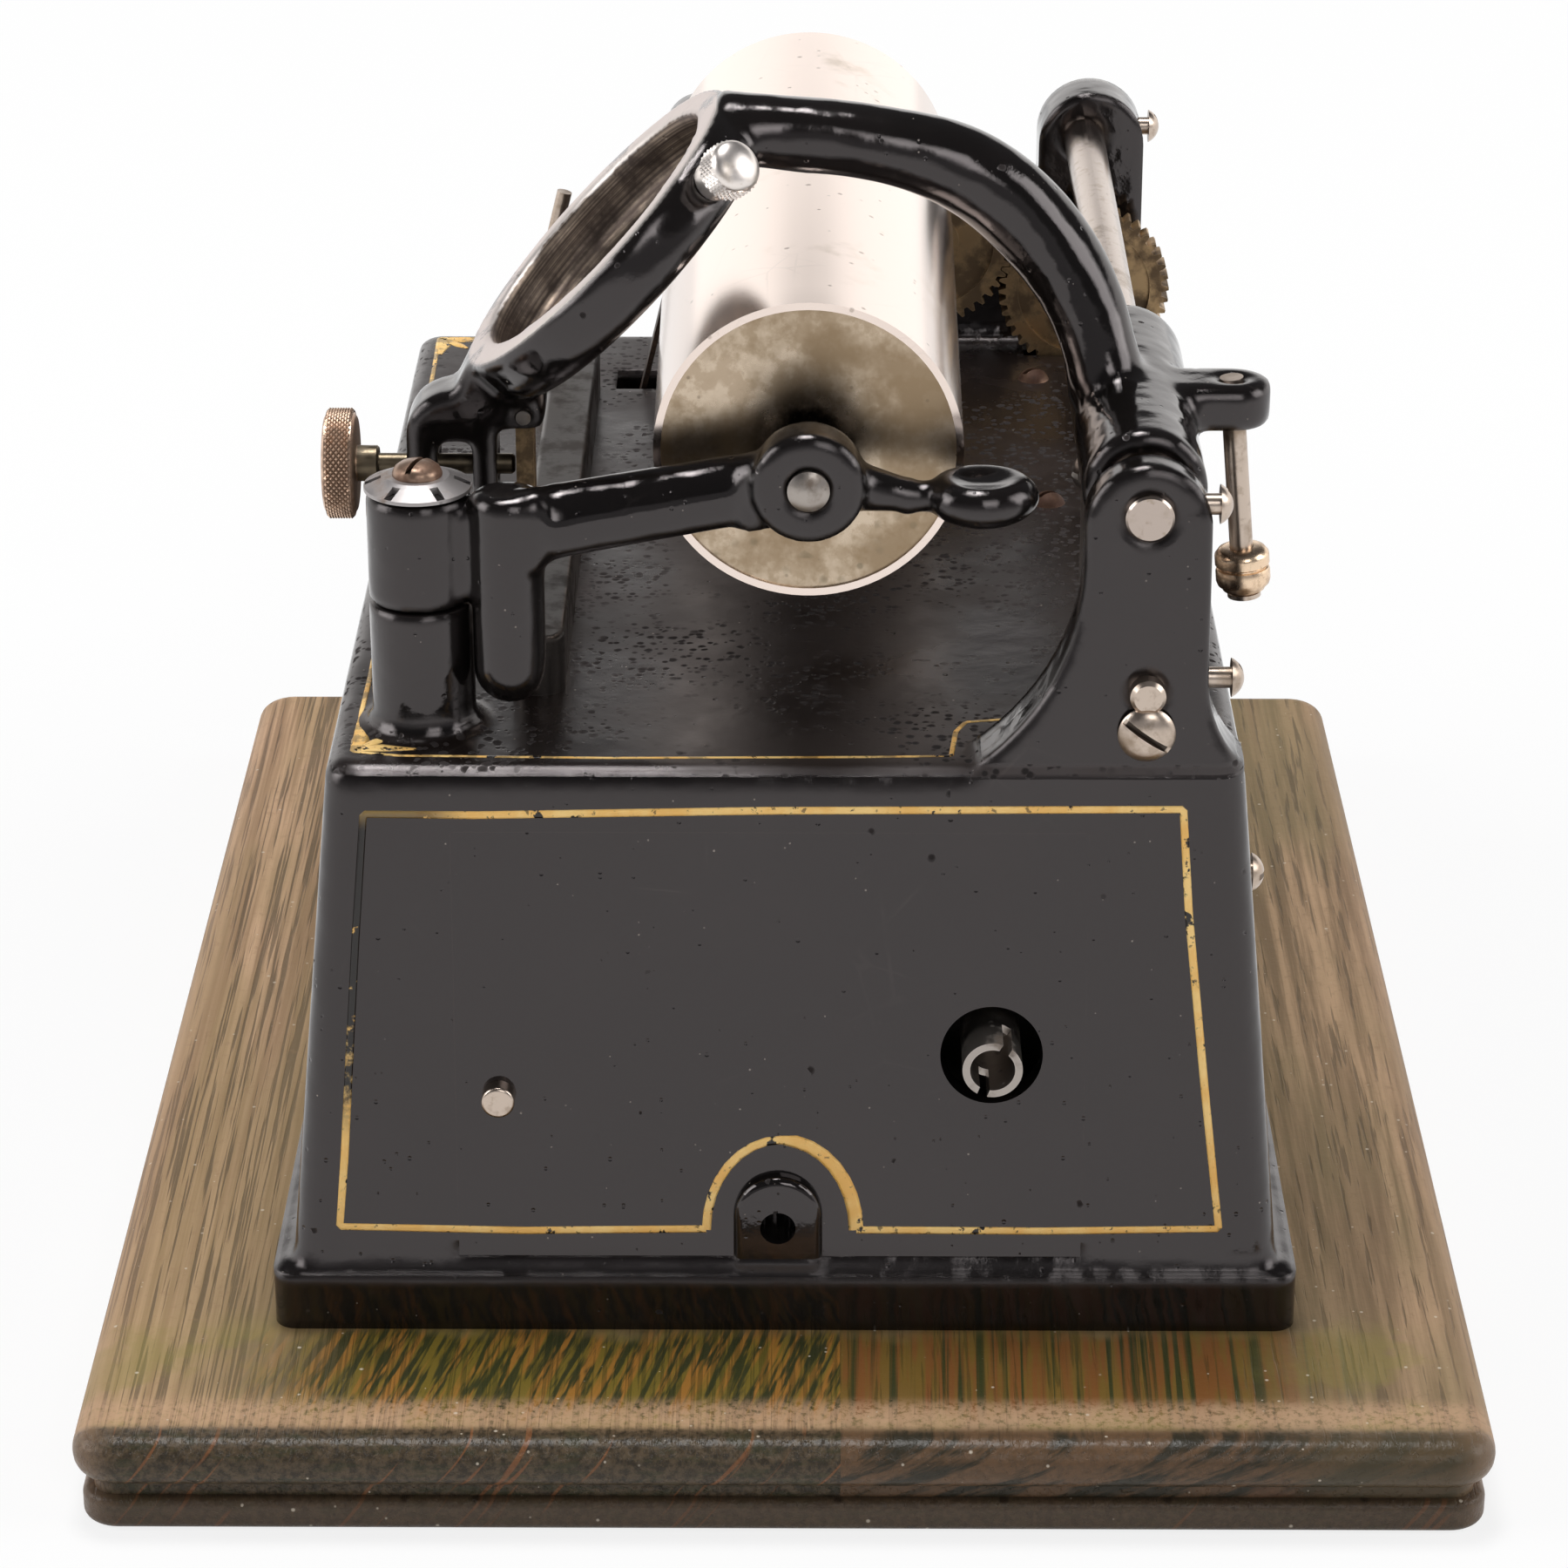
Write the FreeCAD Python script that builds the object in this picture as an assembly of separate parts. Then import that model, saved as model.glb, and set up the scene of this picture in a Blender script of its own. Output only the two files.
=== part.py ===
import FreeCAD, Part
import math
import os

from FreeCAD import Vector

# Cylinder phonograph, key wound, on a stepped wooden base.
# +X runs along the mandrel towards the winding end, +Y towards the back rod, +Z up.
# The origin is the centre of the base's underside. All lengths are millimetres.

# Fits
RUN_FIT = 0.05
FREE_GAP = 0.3
BOLT_CLEAR = 0.2
POINT_R = 0.15
POINT_CLEAR = 0.2

# Base boards
BOARD_LENGTH = 250.7
BOARD_WIDTH = 187.3
BOARD_CORNER_R = 6.0
LOWER_THICK = 4.5
LOWER_INSET = 1.0
LOWER_EDGE_R = 1.2
GROOVE_HEIGHT = 1.8
GROOVE_INSET = 2.6
UPPER_THICK = 7.0
UPPER_EDGE_R = 3.3
GLUE_JOINT_Y = 7.5
BOARD_TOP = LOWER_THICK + GROOVE_HEIGHT + UPPER_THICK

# Body casting
FLANGE_NEAR_X = 95.0
FLANGE_FAR_X = -96.5
FLANGE_HALF_Y = 69.4
FLANGE_HEIGHT = 8.2
FLANGE_CORNER_R = 3.0
SHOULDER_RISE = 2.5
FLANGE_EDGE_IN = 0.6
SHOULDER_COVE = 0.5
BASE_LUG_HALF = 6.0
BASE_LUG_OVER = 2.0
FOOT_NEAR_X = 93.5
FOOT_FAR_X = -94.7
FOOT_HALF_Y = 66.6
PLATE_Z = 92.6
TOP_NEAR_X = 86.1
TOP_FAR_X = -89.2
TOP_HALF_Y = 60.4
BODY_CORNER_R = 4.0
PLATE_EDGE_R = 2.4
WALL = 4.0
PLATE_THICK = 4.5
FLANGE_TOP = BOARD_TOP + FLANGE_HEIGHT
FOOT_Z = FLANGE_TOP + SHOULDER_RISE
NEAR_LEAN = (FOOT_NEAR_X - TOP_NEAR_X) / (PLATE_Z - FOOT_Z)
PLATE_UNDER = PLATE_Z - PLATE_THICK

# Mandrel
MANDREL_Y = 3.0
MANDREL_Z = 129.5
MANDREL_NEAR_X = 65.5
MANDREL_LENGTH = 126.0
MANDREL_NEAR_R = 20.5
MANDREL_FAR_R = 21.6
MANDREL_WALL = 1.0
MANDREL_RIM_SET = 0.4
END_DISC_THICK = 2.5
MANDREL_SHAFT_R = 3.0
SHAFT_NUB = 2.6
SHAFT_RECESS = 2.4
MANDREL_FAR_X = MANDREL_NEAR_X - MANDREL_LENGTH

# Back rod and carriage place
ROD_Y = 47.0
ROD_Z = 126.6
ROD_R = 3.175
ROD_PROUD = 0.5
ROD_EDGE = 0.3
ROD_SEAT_DEPTH = 8.0

# Feed screw and gear train between mandrel and feed screw
FEED_Y = 47.2
FEED_Z = 103.3
FEED_R = 3.175
FEED_JOURNAL_R = 2.4
FEED_NEAR_X = 72.5
TRAIN_MODULE = 0.6
TRAIN_TEETH = 44
TRAIN_NEAR_X = -79.5
TRAIN_FACE = 4.0
IDLER_STUD_R = 2.4
IDLER_HEAD_R = 3.6
GEAR_SLOT_GAP = 1.0
GEAR_RECESS = 0.7
GEAR_RIM = 2.6
GEAR_HUB_R = 5.0
FEED_RECESS_R = 1.6
FEED_RECESS = 1.7

# Cheek and pillars
CHEEK_NEAR_X = -86.5
CHEEK_FAR_X = -96.0
HEAD_FRONT_Y = -20.3
HEAD_REAR_Y = 16.5
HEAD_TOP_Z = 135.4
SHOULDER_Z = 131.3
FAR_PILLAR_Y = 48.2
FAR_PILLAR_HALF = 8.35
FAR_ARCH_Z = 125.4
HEAD_CORNER_R = 6.0
CHEEK_WEB_Z = 119.0
NEAR_PILLAR_FAR_X = 76.7
PILLAR_HALF = 8.2
PILLAR_ARCH_Z = 125.1
WEB_R = 33.6
WEB_TOP_Z = 120.2
FLARE_R = 17.0
BLEND_R = 3.0
SHAFT_BUSH_R = 4.6
SHAFT_BUSH_PROUD = 0.6
HEAD_ARCH_HALF = 9.2
PILLAR_EDGE_R = 0.9

# Screw and pin sizes
PIVOT_PIN_R = 2.35
PIVOT_PIN_OUT = 2.2
PIVOT_PIN_EDGE = 0.5
PIVOT_POINT_R = 1.2
PIVOT_POINT = 1.6
KEEPER_HEAD_R = 3.8
KEEPER_DROP = 5.4
KEEPER_STAND = 0.45
KEEPER_DEPTH = 8.0
KEEPER_TURN = -35.0
SET_SCREW_HEAD_R = 2.6
SET_SCREW_NECK_R = 1.4
SET_SCREW_NECK = 1.0
LONG_NECK = 3.3
DOME_HEIGHT = 1.7
SLOT_WIDTH = 0.8
SLOT_DEPTH = 0.8

# Near wall details
CRANK_Y = 27.6
CRANK_Z = 53.0
CRANK_HOLE_R = 6.85
CRANK_SPOT_R = 9.0
PANEL_FRONT_Y = -44.0
PANEL_REAR_Y = 40.0
PANEL_TOP_Z = 84.0
STEADY_Y = -38.3
STEADY_Z = 47.0
STEADY_R = 2.25
STEADY_OUT = 2.3
STEADY_EDGE_R = 0.5
BOSS_Y = -0.9
BOSS_Z = 28.7
BOSS_HALF = 6.0
BOSS_TOP_R = 7.4
BOSS_EDGE_R = 1.2
BOSS_BACKING = 3.0
BOSS_FACE_X = 94.4
BOSS_HOLE_R = 2.4
BOSS_HOLE_DEPTH = 7.0

# End gate
POST_X = 69.5
POST_Y = -48.3
POST_R = 6.9
POST_FLARE = 2.6
HUB_LOW_Z = 110.5
HUB_TOP_Z = 125.5
HINGE_R = 2.6
HINGE_DEPTH = 9.0
HINGE_HEAD_R = 3.1
HINGE_HEAD = 1.8
HINGE_SLOT_TURN = 75.0
WASHER_RISE = 1.8
WASHER_RIM = 0.5
WASHER_R = 7.1
WASHER_TOP_R = 4.2
NOTCHES = 6
NOTCH_WIDTH = 1.2
NOTCH_LENGTH = 3.0
GATE_WEB_THICK = 5.6
GATE_WEB_INSET = 1.5
STUB_X = 73.1
STUB_Y = -36.4
STUB_R = 4.9
STUB_LOW_Z = 97.1
STUB_TOP_Z = 126.7
STUB_EDGE_R = 1.4
GATE_FACE_X = 80.5
BAR_FACE_X = 77.7
BAR_THICK = 6.5
BAR_LEFT_HEIGHT = 10.6
BAR_RIGHT_HEIGHT = 9.8
BAR_LEFT_Z = 121.6
BAR_EDGE_R = 2.8
BAR_RIGHT_DROP = 0.6
EYE_R = 7.4
EYE_THICK = 7.0
EYE_EDGE_R = 0.8
EYE_BOSS_R = 5.4
EYE_GAP = 0.8
CENTRE_PIN_R = 2.75
CENTRE_POINT = 2.6
CENTRE_PROUD = 0.2
CENTRE_DOME = 0.9
NECK_END_Y = 16.6
NECK_START_R = 4.4
NECK_END_R = 2.1
NECK_COLLAR_R = 2.5
NECK_COLLAR = 1.5
SPOON_Y = 25.6
SPOON_Z = 127.0
SPOON_HALF_Y = 7.5
SPOON_HALF_X = 6.6
SPOON_HALF_Z = 3.9
DISH_R = 11.0
DISH_DEPTH = 2.2

# Carriage
ARM_X = 46.5
SLEEVE_FAR_X = 19.8
SLEEVE_NEAR_X = 73.1
SLEEVE_R = 8.25
SLEEVE_EDGE_R = 0.8
BUSH_R = 4.7
BUSH_LENGTH = 12.0
ARM_CROSS_MORE = 0.4
RING_Y = -25.9
RING_Z = 154.2
RING_TILT = 46.0
RING_R = 25.0
RING_BORE_R = 20.0
RING_LEDGE_R = 17.6
RING_THICK = 8.8
RING_LEDGE = 2.6
RING_TOP_EDGE_R = 0.8
RING_LOW_EDGE_R = 3.8
FORK_X = 49.5
FORK_WIDTH = 9.0
FORK_FRONT_Y = -51.1
FORK_TOP_Z = 133.0
FORK_UNDER_Z = 127.9
FORK_BROW = 6.5
FORK_BROW_DROP = 5.5
LOBE_EDGE_R = 1.6
LEG_FRONT = 4.3
LEG_GAP = 4.6
LEG_REAR = 3.3
LOBE_REAR_Y = -32.3
LEG_FRONT_LOW_Z = 117.6
LEG_REAR_LOW_Z = 112.0
LEG_SLOT_TOP_Z = 126.1
LUG_HALF_X = 5.0
LUG_END_Y = 65.4
LUG_TOP_Z = 133.2
LUG_THICK = 6.4
LUG_EDGE_R = 1.0
LUG_PIN_Y = 60.0
LUG_PIN_R = 1.6
LUG_PIN_LEAN = 5.3
LUG_PIN_LENGTH = 31.2
ROLLER_R = 3.75
ROLLER_WAIST_R = 3.2
ROLLER_HEIGHT = 6.2
ROLLER_DROP = 24.6
ROLLER_FLANGE = 1.5
ROLLER_SLOPE = 0.9
PIN_HEAD_R = 2.3
PIN_HEAD = 0.6
CLAMP_ANGLE = 50.0
CLAMP_DEPTH = 3.9
CLAMP_HEAD_R = 3.75
CLAMP_HEAD = 3.8
CLAMP_DOME = 1.3
CLAMP_SCREW_R = 1.9
CLAMP_NECK_R = 2.7
CLAMP_NECK = 2.4
CLAMP_GAP = 0.4
ADJUST_Z = 121.7
ADJUST_R = 1.4
ADJUST_COLLAR_R = 2.45
ADJUST_COLLAR = 3.0
ADJUST_KNOB_R = 7.5
ADJUST_KNOB = 4.3
ADJUST_OUT = 4.0
KNURLS = 40
KNURL_DEPTH = 0.35
FINGER_THICK = 2.4
FINGER_WIDTH = 5.0
FINGER_FRONT_Y = -36.4
FINGER_PIN_Z = 129.8
FINGER_PIN_R = 1.0
FINGER_TOP = 1.6
FINGER_SLOT_GAP = 0.6
FINGER_EDGE_R = 1.0

# Feed nut
NUT_STRIP_Y = 40.8
NUT_STRIP_THICK = 0.9
NUT_STRIP_X = 35.5
NUT_STRIP_WIDTH = 10.0
NUT_STRIP_TOP_Z = 120.0
NUT_PAD_LOW_Z = 114.2
NUT_SCREW_Z = 117.2
NUT_HALF_HEIGHT = 4.2
NUT_REACH = 5.6
NUT_SCREW_DEPTH = 3.1
NUT_PAD_BACK = 3.0

# Straight edge
EDGE_FAR_X = -64.5
EDGE_NEAR_X = 61.5
EDGE_FRONT_Y = -37.2
EDGE_REAR_Y = -30.0
EDGE_HEIGHT = 8.4
EDGE_ROUND = 0.8
EDGE_SCREW_FAR_X = -44.5
EDGE_SCREW_NEAR_X = 53.5
EDGE_SCREW_DEPTH = 5.0

# Belt and pulleys
BELT_X = -66.4
BELT_WIDTH = 5.6
BELT_THICK = 0.8
BELT_R = 16.6
DRIVE_BELT_R = 11.6
PULLEY_WIDTH = 7.2
PULLEY_FLANGE = 1.3
PULLEY_FLANGE_THICK = 0.7
SLOT_FRONT_Y = -27.6
SLOT_REAR_Y = 13.0
SLOT_X_WIDTH = 8.7

# Stop lever
LEVER_X = -78.5
LEVER_Y = -40.2
LEVER_R = 1.2
LEVER_PIVOT_Z = 82.0
LEVER_TIP_Y = -36.0
LEVER_TIP_Z = 120.0
LEVER_LOW_Z = 48.0
LEVER_BEND_Z = 103.0
LEVER_KNEE_Z = 60.0
LEVER_FOOT_Y = -44.0
LEVER_BEND_R = 12.0
LEVER_EYE_R = 3.2
LEVER_EYE_HALF = 1.6
LEVER_PIN_R = 1.5
BRACKET_HALF_X = 4.5
BRACKET_HALF_Y = 4.0
BRACKET_THICK = 2.0
BRACKET_DROP = 4.0
PAD_ARM_HEIGHT = 6.0
PAD_ARM_THICK = 2.0
PAD_CLAMP_R = 2.6
LEVER_SLOT_HALF_Y = 6.0
LEVER_SLOT_HALF_X = 2.2
PAD_R = 3.0
PAD_THICK = 2.5

# Motor
MOTOR_PLATE = 2.5
FAR_PLATE_X = -54.5
MIDDLE_PLATE_X = -6.5
NEAR_PLATE_X = 65.5
PLATE_SCREW_Y = 38.8
PLATE_SCREW_FAR_X = -67.3
PLATE_SCREW_NEAR_X = -12.2
PLATE_SCREW_R = 1.6
PLATE_SCREW_HEAD_R = 2.5
EAR_WIDTH = 12.0
EAR_THICK = 2.5
EAR_REACH = 5.0
EAR_SCREW_MORE = 3.5
MOTOR_HALF_Y = 49.0
MOTOR_LOW_Z = 21.0
NEAR_PLATE_DROP = 3.0
FRAME_PILLAR_Y = 44.0
FRAME_REAR_TOP_Y = 45.5
FRAME_LOW_FRONT_Z = 26.0
FRAME_LOW_REAR_Z = 24.0
FRAME_TOP_FRONT_Z = 79.0
FRAME_TOP_REAR_Z = 81.5
FRAME_PILLAR_R = 3.0
FRAME_STUD_R = 1.8
RIVET_R = 2.4
RIVET_RISE = 0.9
GREAT_TEETH = 70
GREAT_MODULE = 0.8
FIRST_PINION_TEETH = 12
SECOND_TEETH = 64
SECOND_MODULE = 0.6
DRIVE_PINION_TEETH = 16
GOVERNOR_TEETH = 53
GOVERNOR_MODULE = 0.5
GOVERNOR_PINION_TEETH = 12
GOVERNOR_ANGLE = 205.0
DRIVE_Y = -22.08
DRIVE_Z = 48.0
WHEEL_THICK = 2.5
PINION_MORE = 1.0
WHEEL_HOLES = 5
WHEEL_HOLE_R = 4.0
WHEEL_HOLE_ORBIT = 11.5
GREAT_WHEEL_X = 0.5
SECOND_WHEEL_X = -18.5
GOVERNOR_WHEEL_X = -32.5
ARBOR_R = 2.0
WINDING_ARBOR_R = 3.5
WINDING_TUBE_R = 4.0
WINDING_BORE_R = 3.0
WINDING_BORE_DEPTH = 14.0
WINDING_OUT = 4.4
WINDING_SLOT = 1.4
WINDING_SLOT_LENGTH = 6.0
WINDING_TUBE_GAP = 2.0
HOOK_RISE = 1.2
HOOK_WIDTH = 1.6
HOOK_INSET = 8.0
BARREL_X = 5.5
BARREL_LENGTH = 40.0
BARREL_R = 26.0
BARREL_WALL = 1.2
GREAT_HUB_R = 12.0
CAP_THICK = 1.5
SPRING_TURNS = 9
SPRING_THICK = 0.8
SPRING_INNER_R = 5.2
SPRING_SIDE_GAP = 1.0
RATCHET_X = 58.5
RATCHET_THICK = 3.0
RATCHET_R = 9.0
RATCHET_ROOT_R = 7.4
RATCHET_TEETH = 16
CLICK_PIVOT_Y = 40.5
CLICK_PIVOT_Z = 62.0
CLICK_PIN_R = 1.5
CLICK_EYE_R = 3.0
CLICK_SWEEP = 38.0
WEIGHT_R = 2.4
WEIGHT_SINK = 1.5
GOVERNOR_SHAFT_R = 1.5
GOVERNOR_JOURNAL_R = 1.0
GOVERNOR_COLLAR_R = 3.4
GOVERNOR_COLLAR_X = -27.0
GOVERNOR_COLLAR = 2.5
GOVERNOR_DISC_X = -10.0
GOVERNOR_DISC_R = 9.0
GOVERNOR_DISC = 1.2
LEAF_THICK = 0.5
LEAF_WIDTH = 3.0
LEAF_RISE = 2.2
WEIGHTS = 3

AX = Vector(1, 0, 0)
AY = Vector(0, 1, 0)
AZ = Vector(0, 0, 1)


# Helpers

def box(x0, x1, y0, y1, z0, z1):
    return Part.makeBox(x1 - x0, y1 - y0, z1 - z0, Vector(x0, y0, z0))


def rod_x(radius, x0, x1, y, z):
    return Part.makeCylinder(radius, x1 - x0, Vector(x0, y, z), AX)


def rod_y(radius, y0, y1, x, z):
    return Part.makeCylinder(radius, y1 - y0, Vector(x, y0, z), AY)


def rod_z(radius, z0, z1, x, y):
    return Part.makeCylinder(radius, z1 - z0, Vector(x, y, z0), AZ)


def cone_x(r0, r1, x0, x1, y, z):
    return Part.makeCone(r0, r1, x1 - x0, Vector(x0, y, z), AX)


def fuse(first, *others):
    return first.fuse(list(others))


def cut(first, *others):
    return first.cut(list(others))


def line(a, b):
    return Part.LineSegment(a, b).toShape()


def arc(a, middle, b):
    return Part.Arc(a, middle, b).toShape()


def prism(edges, direction):
    return Part.Face(Part.Wire(edges)).extrude(direction)


def polygon_x(points, x0, x1):
    """A solid from a closed outline of (y, z) points, from x0 to x1."""
    corners = [Vector(x0, y, z) for y, z in points]
    wire = Part.makePolygon(corners + corners[:1])
    return Part.Face(wire).extrude(Vector(x1 - x0, 0, 0))


def rounded_rectangle(x0, x1, y0, y1, radius, z):
    """A closed wire in a level plane, with rounded corners."""
    edges = []
    corners = ((x1, y1, 0), (x0, y1, 90), (x0, y0, 180), (x1, y0, 270))
    arcs = []
    for x, y, start in corners:
        sx = 1 if x == x1 else -1
        sy = 1 if y == y1 else -1
        centre = Vector(x - sx * radius, y - sy * radius, z)
        points = []
        for step in (0, 45, 90):
            angle = math.radians(start + step)
            points.append(centre + Vector(radius * math.cos(angle), radius * math.sin(angle), 0))
        arcs.append(points)
    for index, points in enumerate(arcs):
        edges.append(arc(*points))
        edges.append(line(points[2], arcs[(index + 1) % 4][0]))
    return Part.Wire(edges)


def edges_where(shape, test):
    return [edge for edge in shape.Edges if all(test(v.Point) for v in edge.Vertexes)]


def bent_rod(path, radius, bend_r):
    """A round rod along a path of points, with its corners bent to bend_r."""
    edges = []
    start = path[0]
    for before, corner, after in zip(path, path[1:], path[2:]):
        back = (before - corner).normalize()
        ahead = (after - corner).normalize()
        half_turn = (math.pi - back.getAngle(ahead)) / 2
        reach = bend_r * math.tan(half_turn)
        inward = (back + ahead).normalize()
        into_corner = bend_r / math.cos(half_turn) - bend_r
        edges.append(line(start, corner + back * reach))
        start = corner + ahead * reach
        edges.append(arc(corner + back * reach, corner + inward * into_corner, start))
    edges.append(line(start, path[-1]))
    circle = Part.makeCircle(radius, path[0], path[1] - path[0])
    return Part.Wire(edges).makePipeShell([Part.Wire([circle])], True, False)


def dome(radius, height, base, direction):
    """A spherical screw-head cap that stands on base."""
    ball_r = (radius * radius + height * height) / (2 * height)
    ball = Part.makeSphere(ball_r, base + direction * (height - ball_r))
    return ball.common(Part.makeCylinder(radius, height + 1, base, direction))


def slotted_dome(radius, height, base, direction, across):
    """A domed head with a screwdriver slot that runs along across."""
    head = dome(radius, height, base, direction)
    side = direction.cross(across)
    corner = base + direction * (height - SLOT_DEPTH) - across * (radius + 1) - side * (SLOT_WIDTH / 2)
    far = across * (2 * radius + 2)
    loop = [corner, corner + far, corner + far + side * SLOT_WIDTH, corner + side * SLOT_WIDTH]
    slot = Part.Face(Part.makePolygon(loop + loop[:1])).extrude(direction * (SLOT_DEPTH + 1))
    return head.cut(slot)


# Gear teeth

PRESSURE = math.radians(20)
ADDENDUM = 0.8
DEDENDUM = 1.1
BACKLASH = 0.26


def gear_points(teeth, module, phase):
    """Outline of a spur gear about (0, 0), with a tooth centred at angle phase."""
    pitch_r = teeth * module / 2
    base_r = pitch_r * math.cos(PRESSURE)
    root_r = pitch_r - DEDENDUM * module
    tip_r = pitch_r + ADDENDUM * module
    half_tooth = math.pi / (2 * teeth) - BACKLASH * module / (2 * pitch_r)
    at_pitch = math.tan(PRESSURE) - PRESSURE

    def half_angle(radius):
        pressure = math.acos(min(1.0, base_r / max(radius, base_r)))
        return half_tooth + at_pitch - (math.tan(pressure) - pressure)

    radii = [root_r, max(root_r, base_r) + 0.1 * module, pitch_r, tip_r]
    points = []
    for tooth in range(teeth):
        centre = phase + 2 * math.pi * tooth / teeth
        for radius in radii:
            angle = centre - half_angle(radius)
            points.append((radius * math.cos(angle), radius * math.sin(angle)))
        for radius in reversed(radii):
            angle = centre + half_angle(radius)
            points.append((radius * math.cos(angle), radius * math.sin(angle)))
    return points


def gear_x(teeth, module, phase, x0, x1, y, z):
    return polygon_x([(y + a, z + b) for a, b in gear_points(teeth, module, phase)], x0, x1)


def direction_angle(start, end):
    return math.atan2(end[1] - start[1], end[0] - start[0])


def meshed_phase(phase, teeth, centre, next_centre, next_teeth):
    """The phase that puts the next gear's gap where this gear's tooth is."""
    towards = direction_angle(centre, next_centre)
    pitch = 2 * math.pi / teeth
    along = ((towards - phase) % pitch) / pitch
    return towards + math.pi + (along + 0.5) * 2 * math.pi / next_teeth


# Places of the gears, worked out from their centre distances

def apex(first, second, from_first, from_second, side):
    """The point at the given distances from two points, left (+1) or right (-1) of the line."""
    gap = math.hypot(second[0] - first[0], second[1] - first[1])
    along = (from_first ** 2 - from_second ** 2 + gap ** 2) / (2 * gap)
    off = side * math.sqrt(from_first ** 2 - along ** 2)
    ux = (second[0] - first[0]) / gap
    uy = (second[1] - first[1]) / gap
    return (first[0] + along * ux - off * uy, first[1] + along * uy + off * ux)


MANDREL_AT = (MANDREL_Y, MANDREL_Z)
FEED_AT = (FEED_Y, FEED_Z)
BARREL_AT = (CRANK_Y, CRANK_Z)
DRIVE_AT = (DRIVE_Y, DRIVE_Z)
TRAIN_CENTRES = TRAIN_TEETH * TRAIN_MODULE
IDLER_AT = apex(MANDREL_AT, FEED_AT, TRAIN_CENTRES, TRAIN_CENTRES, -1)
FIRST_CENTRES = (GREAT_TEETH + FIRST_PINION_TEETH) * GREAT_MODULE / 2
SECOND_CENTRES = (SECOND_TEETH + DRIVE_PINION_TEETH) * SECOND_MODULE / 2
MIDDLE_AT = apex(BARREL_AT, DRIVE_AT, FIRST_CENTRES, SECOND_CENTRES, -1)
THIRD_CENTRES = (GOVERNOR_TEETH + GOVERNOR_PINION_TEETH) * GOVERNOR_MODULE / 2
GOVERNOR_AT = (DRIVE_Y + THIRD_CENTRES * math.cos(math.radians(GOVERNOR_ANGLE)),
               DRIVE_Z + THIRD_CENTRES * math.sin(math.radians(GOVERNOR_ANGLE)))

MANDREL_PHASE = direction_angle(MANDREL_AT, IDLER_AT)
IDLER_PHASE = meshed_phase(MANDREL_PHASE, TRAIN_TEETH, MANDREL_AT, IDLER_AT, TRAIN_TEETH)
FEED_PHASE = meshed_phase(IDLER_PHASE, TRAIN_TEETH, IDLER_AT, FEED_AT, TRAIN_TEETH)
GREAT_PHASE = direction_angle(BARREL_AT, MIDDLE_AT)
FIRST_PINION_PHASE = meshed_phase(GREAT_PHASE, GREAT_TEETH, BARREL_AT, MIDDLE_AT, FIRST_PINION_TEETH)
SECOND_PHASE = direction_angle(MIDDLE_AT, DRIVE_AT)
DRIVE_PINION_PHASE = meshed_phase(SECOND_PHASE, SECOND_TEETH, MIDDLE_AT, DRIVE_AT, DRIVE_PINION_TEETH)
GOVERNOR_WHEEL_PHASE = direction_angle(DRIVE_AT, GOVERNOR_AT)
GOVERNOR_PINION_PHASE = meshed_phase(GOVERNOR_WHEEL_PHASE, GOVERNOR_TEETH, DRIVE_AT, GOVERNOR_AT,
                                     GOVERNOR_PINION_TEETH)


# Base

SCREW_X = 78.0
SCREW_Y = 52.0
BASE_SCREW_R = 2.2
BASE_HEAD_R = 4.2
BASE_HEAD = 2.6
BASE_HEAD_SET = 0.6
BASE_SCREW_TOP = BOARD_TOP + 17.0


def base_screw_places():
    middle = (FLANGE_NEAR_X + FLANGE_FAR_X) / 2
    return [(middle + sx * SCREW_X, sy * SCREW_Y) for sx in (-1, 1) for sy in (-1, 1)]


def board(inset, z0, thick, edge_r):
    half_x = BOARD_LENGTH / 2 - inset
    half_y = BOARD_WIDTH / 2 - inset
    wire = rounded_rectangle(-half_x, half_x, -half_y, half_y, BOARD_CORNER_R - inset, z0)
    solid = Part.Face(wire).extrude(Vector(0, 0, thick))
    if edge_r:
        level = edges_where(solid, lambda p: abs(p.z - z0) < 1e-6)
        level += edges_where(solid, lambda p: abs(p.z - z0 - thick) < 1e-6)
        solid = solid.makeFillet(edge_r, level)
    return solid


def screw_holes(radius, z0, z1):
    return [rod_z(radius, z0, z1, x, y) for x, y in base_screw_places()]


def base_lower_board():
    solid = board(LOWER_INSET, 0.0, LOWER_THICK, LOWER_EDGE_R)
    heads = screw_holes(BASE_HEAD_R + BOLT_CLEAR, -1.0, BASE_HEAD_SET + BASE_HEAD)
    return cut(solid, *heads, *screw_holes(BASE_SCREW_R + BOLT_CLEAR, -1.0, LOWER_THICK + 1))


def base_planks():
    """The upper board, glued up from two planks, with the groove strip under it."""
    upper = board(0.0, LOWER_THICK + GROOVE_HEIGHT, UPPER_THICK, UPPER_EDGE_R)
    strip = board(GROOVE_INSET, LOWER_THICK, GROOVE_HEIGHT + UPPER_THICK / 2, 0)
    whole = cut(fuse(upper, strip), *screw_holes(BASE_SCREW_R + BOLT_CLEAR, 0, BOARD_TOP + 1))
    reach = BOARD_LENGTH
    front = whole.common(box(-reach, reach, -reach, GLUE_JOINT_Y, -1, BOARD_TOP + 1))
    rear = whole.common(box(-reach, reach, GLUE_JOINT_Y, reach, -1, BOARD_TOP + 1))
    return front, rear


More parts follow.
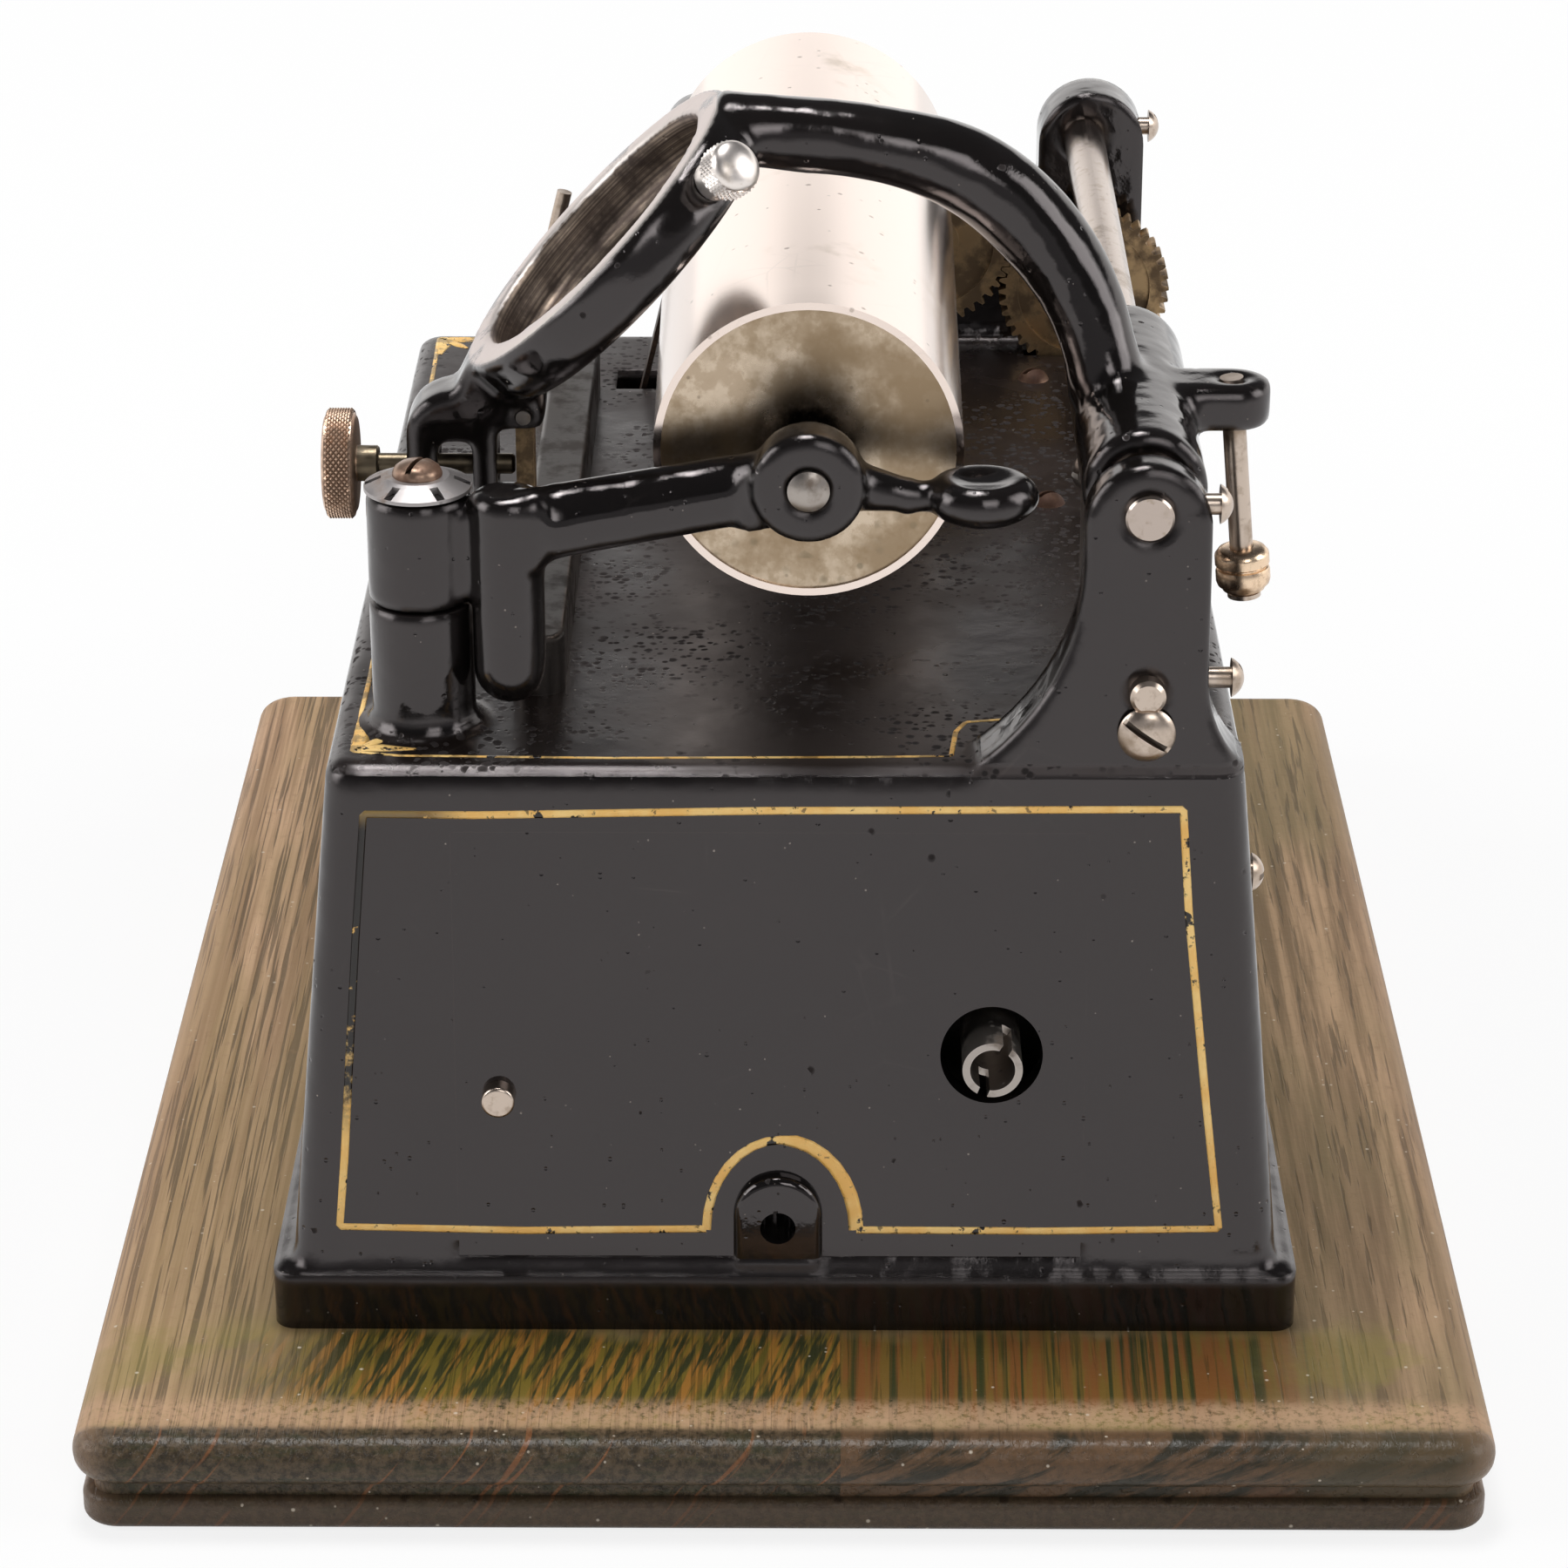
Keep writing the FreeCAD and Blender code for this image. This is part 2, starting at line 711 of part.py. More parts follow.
def base_screws():
    screws = []
    for x, y in base_screw_places():
        head = rod_z(BASE_HEAD_R, BASE_HEAD_SET, BASE_HEAD_SET + BASE_HEAD, x, y)
        slot = box(x - BASE_HEAD_R, x + BASE_HEAD_R, y - SLOT_WIDTH / 2, y + SLOT_WIDTH / 2,
                   0, BASE_HEAD_SET + SLOT_DEPTH)
        shank = rod_z(BASE_SCREW_R, BASE_HEAD_SET + BASE_HEAD - 0.1, BASE_SCREW_TOP, x, y)
        screws.append(fuse(head.cut(slot), shank))
    return Part.makeCompound(screws)


# Body casting

def near_wall_x(z):
    return FOOT_NEAR_X - (z - FOOT_Z) * NEAR_LEAN


def tapered(inset, z0, z1, corner_r):
    """The drafted body between two levels, set in by inset."""
    def limits(z):
        share = (z - FOOT_Z) / (PLATE_Z - FOOT_Z)
        far = FOOT_FAR_X + share * (TOP_FAR_X - FOOT_FAR_X) + inset
        near = FOOT_NEAR_X + share * (TOP_NEAR_X - FOOT_NEAR_X) - inset
        half = FOOT_HALF_Y + share * (TOP_HALF_Y - FOOT_HALF_Y) - inset
        return far, near, half

    far0, near0, half0 = limits(z0)
    far1, near1, half1 = limits(z1)
    reach = FLANGE_HALF_Y
    outline = [Vector(far0, -reach, z0), Vector(near0, -reach, z0), Vector(near1, -reach, z1), Vector(far1, -reach, z1)]
    lengthwise = Part.Face(Part.makePolygon(outline + outline[:1])).extrude(Vector(0, 2 * reach, 0))
    across = polygon_x([(-half0, z0), (half0, z0), (half1, z1), (-half1, z1)], FLANGE_FAR_X, FLANGE_NEAR_X)
    solid = lengthwise.common(across)
    upright = [e for e in solid.Edges if abs(e.Vertexes[0].Point.z - e.Vertexes[1].Point.z) > 1e-6]
    return solid.makeFillet(corner_r, upright)


def body_shell():
    walls = tapered(0, FOOT_Z - SHOULDER_RISE / 5, PLATE_Z, BODY_CORNER_R)
    top = edges_where(walls, lambda p: abs(p.z - PLATE_Z) < 1e-6)
    walls = walls.makeFillet(PLATE_EDGE_R, top)
    flange = Part.Face(rounded_rectangle(FLANGE_FAR_X, FLANGE_NEAR_X, -FLANGE_HALF_Y, FLANGE_HALF_Y,
                                         FLANGE_CORNER_R, BOARD_TOP)).extrude(Vector(0, 0, FLANGE_HEIGHT))
    low_half = FLANGE_HALF_Y - FLANGE_EDGE_IN
    low = rounded_rectangle(FLANGE_FAR_X + FLANGE_EDGE_IN, FLANGE_NEAR_X - FLANGE_EDGE_IN, -low_half, low_half,
                            FLANGE_CORNER_R, FLANGE_TOP)
    cove_half = FOOT_HALF_Y + SHOULDER_COVE
    middle = rounded_rectangle(FOOT_FAR_X - SHOULDER_COVE, FOOT_NEAR_X + SHOULDER_COVE, -cove_half, cove_half,
                               BODY_CORNER_R, FLANGE_TOP + SHOULDER_RISE / 4)
    high = rounded_rectangle(FOOT_FAR_X, FOOT_NEAR_X, -FOOT_HALF_Y, FOOT_HALF_Y, BODY_CORNER_R, FOOT_Z)
    lower = Part.makeLoft([low, middle], True, True)
    upper = Part.makeLoft([middle, high], True, True)
    return fuse(walls, lower, upper, flange)


def pillar_outline(x, low_z):
    """The near pillar's outline in a plane across the mandrel, down to low_z."""
    y0 = ROD_Y - PILLAR_HALF
    y1 = ROD_Y + PILLAR_HALF
    top = Vector(x, ROD_Y, PILLAR_ARCH_Z + PILLAR_HALF)
    web_turn = math.asin((WEB_TOP_Z - PLATE_Z) / WEB_R)
    web_start_y = y0 - WEB_R + WEB_R * math.cos(web_turn)
    web_start = Vector(x, web_start_y, PLATE_Z)
    web_middle = Vector(x, y0 - WEB_R + WEB_R * math.cos(web_turn / 2), WEB_TOP_Z - WEB_R * math.sin(web_turn / 2))
    web_end = Vector(x, y0, WEB_TOP_Z)
    flare = TOP_HALF_Y - y1
    flare_z = PLATE_Z + math.sqrt(FLARE_R ** 2 - (FLARE_R - flare) ** 2)
    half_angle = math.acos(1 - flare / FLARE_R) / 2
    flare_middle = Vector(x, y1 + FLARE_R * (1 - math.cos(half_angle)), flare_z - FLARE_R * math.sin(half_angle))
    left = Vector(x, y0, PILLAR_ARCH_Z)
    right = Vector(x, y1, PILLAR_ARCH_Z)
    flare_top = Vector(x, y1, flare_z)
    flare_end = Vector(x, TOP_HALF_Y, PLATE_Z)
    low_right = Vector(x, TOP_HALF_Y, low_z)
    low_left = Vector(x, web_start_y, low_z)
    return [line(low_left, web_start), arc(web_start, web_middle, web_end), line(web_end, left),
            arc(left, top, right), line(right, flare_top), arc(flare_top, flare_middle, flare_end),
            line(flare_end, low_right), line(low_right, low_left)]


def near_pillar():
    low = PLATE_Z - PLATE_THICK
    block = prism(pillar_outline(NEAR_PILLAR_FAR_X, low), Vector(FLANGE_NEAR_X - NEAR_PILLAR_FAR_X, 0, 0))
    high = PILLAR_ARCH_Z + PILLAR_HALF + 1
    solid = block.common(tapered(0, low - 1, high, BODY_CORNER_R))

    def upper_face_edge(edge):
        points = [v.Point for v in edge.Vertexes]
        along = abs(points[0].x - points[-1].x) < NEAR_LEAN * abs(points[0].z - points[-1].z) + 1e-6
        on_near = all(abs(p.x - near_wall_x(p.z)) < 1e-4 for p in points)
        return along and on_near and all(p.z > PLATE_Z + 0.01 for p in points)

    return solid.makeFillet(PILLAR_EDGE_R, [edge for edge in solid.Edges if upper_face_edge(edge)])


def cheek():
    """The far wall: a head for the mandrel's bearing, a web, and the pillar of the back rod."""
    x = CHEEK_FAR_X
    y0 = FAR_PILLAR_Y - FAR_PILLAR_HALF
    y1 = FAR_PILLAR_Y + FAR_PILLAR_HALF
    low = FLANGE_TOP - 1
    turn = HEAD_CORNER_R * (1 - math.sqrt(0.5))
    corner_z = SHOULDER_Z - HEAD_CORNER_R
    inner_y = (HEAD_REAR_Y + y0) / 2

    def at(y, z):
        return Vector(x, y, z)

    edges = [
        line(at(y1, low), at(HEAD_FRONT_Y, low)),
        line(at(HEAD_FRONT_Y, low), at(HEAD_FRONT_Y, corner_z)),
        arc(at(HEAD_FRONT_Y, corner_z), at(HEAD_FRONT_Y + turn, SHOULDER_Z - turn),
            at(HEAD_FRONT_Y + HEAD_CORNER_R, SHOULDER_Z)),
        line(at(HEAD_FRONT_Y + HEAD_CORNER_R, SHOULDER_Z), at(MANDREL_Y - HEAD_ARCH_HALF, SHOULDER_Z)),
        arc(at(MANDREL_Y - HEAD_ARCH_HALF, SHOULDER_Z), at(MANDREL_Y, HEAD_TOP_Z),
            at(MANDREL_Y + HEAD_ARCH_HALF, SHOULDER_Z)),
        line(at(MANDREL_Y + HEAD_ARCH_HALF, SHOULDER_Z), at(HEAD_REAR_Y, SHOULDER_Z)),
        line(at(HEAD_REAR_Y, SHOULDER_Z), at(inner_y, CHEEK_WEB_Z)),
        line(at(inner_y, CHEEK_WEB_Z), at(y0, CHEEK_WEB_Z)),
        line(at(y0, CHEEK_WEB_Z), at(y0, FAR_ARCH_Z)),
        arc(at(y0, FAR_ARCH_Z), at(FAR_PILLAR_Y, FAR_ARCH_Z + FAR_PILLAR_HALF), at(y1, FAR_ARCH_Z)),
        line(at(y1, FAR_ARCH_Z), at(y1, low)),
    ]
    return prism(edges, Vector(CHEEK_NEAR_X - CHEEK_FAR_X, 0, 0))


def blend_strip(x, into, y0, y1):
    """A concave strip that blends a wall at x into the plate; into is +1 or -1 along X."""
    turn = BLEND_R * (1 - math.sqrt(0.5))
    foot = Vector(x + into * BLEND_R, y0, PLATE_Z)
    head = Vector(x, y0, PLATE_Z + BLEND_R)
    middle = Vector(x + into * turn, y0, PLATE_Z + turn)
    corner = Vector(x, y0, PLATE_Z)
    return prism([line(corner, foot), arc(foot, middle, head), line(head, corner)], Vector(0, y1 - y0, 0))


def hinge_post():
    """The fixed half of the end gate's hinge, flared into the plate."""
    turn = POST_FLARE * (1 - math.sqrt(0.5))

    def at(r, z):
        return Vector(POST_X + r, POST_Y, z)

    low = PLATE_Z - 1
    edges = [line(at(0, low), at(POST_R + POST_FLARE, low)),
             line(at(POST_R + POST_FLARE, low), at(POST_R + POST_FLARE, PLATE_Z)),
             arc(at(POST_R + POST_FLARE, PLATE_Z), at(POST_R + turn, PLATE_Z + turn),
                 at(POST_R, PLATE_Z + POST_FLARE)),
             line(at(POST_R, PLATE_Z + POST_FLARE), at(POST_R, HUB_LOW_Z - FREE_GAP)),
             line(at(POST_R, HUB_LOW_Z - FREE_GAP), at(0, HUB_LOW_Z - FREE_GAP)),
             line(at(0, HUB_LOW_Z - FREE_GAP), at(0, low))]
    return Part.Face(Part.Wire(edges)).revolve(Vector(POST_X, POST_Y, 0), AZ, 360)


def foot_boss():
    """The arched boss low on the near wall, which holds the lid's catch hole."""
    x = near_wall_x(BOSS_Z + BOSS_TOP_R) - WALL
    top_z = BOSS_Z + BOSS_TOP_R
    arch_z = top_z - BOSS_HALF
    edges = [line(Vector(x, BOSS_Y - BOSS_HALF, FLANGE_TOP), Vector(x, BOSS_Y - BOSS_HALF, arch_z)),
             arc(Vector(x, BOSS_Y - BOSS_HALF, arch_z), Vector(x, BOSS_Y, top_z),
                 Vector(x, BOSS_Y + BOSS_HALF, arch_z)),
             line(Vector(x, BOSS_Y + BOSS_HALF, arch_z), Vector(x, BOSS_Y + BOSS_HALF, FLANGE_TOP)),
             line(Vector(x, BOSS_Y + BOSS_HALF, FLANGE_TOP), Vector(x, BOSS_Y - BOSS_HALF, FLANGE_TOP))]
    block = prism(edges, Vector(BOSS_FACE_X - x, 0, 0))
    face_edges = edges_where(block, lambda p: abs(p.x - BOSS_FACE_X) < 1e-6)
    face_edges = [e for e in face_edges if max(v.Point.z for v in e.Vertexes) > FLANGE_TOP + 0.1]
    return block.makeFillet(BOSS_EDGE_R, face_edges)


def casting():
    shell = fuse(body_shell(), near_pillar(), cheek(), hinge_post(), foot_boss(),
                 blend_strip(CHEEK_NEAR_X, 1, HEAD_FRONT_Y, FAR_PILLAR_Y + FAR_PILLAR_HALF),
                 blend_strip(NEAR_PILLAR_FAR_X, -1, ROD_Y - PILLAR_HALF, ROD_Y + PILLAR_HALF))
    inside = tapered(WALL, BOARD_TOP - 1, PLATE_UNDER, BODY_CORNER_R - 2)
    lugs = []
    for x, y in base_screw_places():
        wall_y = math.copysign(FOOT_HALF_Y, y)
        low_y, high_y = sorted((y - math.copysign(BASE_LUG_HALF, y), wall_y))
        lugs.append(box(x - BASE_LUG_HALF, x + BASE_LUG_HALF, low_y, high_y, BOARD_TOP,
                        BASE_SCREW_TOP + BASE_LUG_OVER))
    boss_backing = box(BOSS_FACE_X - BOSS_HOLE_DEPTH - BOSS_BACKING, FOOT_NEAR_X - 1, BOSS_Y - BOSS_HALF,
                       BOSS_Y + BOSS_HALF, BOARD_TOP, BOSS_Z + BOSS_TOP_R)
    inside = cut(inside, boss_backing, *lugs)
    rod_far = CHEEK_NEAR_X - ROD_SEAT_DEPTH
    edge_middle = (EDGE_FRONT_Y + EDGE_REAR_Y) / 2
    gear_tip_r = TRAIN_CENTRES / 2 + ADDENDUM * TRAIN_MODULE
    gear_half = math.sqrt(gear_tip_r ** 2 - (FEED_Z - PLATE_Z) ** 2) + GEAR_SLOT_GAP
    pivot_reach = NEAR_PILLAR_FAR_X - 1
    slot_x = SLOT_X_WIDTH / 2
    holes = [
        rod_x(CRANK_HOLE_R, NEAR_PLATE_X, FLANGE_NEAR_X, CRANK_Y, CRANK_Z),
        rod_x(CRANK_SPOT_R, NEAR_PLATE_X, near_wall_x(CRANK_Z - CRANK_SPOT_R) - WALL, CRANK_Y, CRANK_Z),
        rod_x(STEADY_R, NEAR_PLATE_X, FLANGE_NEAR_X, STEADY_Y, STEADY_Z),
        rod_x(BOSS_HOLE_R, BOSS_FACE_X - BOSS_HOLE_DEPTH, FLANGE_NEAR_X + 1, BOSS_Y, BOSS_Z),
        rod_x(ROD_R, rod_far, FLANGE_NEAR_X, ROD_Y, ROD_Z),
        rod_x(PIVOT_PIN_R, pivot_reach, FLANGE_NEAR_X, FEED_Y, FEED_Z),
        rod_x(SET_SCREW_NECK_R, near_wall_x(FEED_Z) - KEEPER_DEPTH, FLANGE_NEAR_X, FEED_Y, FEED_Z - KEEPER_DROP),
        rod_x(SHAFT_BUSH_R, CHEEK_FAR_X - 1, CHEEK_NEAR_X + 1, MANDREL_Y, MANDREL_Z),
        rod_x(SHAFT_BUSH_R, CHEEK_FAR_X - 1, CHEEK_NEAR_X + 1, FEED_Y, FEED_Z),
        rod_x(IDLER_STUD_R, CHEEK_FAR_X - 1, CHEEK_NEAR_X + 1, IDLER_AT[0], IDLER_AT[1]),
        rod_z(HINGE_R, HUB_LOW_Z - HINGE_DEPTH - 1, HUB_LOW_Z, POST_X, POST_Y),
        box(BELT_X - slot_x, BELT_X + slot_x, SLOT_FRONT_Y, SLOT_REAR_Y, PLATE_UNDER - 1, PLATE_Z + 1),
        box(LEVER_X - LEVER_SLOT_HALF_X, LEVER_X + LEVER_SLOT_HALF_X, LEVER_Y - LEVER_SLOT_HALF_Y,
            LEVER_Y + LEVER_SLOT_HALF_Y, PLATE_UNDER - 1, PLATE_Z + 1),
        box(TRAIN_NEAR_X - TRAIN_FACE - GEAR_SLOT_GAP, TRAIN_NEAR_X + GEAR_SLOT_GAP, FEED_Y - gear_half,
            FEED_Y + gear_half, PLATE_UNDER - 1, PLATE_Z + BLEND_R),
        rod_z(PLATE_SCREW_R, PLATE_UNDER - 1, PLATE_Z + 1, EDGE_SCREW_FAR_X, edge_middle),
        rod_z(PLATE_SCREW_R, PLATE_UNDER - 1, PLATE_Z + 1, EDGE_SCREW_NEAR_X, edge_middle),
        rod_y(SET_SCREW_NECK_R, rear_wall_y() - 2 * WALL, rear_wall_y() + 1, REAR_SCREW_X, REAR_SCREW_Z),
    ]
    for x in (PLATE_SCREW_FAR_X, PLATE_SCREW_NEAR_X):
        for y in (-PLATE_SCREW_Y, PLATE_SCREW_Y):
            holes.append(rod_z(PLATE_SCREW_R + BOLT_CLEAR, PLATE_UNDER - 1, PLATE_Z + 1, x, y))
    for x, z, held, face_y, _ in set_screw_places():
        holes.append(rod_y(SET_SCREW_NECK_R, held[0], face_y + 2, x, z))
    holes += screw_holes(BASE_SCREW_R, BOARD_TOP - 1, BASE_SCREW_TOP + 0.5)
    solid = shell.cut(inside)
    for hole in holes:
        solid = solid.cut(hole)
    return solid


def near_wall_block():
    """What the middle of the near wall takes up, with its crank hole, pin hole and boss."""
    return box(near_wall_x(PANEL_TOP_Z) - 2 * WALL, FLANGE_NEAR_X + 1, PANEL_FRONT_Y, PANEL_REAR_Y,
               FOOT_Z, PANEL_TOP_Z)


def body_casting(whole):
    return whole.cut(near_wall_block())


def near_wall(whole):
    """The middle of the near wall: one iron with the rest of the casting, kept apart so its holes stay open."""
    return whole.common(near_wall_block())


# Screws and pins of the casting

REAR_SCREW_X = 79.5
REAR_SCREW_Z = 75.0
PILLAR_SCREW_X = 79.7


def set_screw_places():
    """For each set screw: x, z, the held pin's (y, radius), the pillar's rear face, and the neck's length."""
    cheek_x = (CHEEK_NEAR_X + CHEEK_FAR_X) / 2
    near_face = ROD_Y + PILLAR_HALF
    far_face = FAR_PILLAR_Y + FAR_PILLAR_HALF
    return [(PILLAR_SCREW_X, ROD_Z + 1.0, (ROD_Y, ROD_R), near_face, SET_SCREW_NECK),
            (PILLAR_SCREW_X, FEED_Z, (FEED_Y, PIVOT_PIN_R), near_face, LONG_NECK),
            (cheek_x, ROD_Z + 0.6, (ROD_Y, ROD_R), far_face, SET_SCREW_NECK)]


def set_screws():
    """Round-head screws that lock the back rod and the pivot pin from behind, and one in the rear wall."""
    screws = []
    for x, z, held, face_y, neck in set_screw_places():
        shank = rod_y(SET_SCREW_NECK_R, held[0] + held[1], face_y + neck + 0.1, x, z)
        head = slotted_dome(SET_SCREW_HEAD_R, DOME_HEIGHT, Vector(x, face_y + neck, z), AY, AZ)
        screws.append(fuse(shank, head))
    wall_y = rear_wall_y()
    base_y = wall_y + FREE_GAP
    head = slotted_dome(SET_SCREW_HEAD_R, DOME_HEIGHT, Vector(REAR_SCREW_X, base_y, REAR_SCREW_Z), AY, AX)
    shank = rod_y(SET_SCREW_NECK_R, wall_y - WALL - 1, base_y + 0.1, REAR_SCREW_X, REAR_SCREW_Z)
    screws.append(fuse(head, shank))
    return Part.makeCompound(screws)


def rear_wall_y():
    """Where the rear wall's outer face stands at the small screw."""
    return FOOT_HALF_Y - (REAR_SCREW_Z - FOOT_Z) * (FOOT_HALF_Y - TOP_HALF_Y) / (PLATE_Z - FOOT_Z)


def keeper_screw():
    z = FEED_Z - KEEPER_DROP
    face = keeper_face()
    turn = math.radians(KEEPER_TURN)
    across = Vector(0, math.cos(turn), math.sin(turn))
    head = slotted_dome(KEEPER_HEAD_R, DOME_HEIGHT, Vector(face, FEED_Y, z), AX, across)
    return fuse(head, rod_x(SET_SCREW_NECK_R, near_wall_x(FEED_Z) - KEEPER_DEPTH, face + 0.1, FEED_Y, z))


def back_rod():
    end = near_wall_x(ROD_Z) + ROD_PROUD
    rod = rod_x(ROD_R, CHEEK_NEAR_X - ROD_SEAT_DEPTH, end, ROD_Y, ROD_Z)
    return rod.makeChamfer(ROD_EDGE, edges_where(rod, lambda p: abs(p.x - end) < 1e-6))


def pivot_pin():
    """The pin that carries the feed screw's near end on its cone point."""
    end = near_wall_x(FEED_Z) + PIVOT_PIN_OUT
    pin = rod_x(PIVOT_PIN_R, FEED_NEAR_X + FREE_GAP, end, FEED_Y, FEED_Z)
    pin = pin.makeChamfer(PIVOT_PIN_EDGE, edges_where(pin, lambda p: abs(p.x - end) < 1e-6))
    start = FEED_NEAR_X + FREE_GAP
    point = cone_x(POINT_R, PIVOT_POINT_R, start - PIVOT_POINT, start, FEED_Y, FEED_Z)
    groove = rod_x(KEEPER_HEAD_R + RUN_FIT, keeper_face(), end + 1, FEED_Y, FEED_Z - KEEPER_DROP)
    return fuse(pin, point).cut(groove)


def keeper_face():
    """The plane that the keeper screw's head stands on."""
    return near_wall_x(FEED_Z - KEEPER_DROP) + KEEPER_STAND


def steady_pin():
    """The pin through the near wall that steadies the motor's near plate."""
    end = near_wall_x(STEADY_Z) + STEADY_OUT
    pin = rod_x(STEADY_R, NEAR_PLATE_X - 1, end, STEADY_Y, STEADY_Z)
    return pin.makeFillet(STEADY_EDGE_R, edges_where(pin, lambda p: abs(p.x - end) < 1e-6))


# Mandrel

def mandrel_shell():
    outer = cone_x(MANDREL_FAR_R, MANDREL_NEAR_R, MANDREL_FAR_X, MANDREL_NEAR_X, MANDREL_Y, MANDREL_Z)
    inner = cone_x(MANDREL_FAR_R - MANDREL_WALL, MANDREL_NEAR_R - MANDREL_WALL, MANDREL_FAR_X, MANDREL_NEAR_X,
                   MANDREL_Y, MANDREL_Z)
    return outer.cut(inner)


def inner_radius(x):
    share = (x - MANDREL_FAR_X) / MANDREL_LENGTH
    return MANDREL_FAR_R - MANDREL_WALL + share * (MANDREL_NEAR_R - MANDREL_FAR_R)


def end_disc(x0, x1):
    disc = cone_x(inner_radius(x0), inner_radius(x1), x0, x1, MANDREL_Y, MANDREL_Z)
    return disc.cut(rod_x(MANDREL_SHAFT_R, x0 - 1, x1 + 1, MANDREL_Y, MANDREL_Z))


def mandrel_end_discs():
    near = MANDREL_NEAR_X - MANDREL_RIM_SET
    far = MANDREL_FAR_X + MANDREL_RIM_SET
    return Part.makeCompound([end_disc(near - END_DISC_THICK, near), end_disc(far, far + END_DISC_THICK)])


def mandrel_shaft():
    end = MANDREL_NEAR_X + SHAFT_NUB
    shaft = rod_x(MANDREL_SHAFT_R, CHEEK_FAR_X, end, MANDREL_Y, MANDREL_Z)
    mouth_r = CENTRE_PIN_R * SHAFT_RECESS / CENTRE_POINT
    return shaft.cut(cone_x(POINT_R + POINT_CLEAR, mouth_r, end - SHAFT_RECESS, end + 0.01, MANDREL_Y, MANDREL_Z))


def pulley(radius, x, shaft_r, y, z):
    """A flat belt pulley with a flange at each side."""
    half = PULLEY_WIDTH / 2
    flange_r = radius + PULLEY_FLANGE
    rim = rod_x(radius, x - half, x + half, y, z)
    sides = [rod_x(flange_r, x - half, x - half + PULLEY_FLANGE_THICK, y, z),
             rod_x(flange_r, x + half - PULLEY_FLANGE_THICK, x + half, y, z)]
    return fuse(rim, *sides).cut(rod_x(shaft_r, x - half - 1, x + half + 1, y, z))


def belt_pulley():
    return pulley(BELT_R - BELT_THICK / 2 - FREE_GAP, BELT_X, MANDREL_SHAFT_R, MANDREL_Y, MANDREL_Z)


def train_gear(phase, bore_r, at):
    """One of the three equal brass gears at the far end, with recessed faces."""
    x0 = TRAIN_NEAR_X - TRAIN_FACE
    x1 = TRAIN_NEAR_X
    blank = gear_x(TRAIN_TEETH, TRAIN_MODULE, phase, x0, x1, at[0], at[1])
    rim_r = TRAIN_CENTRES / 2 - GEAR_RIM
    for low, high in ((x0 - 1, x0 + GEAR_RECESS), (x1 - GEAR_RECESS, x1 + 1)):
        ring = rod_x(rim_r, low, high, at[0], at[1]).cut(rod_x(GEAR_HUB_R, low - 1, high + 1, at[0], at[1]))
        blank = blank.cut(ring)
    return blank.cut(rod_x(bore_r, x0 - 1, x1 + 1, at[0], at[1]))


def idler_stud():
    """The stud in the cheek that the idler gear turns on, with its slotted head."""
    y, z = IDLER_AT
    end = TRAIN_NEAR_X + FREE_GAP
    stud = rod_x(IDLER_STUD_R, CHEEK_FAR_X, end, y, z)
    return fuse(stud, slotted_dome(IDLER_HEAD_R, DOME_HEIGHT, Vector(end, y, z), AX, AY))


def bearing_bush(y, z, shaft_r):
    end = CHEEK_NEAR_X + SHAFT_BUSH_PROUD
    bush = rod_x(SHAFT_BUSH_R, CHEEK_FAR_X, end, y, z)
    return bush.cut(rod_x(shaft_r + RUN_FIT, CHEEK_FAR_X - 1, end + 1, y, z))


def bearing_bushes():
    return Part.makeCompound([bearing_bush(MANDREL_Y, MANDREL_Z, MANDREL_SHAFT_R),
                              bearing_bush(FEED_Y, FEED_Z, FEED_JOURNAL_R)])


def feed_screw():
    far = TRAIN_NEAR_X
    screw = rod_x(FEED_R, far, FEED_NEAR_X, FEED_Y, FEED_Z)
    journal = rod_x(FEED_JOURNAL_R, CHEEK_FAR_X, far + 0.1, FEED_Y, FEED_Z)
    start = FEED_NEAR_X - FEED_RECESS
    recess = cone_x(POINT_R + POINT_CLEAR, FEED_RECESS_R, start, FEED_NEAR_X + 0.01, FEED_Y, FEED_Z)
    return fuse(screw, journal).cut(recess)


# End gate

def gate_web():
    """The flat web between the hub and the stub."""
    angle = math.atan2(STUB_Y - POST_Y, STUB_X - POST_X)
    length = math.hypot(STUB_X - POST_X, STUB_Y - POST_Y)
    height = HUB_TOP_Z - HUB_LOW_Z - 2 * GATE_WEB_INSET
    web = Part.makeBox(length, GATE_WEB_THICK, height, Vector(0, -GATE_WEB_THICK / 2, HUB_LOW_Z + GATE_WEB_INSET))
    web.rotate(Vector(0, 0, 0), AZ, math.degrees(angle))
    web.translate(Vector(POST_X, POST_Y, 0))
    return web


def gate_bar():
    """The bar from the stub up to the eye, with a rounded top edge."""
    back = BAR_FACE_X - BAR_THICK
    left_low = BAR_LEFT_Z - BAR_LEFT_HEIGHT / 2
    right_low = MANDREL_Z - BAR_RIGHT_HEIGHT / 2 - BAR_RIGHT_DROP
    points = [(STUB_Y, left_low), (MANDREL_Y, right_low), (MANDREL_Y, right_low + BAR_RIGHT_HEIGHT),
              (STUB_Y, left_low + BAR_LEFT_HEIGHT)]
    bar = polygon_x(points, back, BAR_FACE_X)

    def runs_above(edge):
        ends = [v.Point for v in edge.Vertexes]
        middle = (ends[0] + ends[-1]) * 0.5
        return abs(ends[0].y - ends[-1].y) > 1 and middle.z > (left_low + right_low) / 2 + 1

    return bar.makeFillet(BAR_EDGE_R, [edge for edge in bar.Edges if runs_above(edge)])


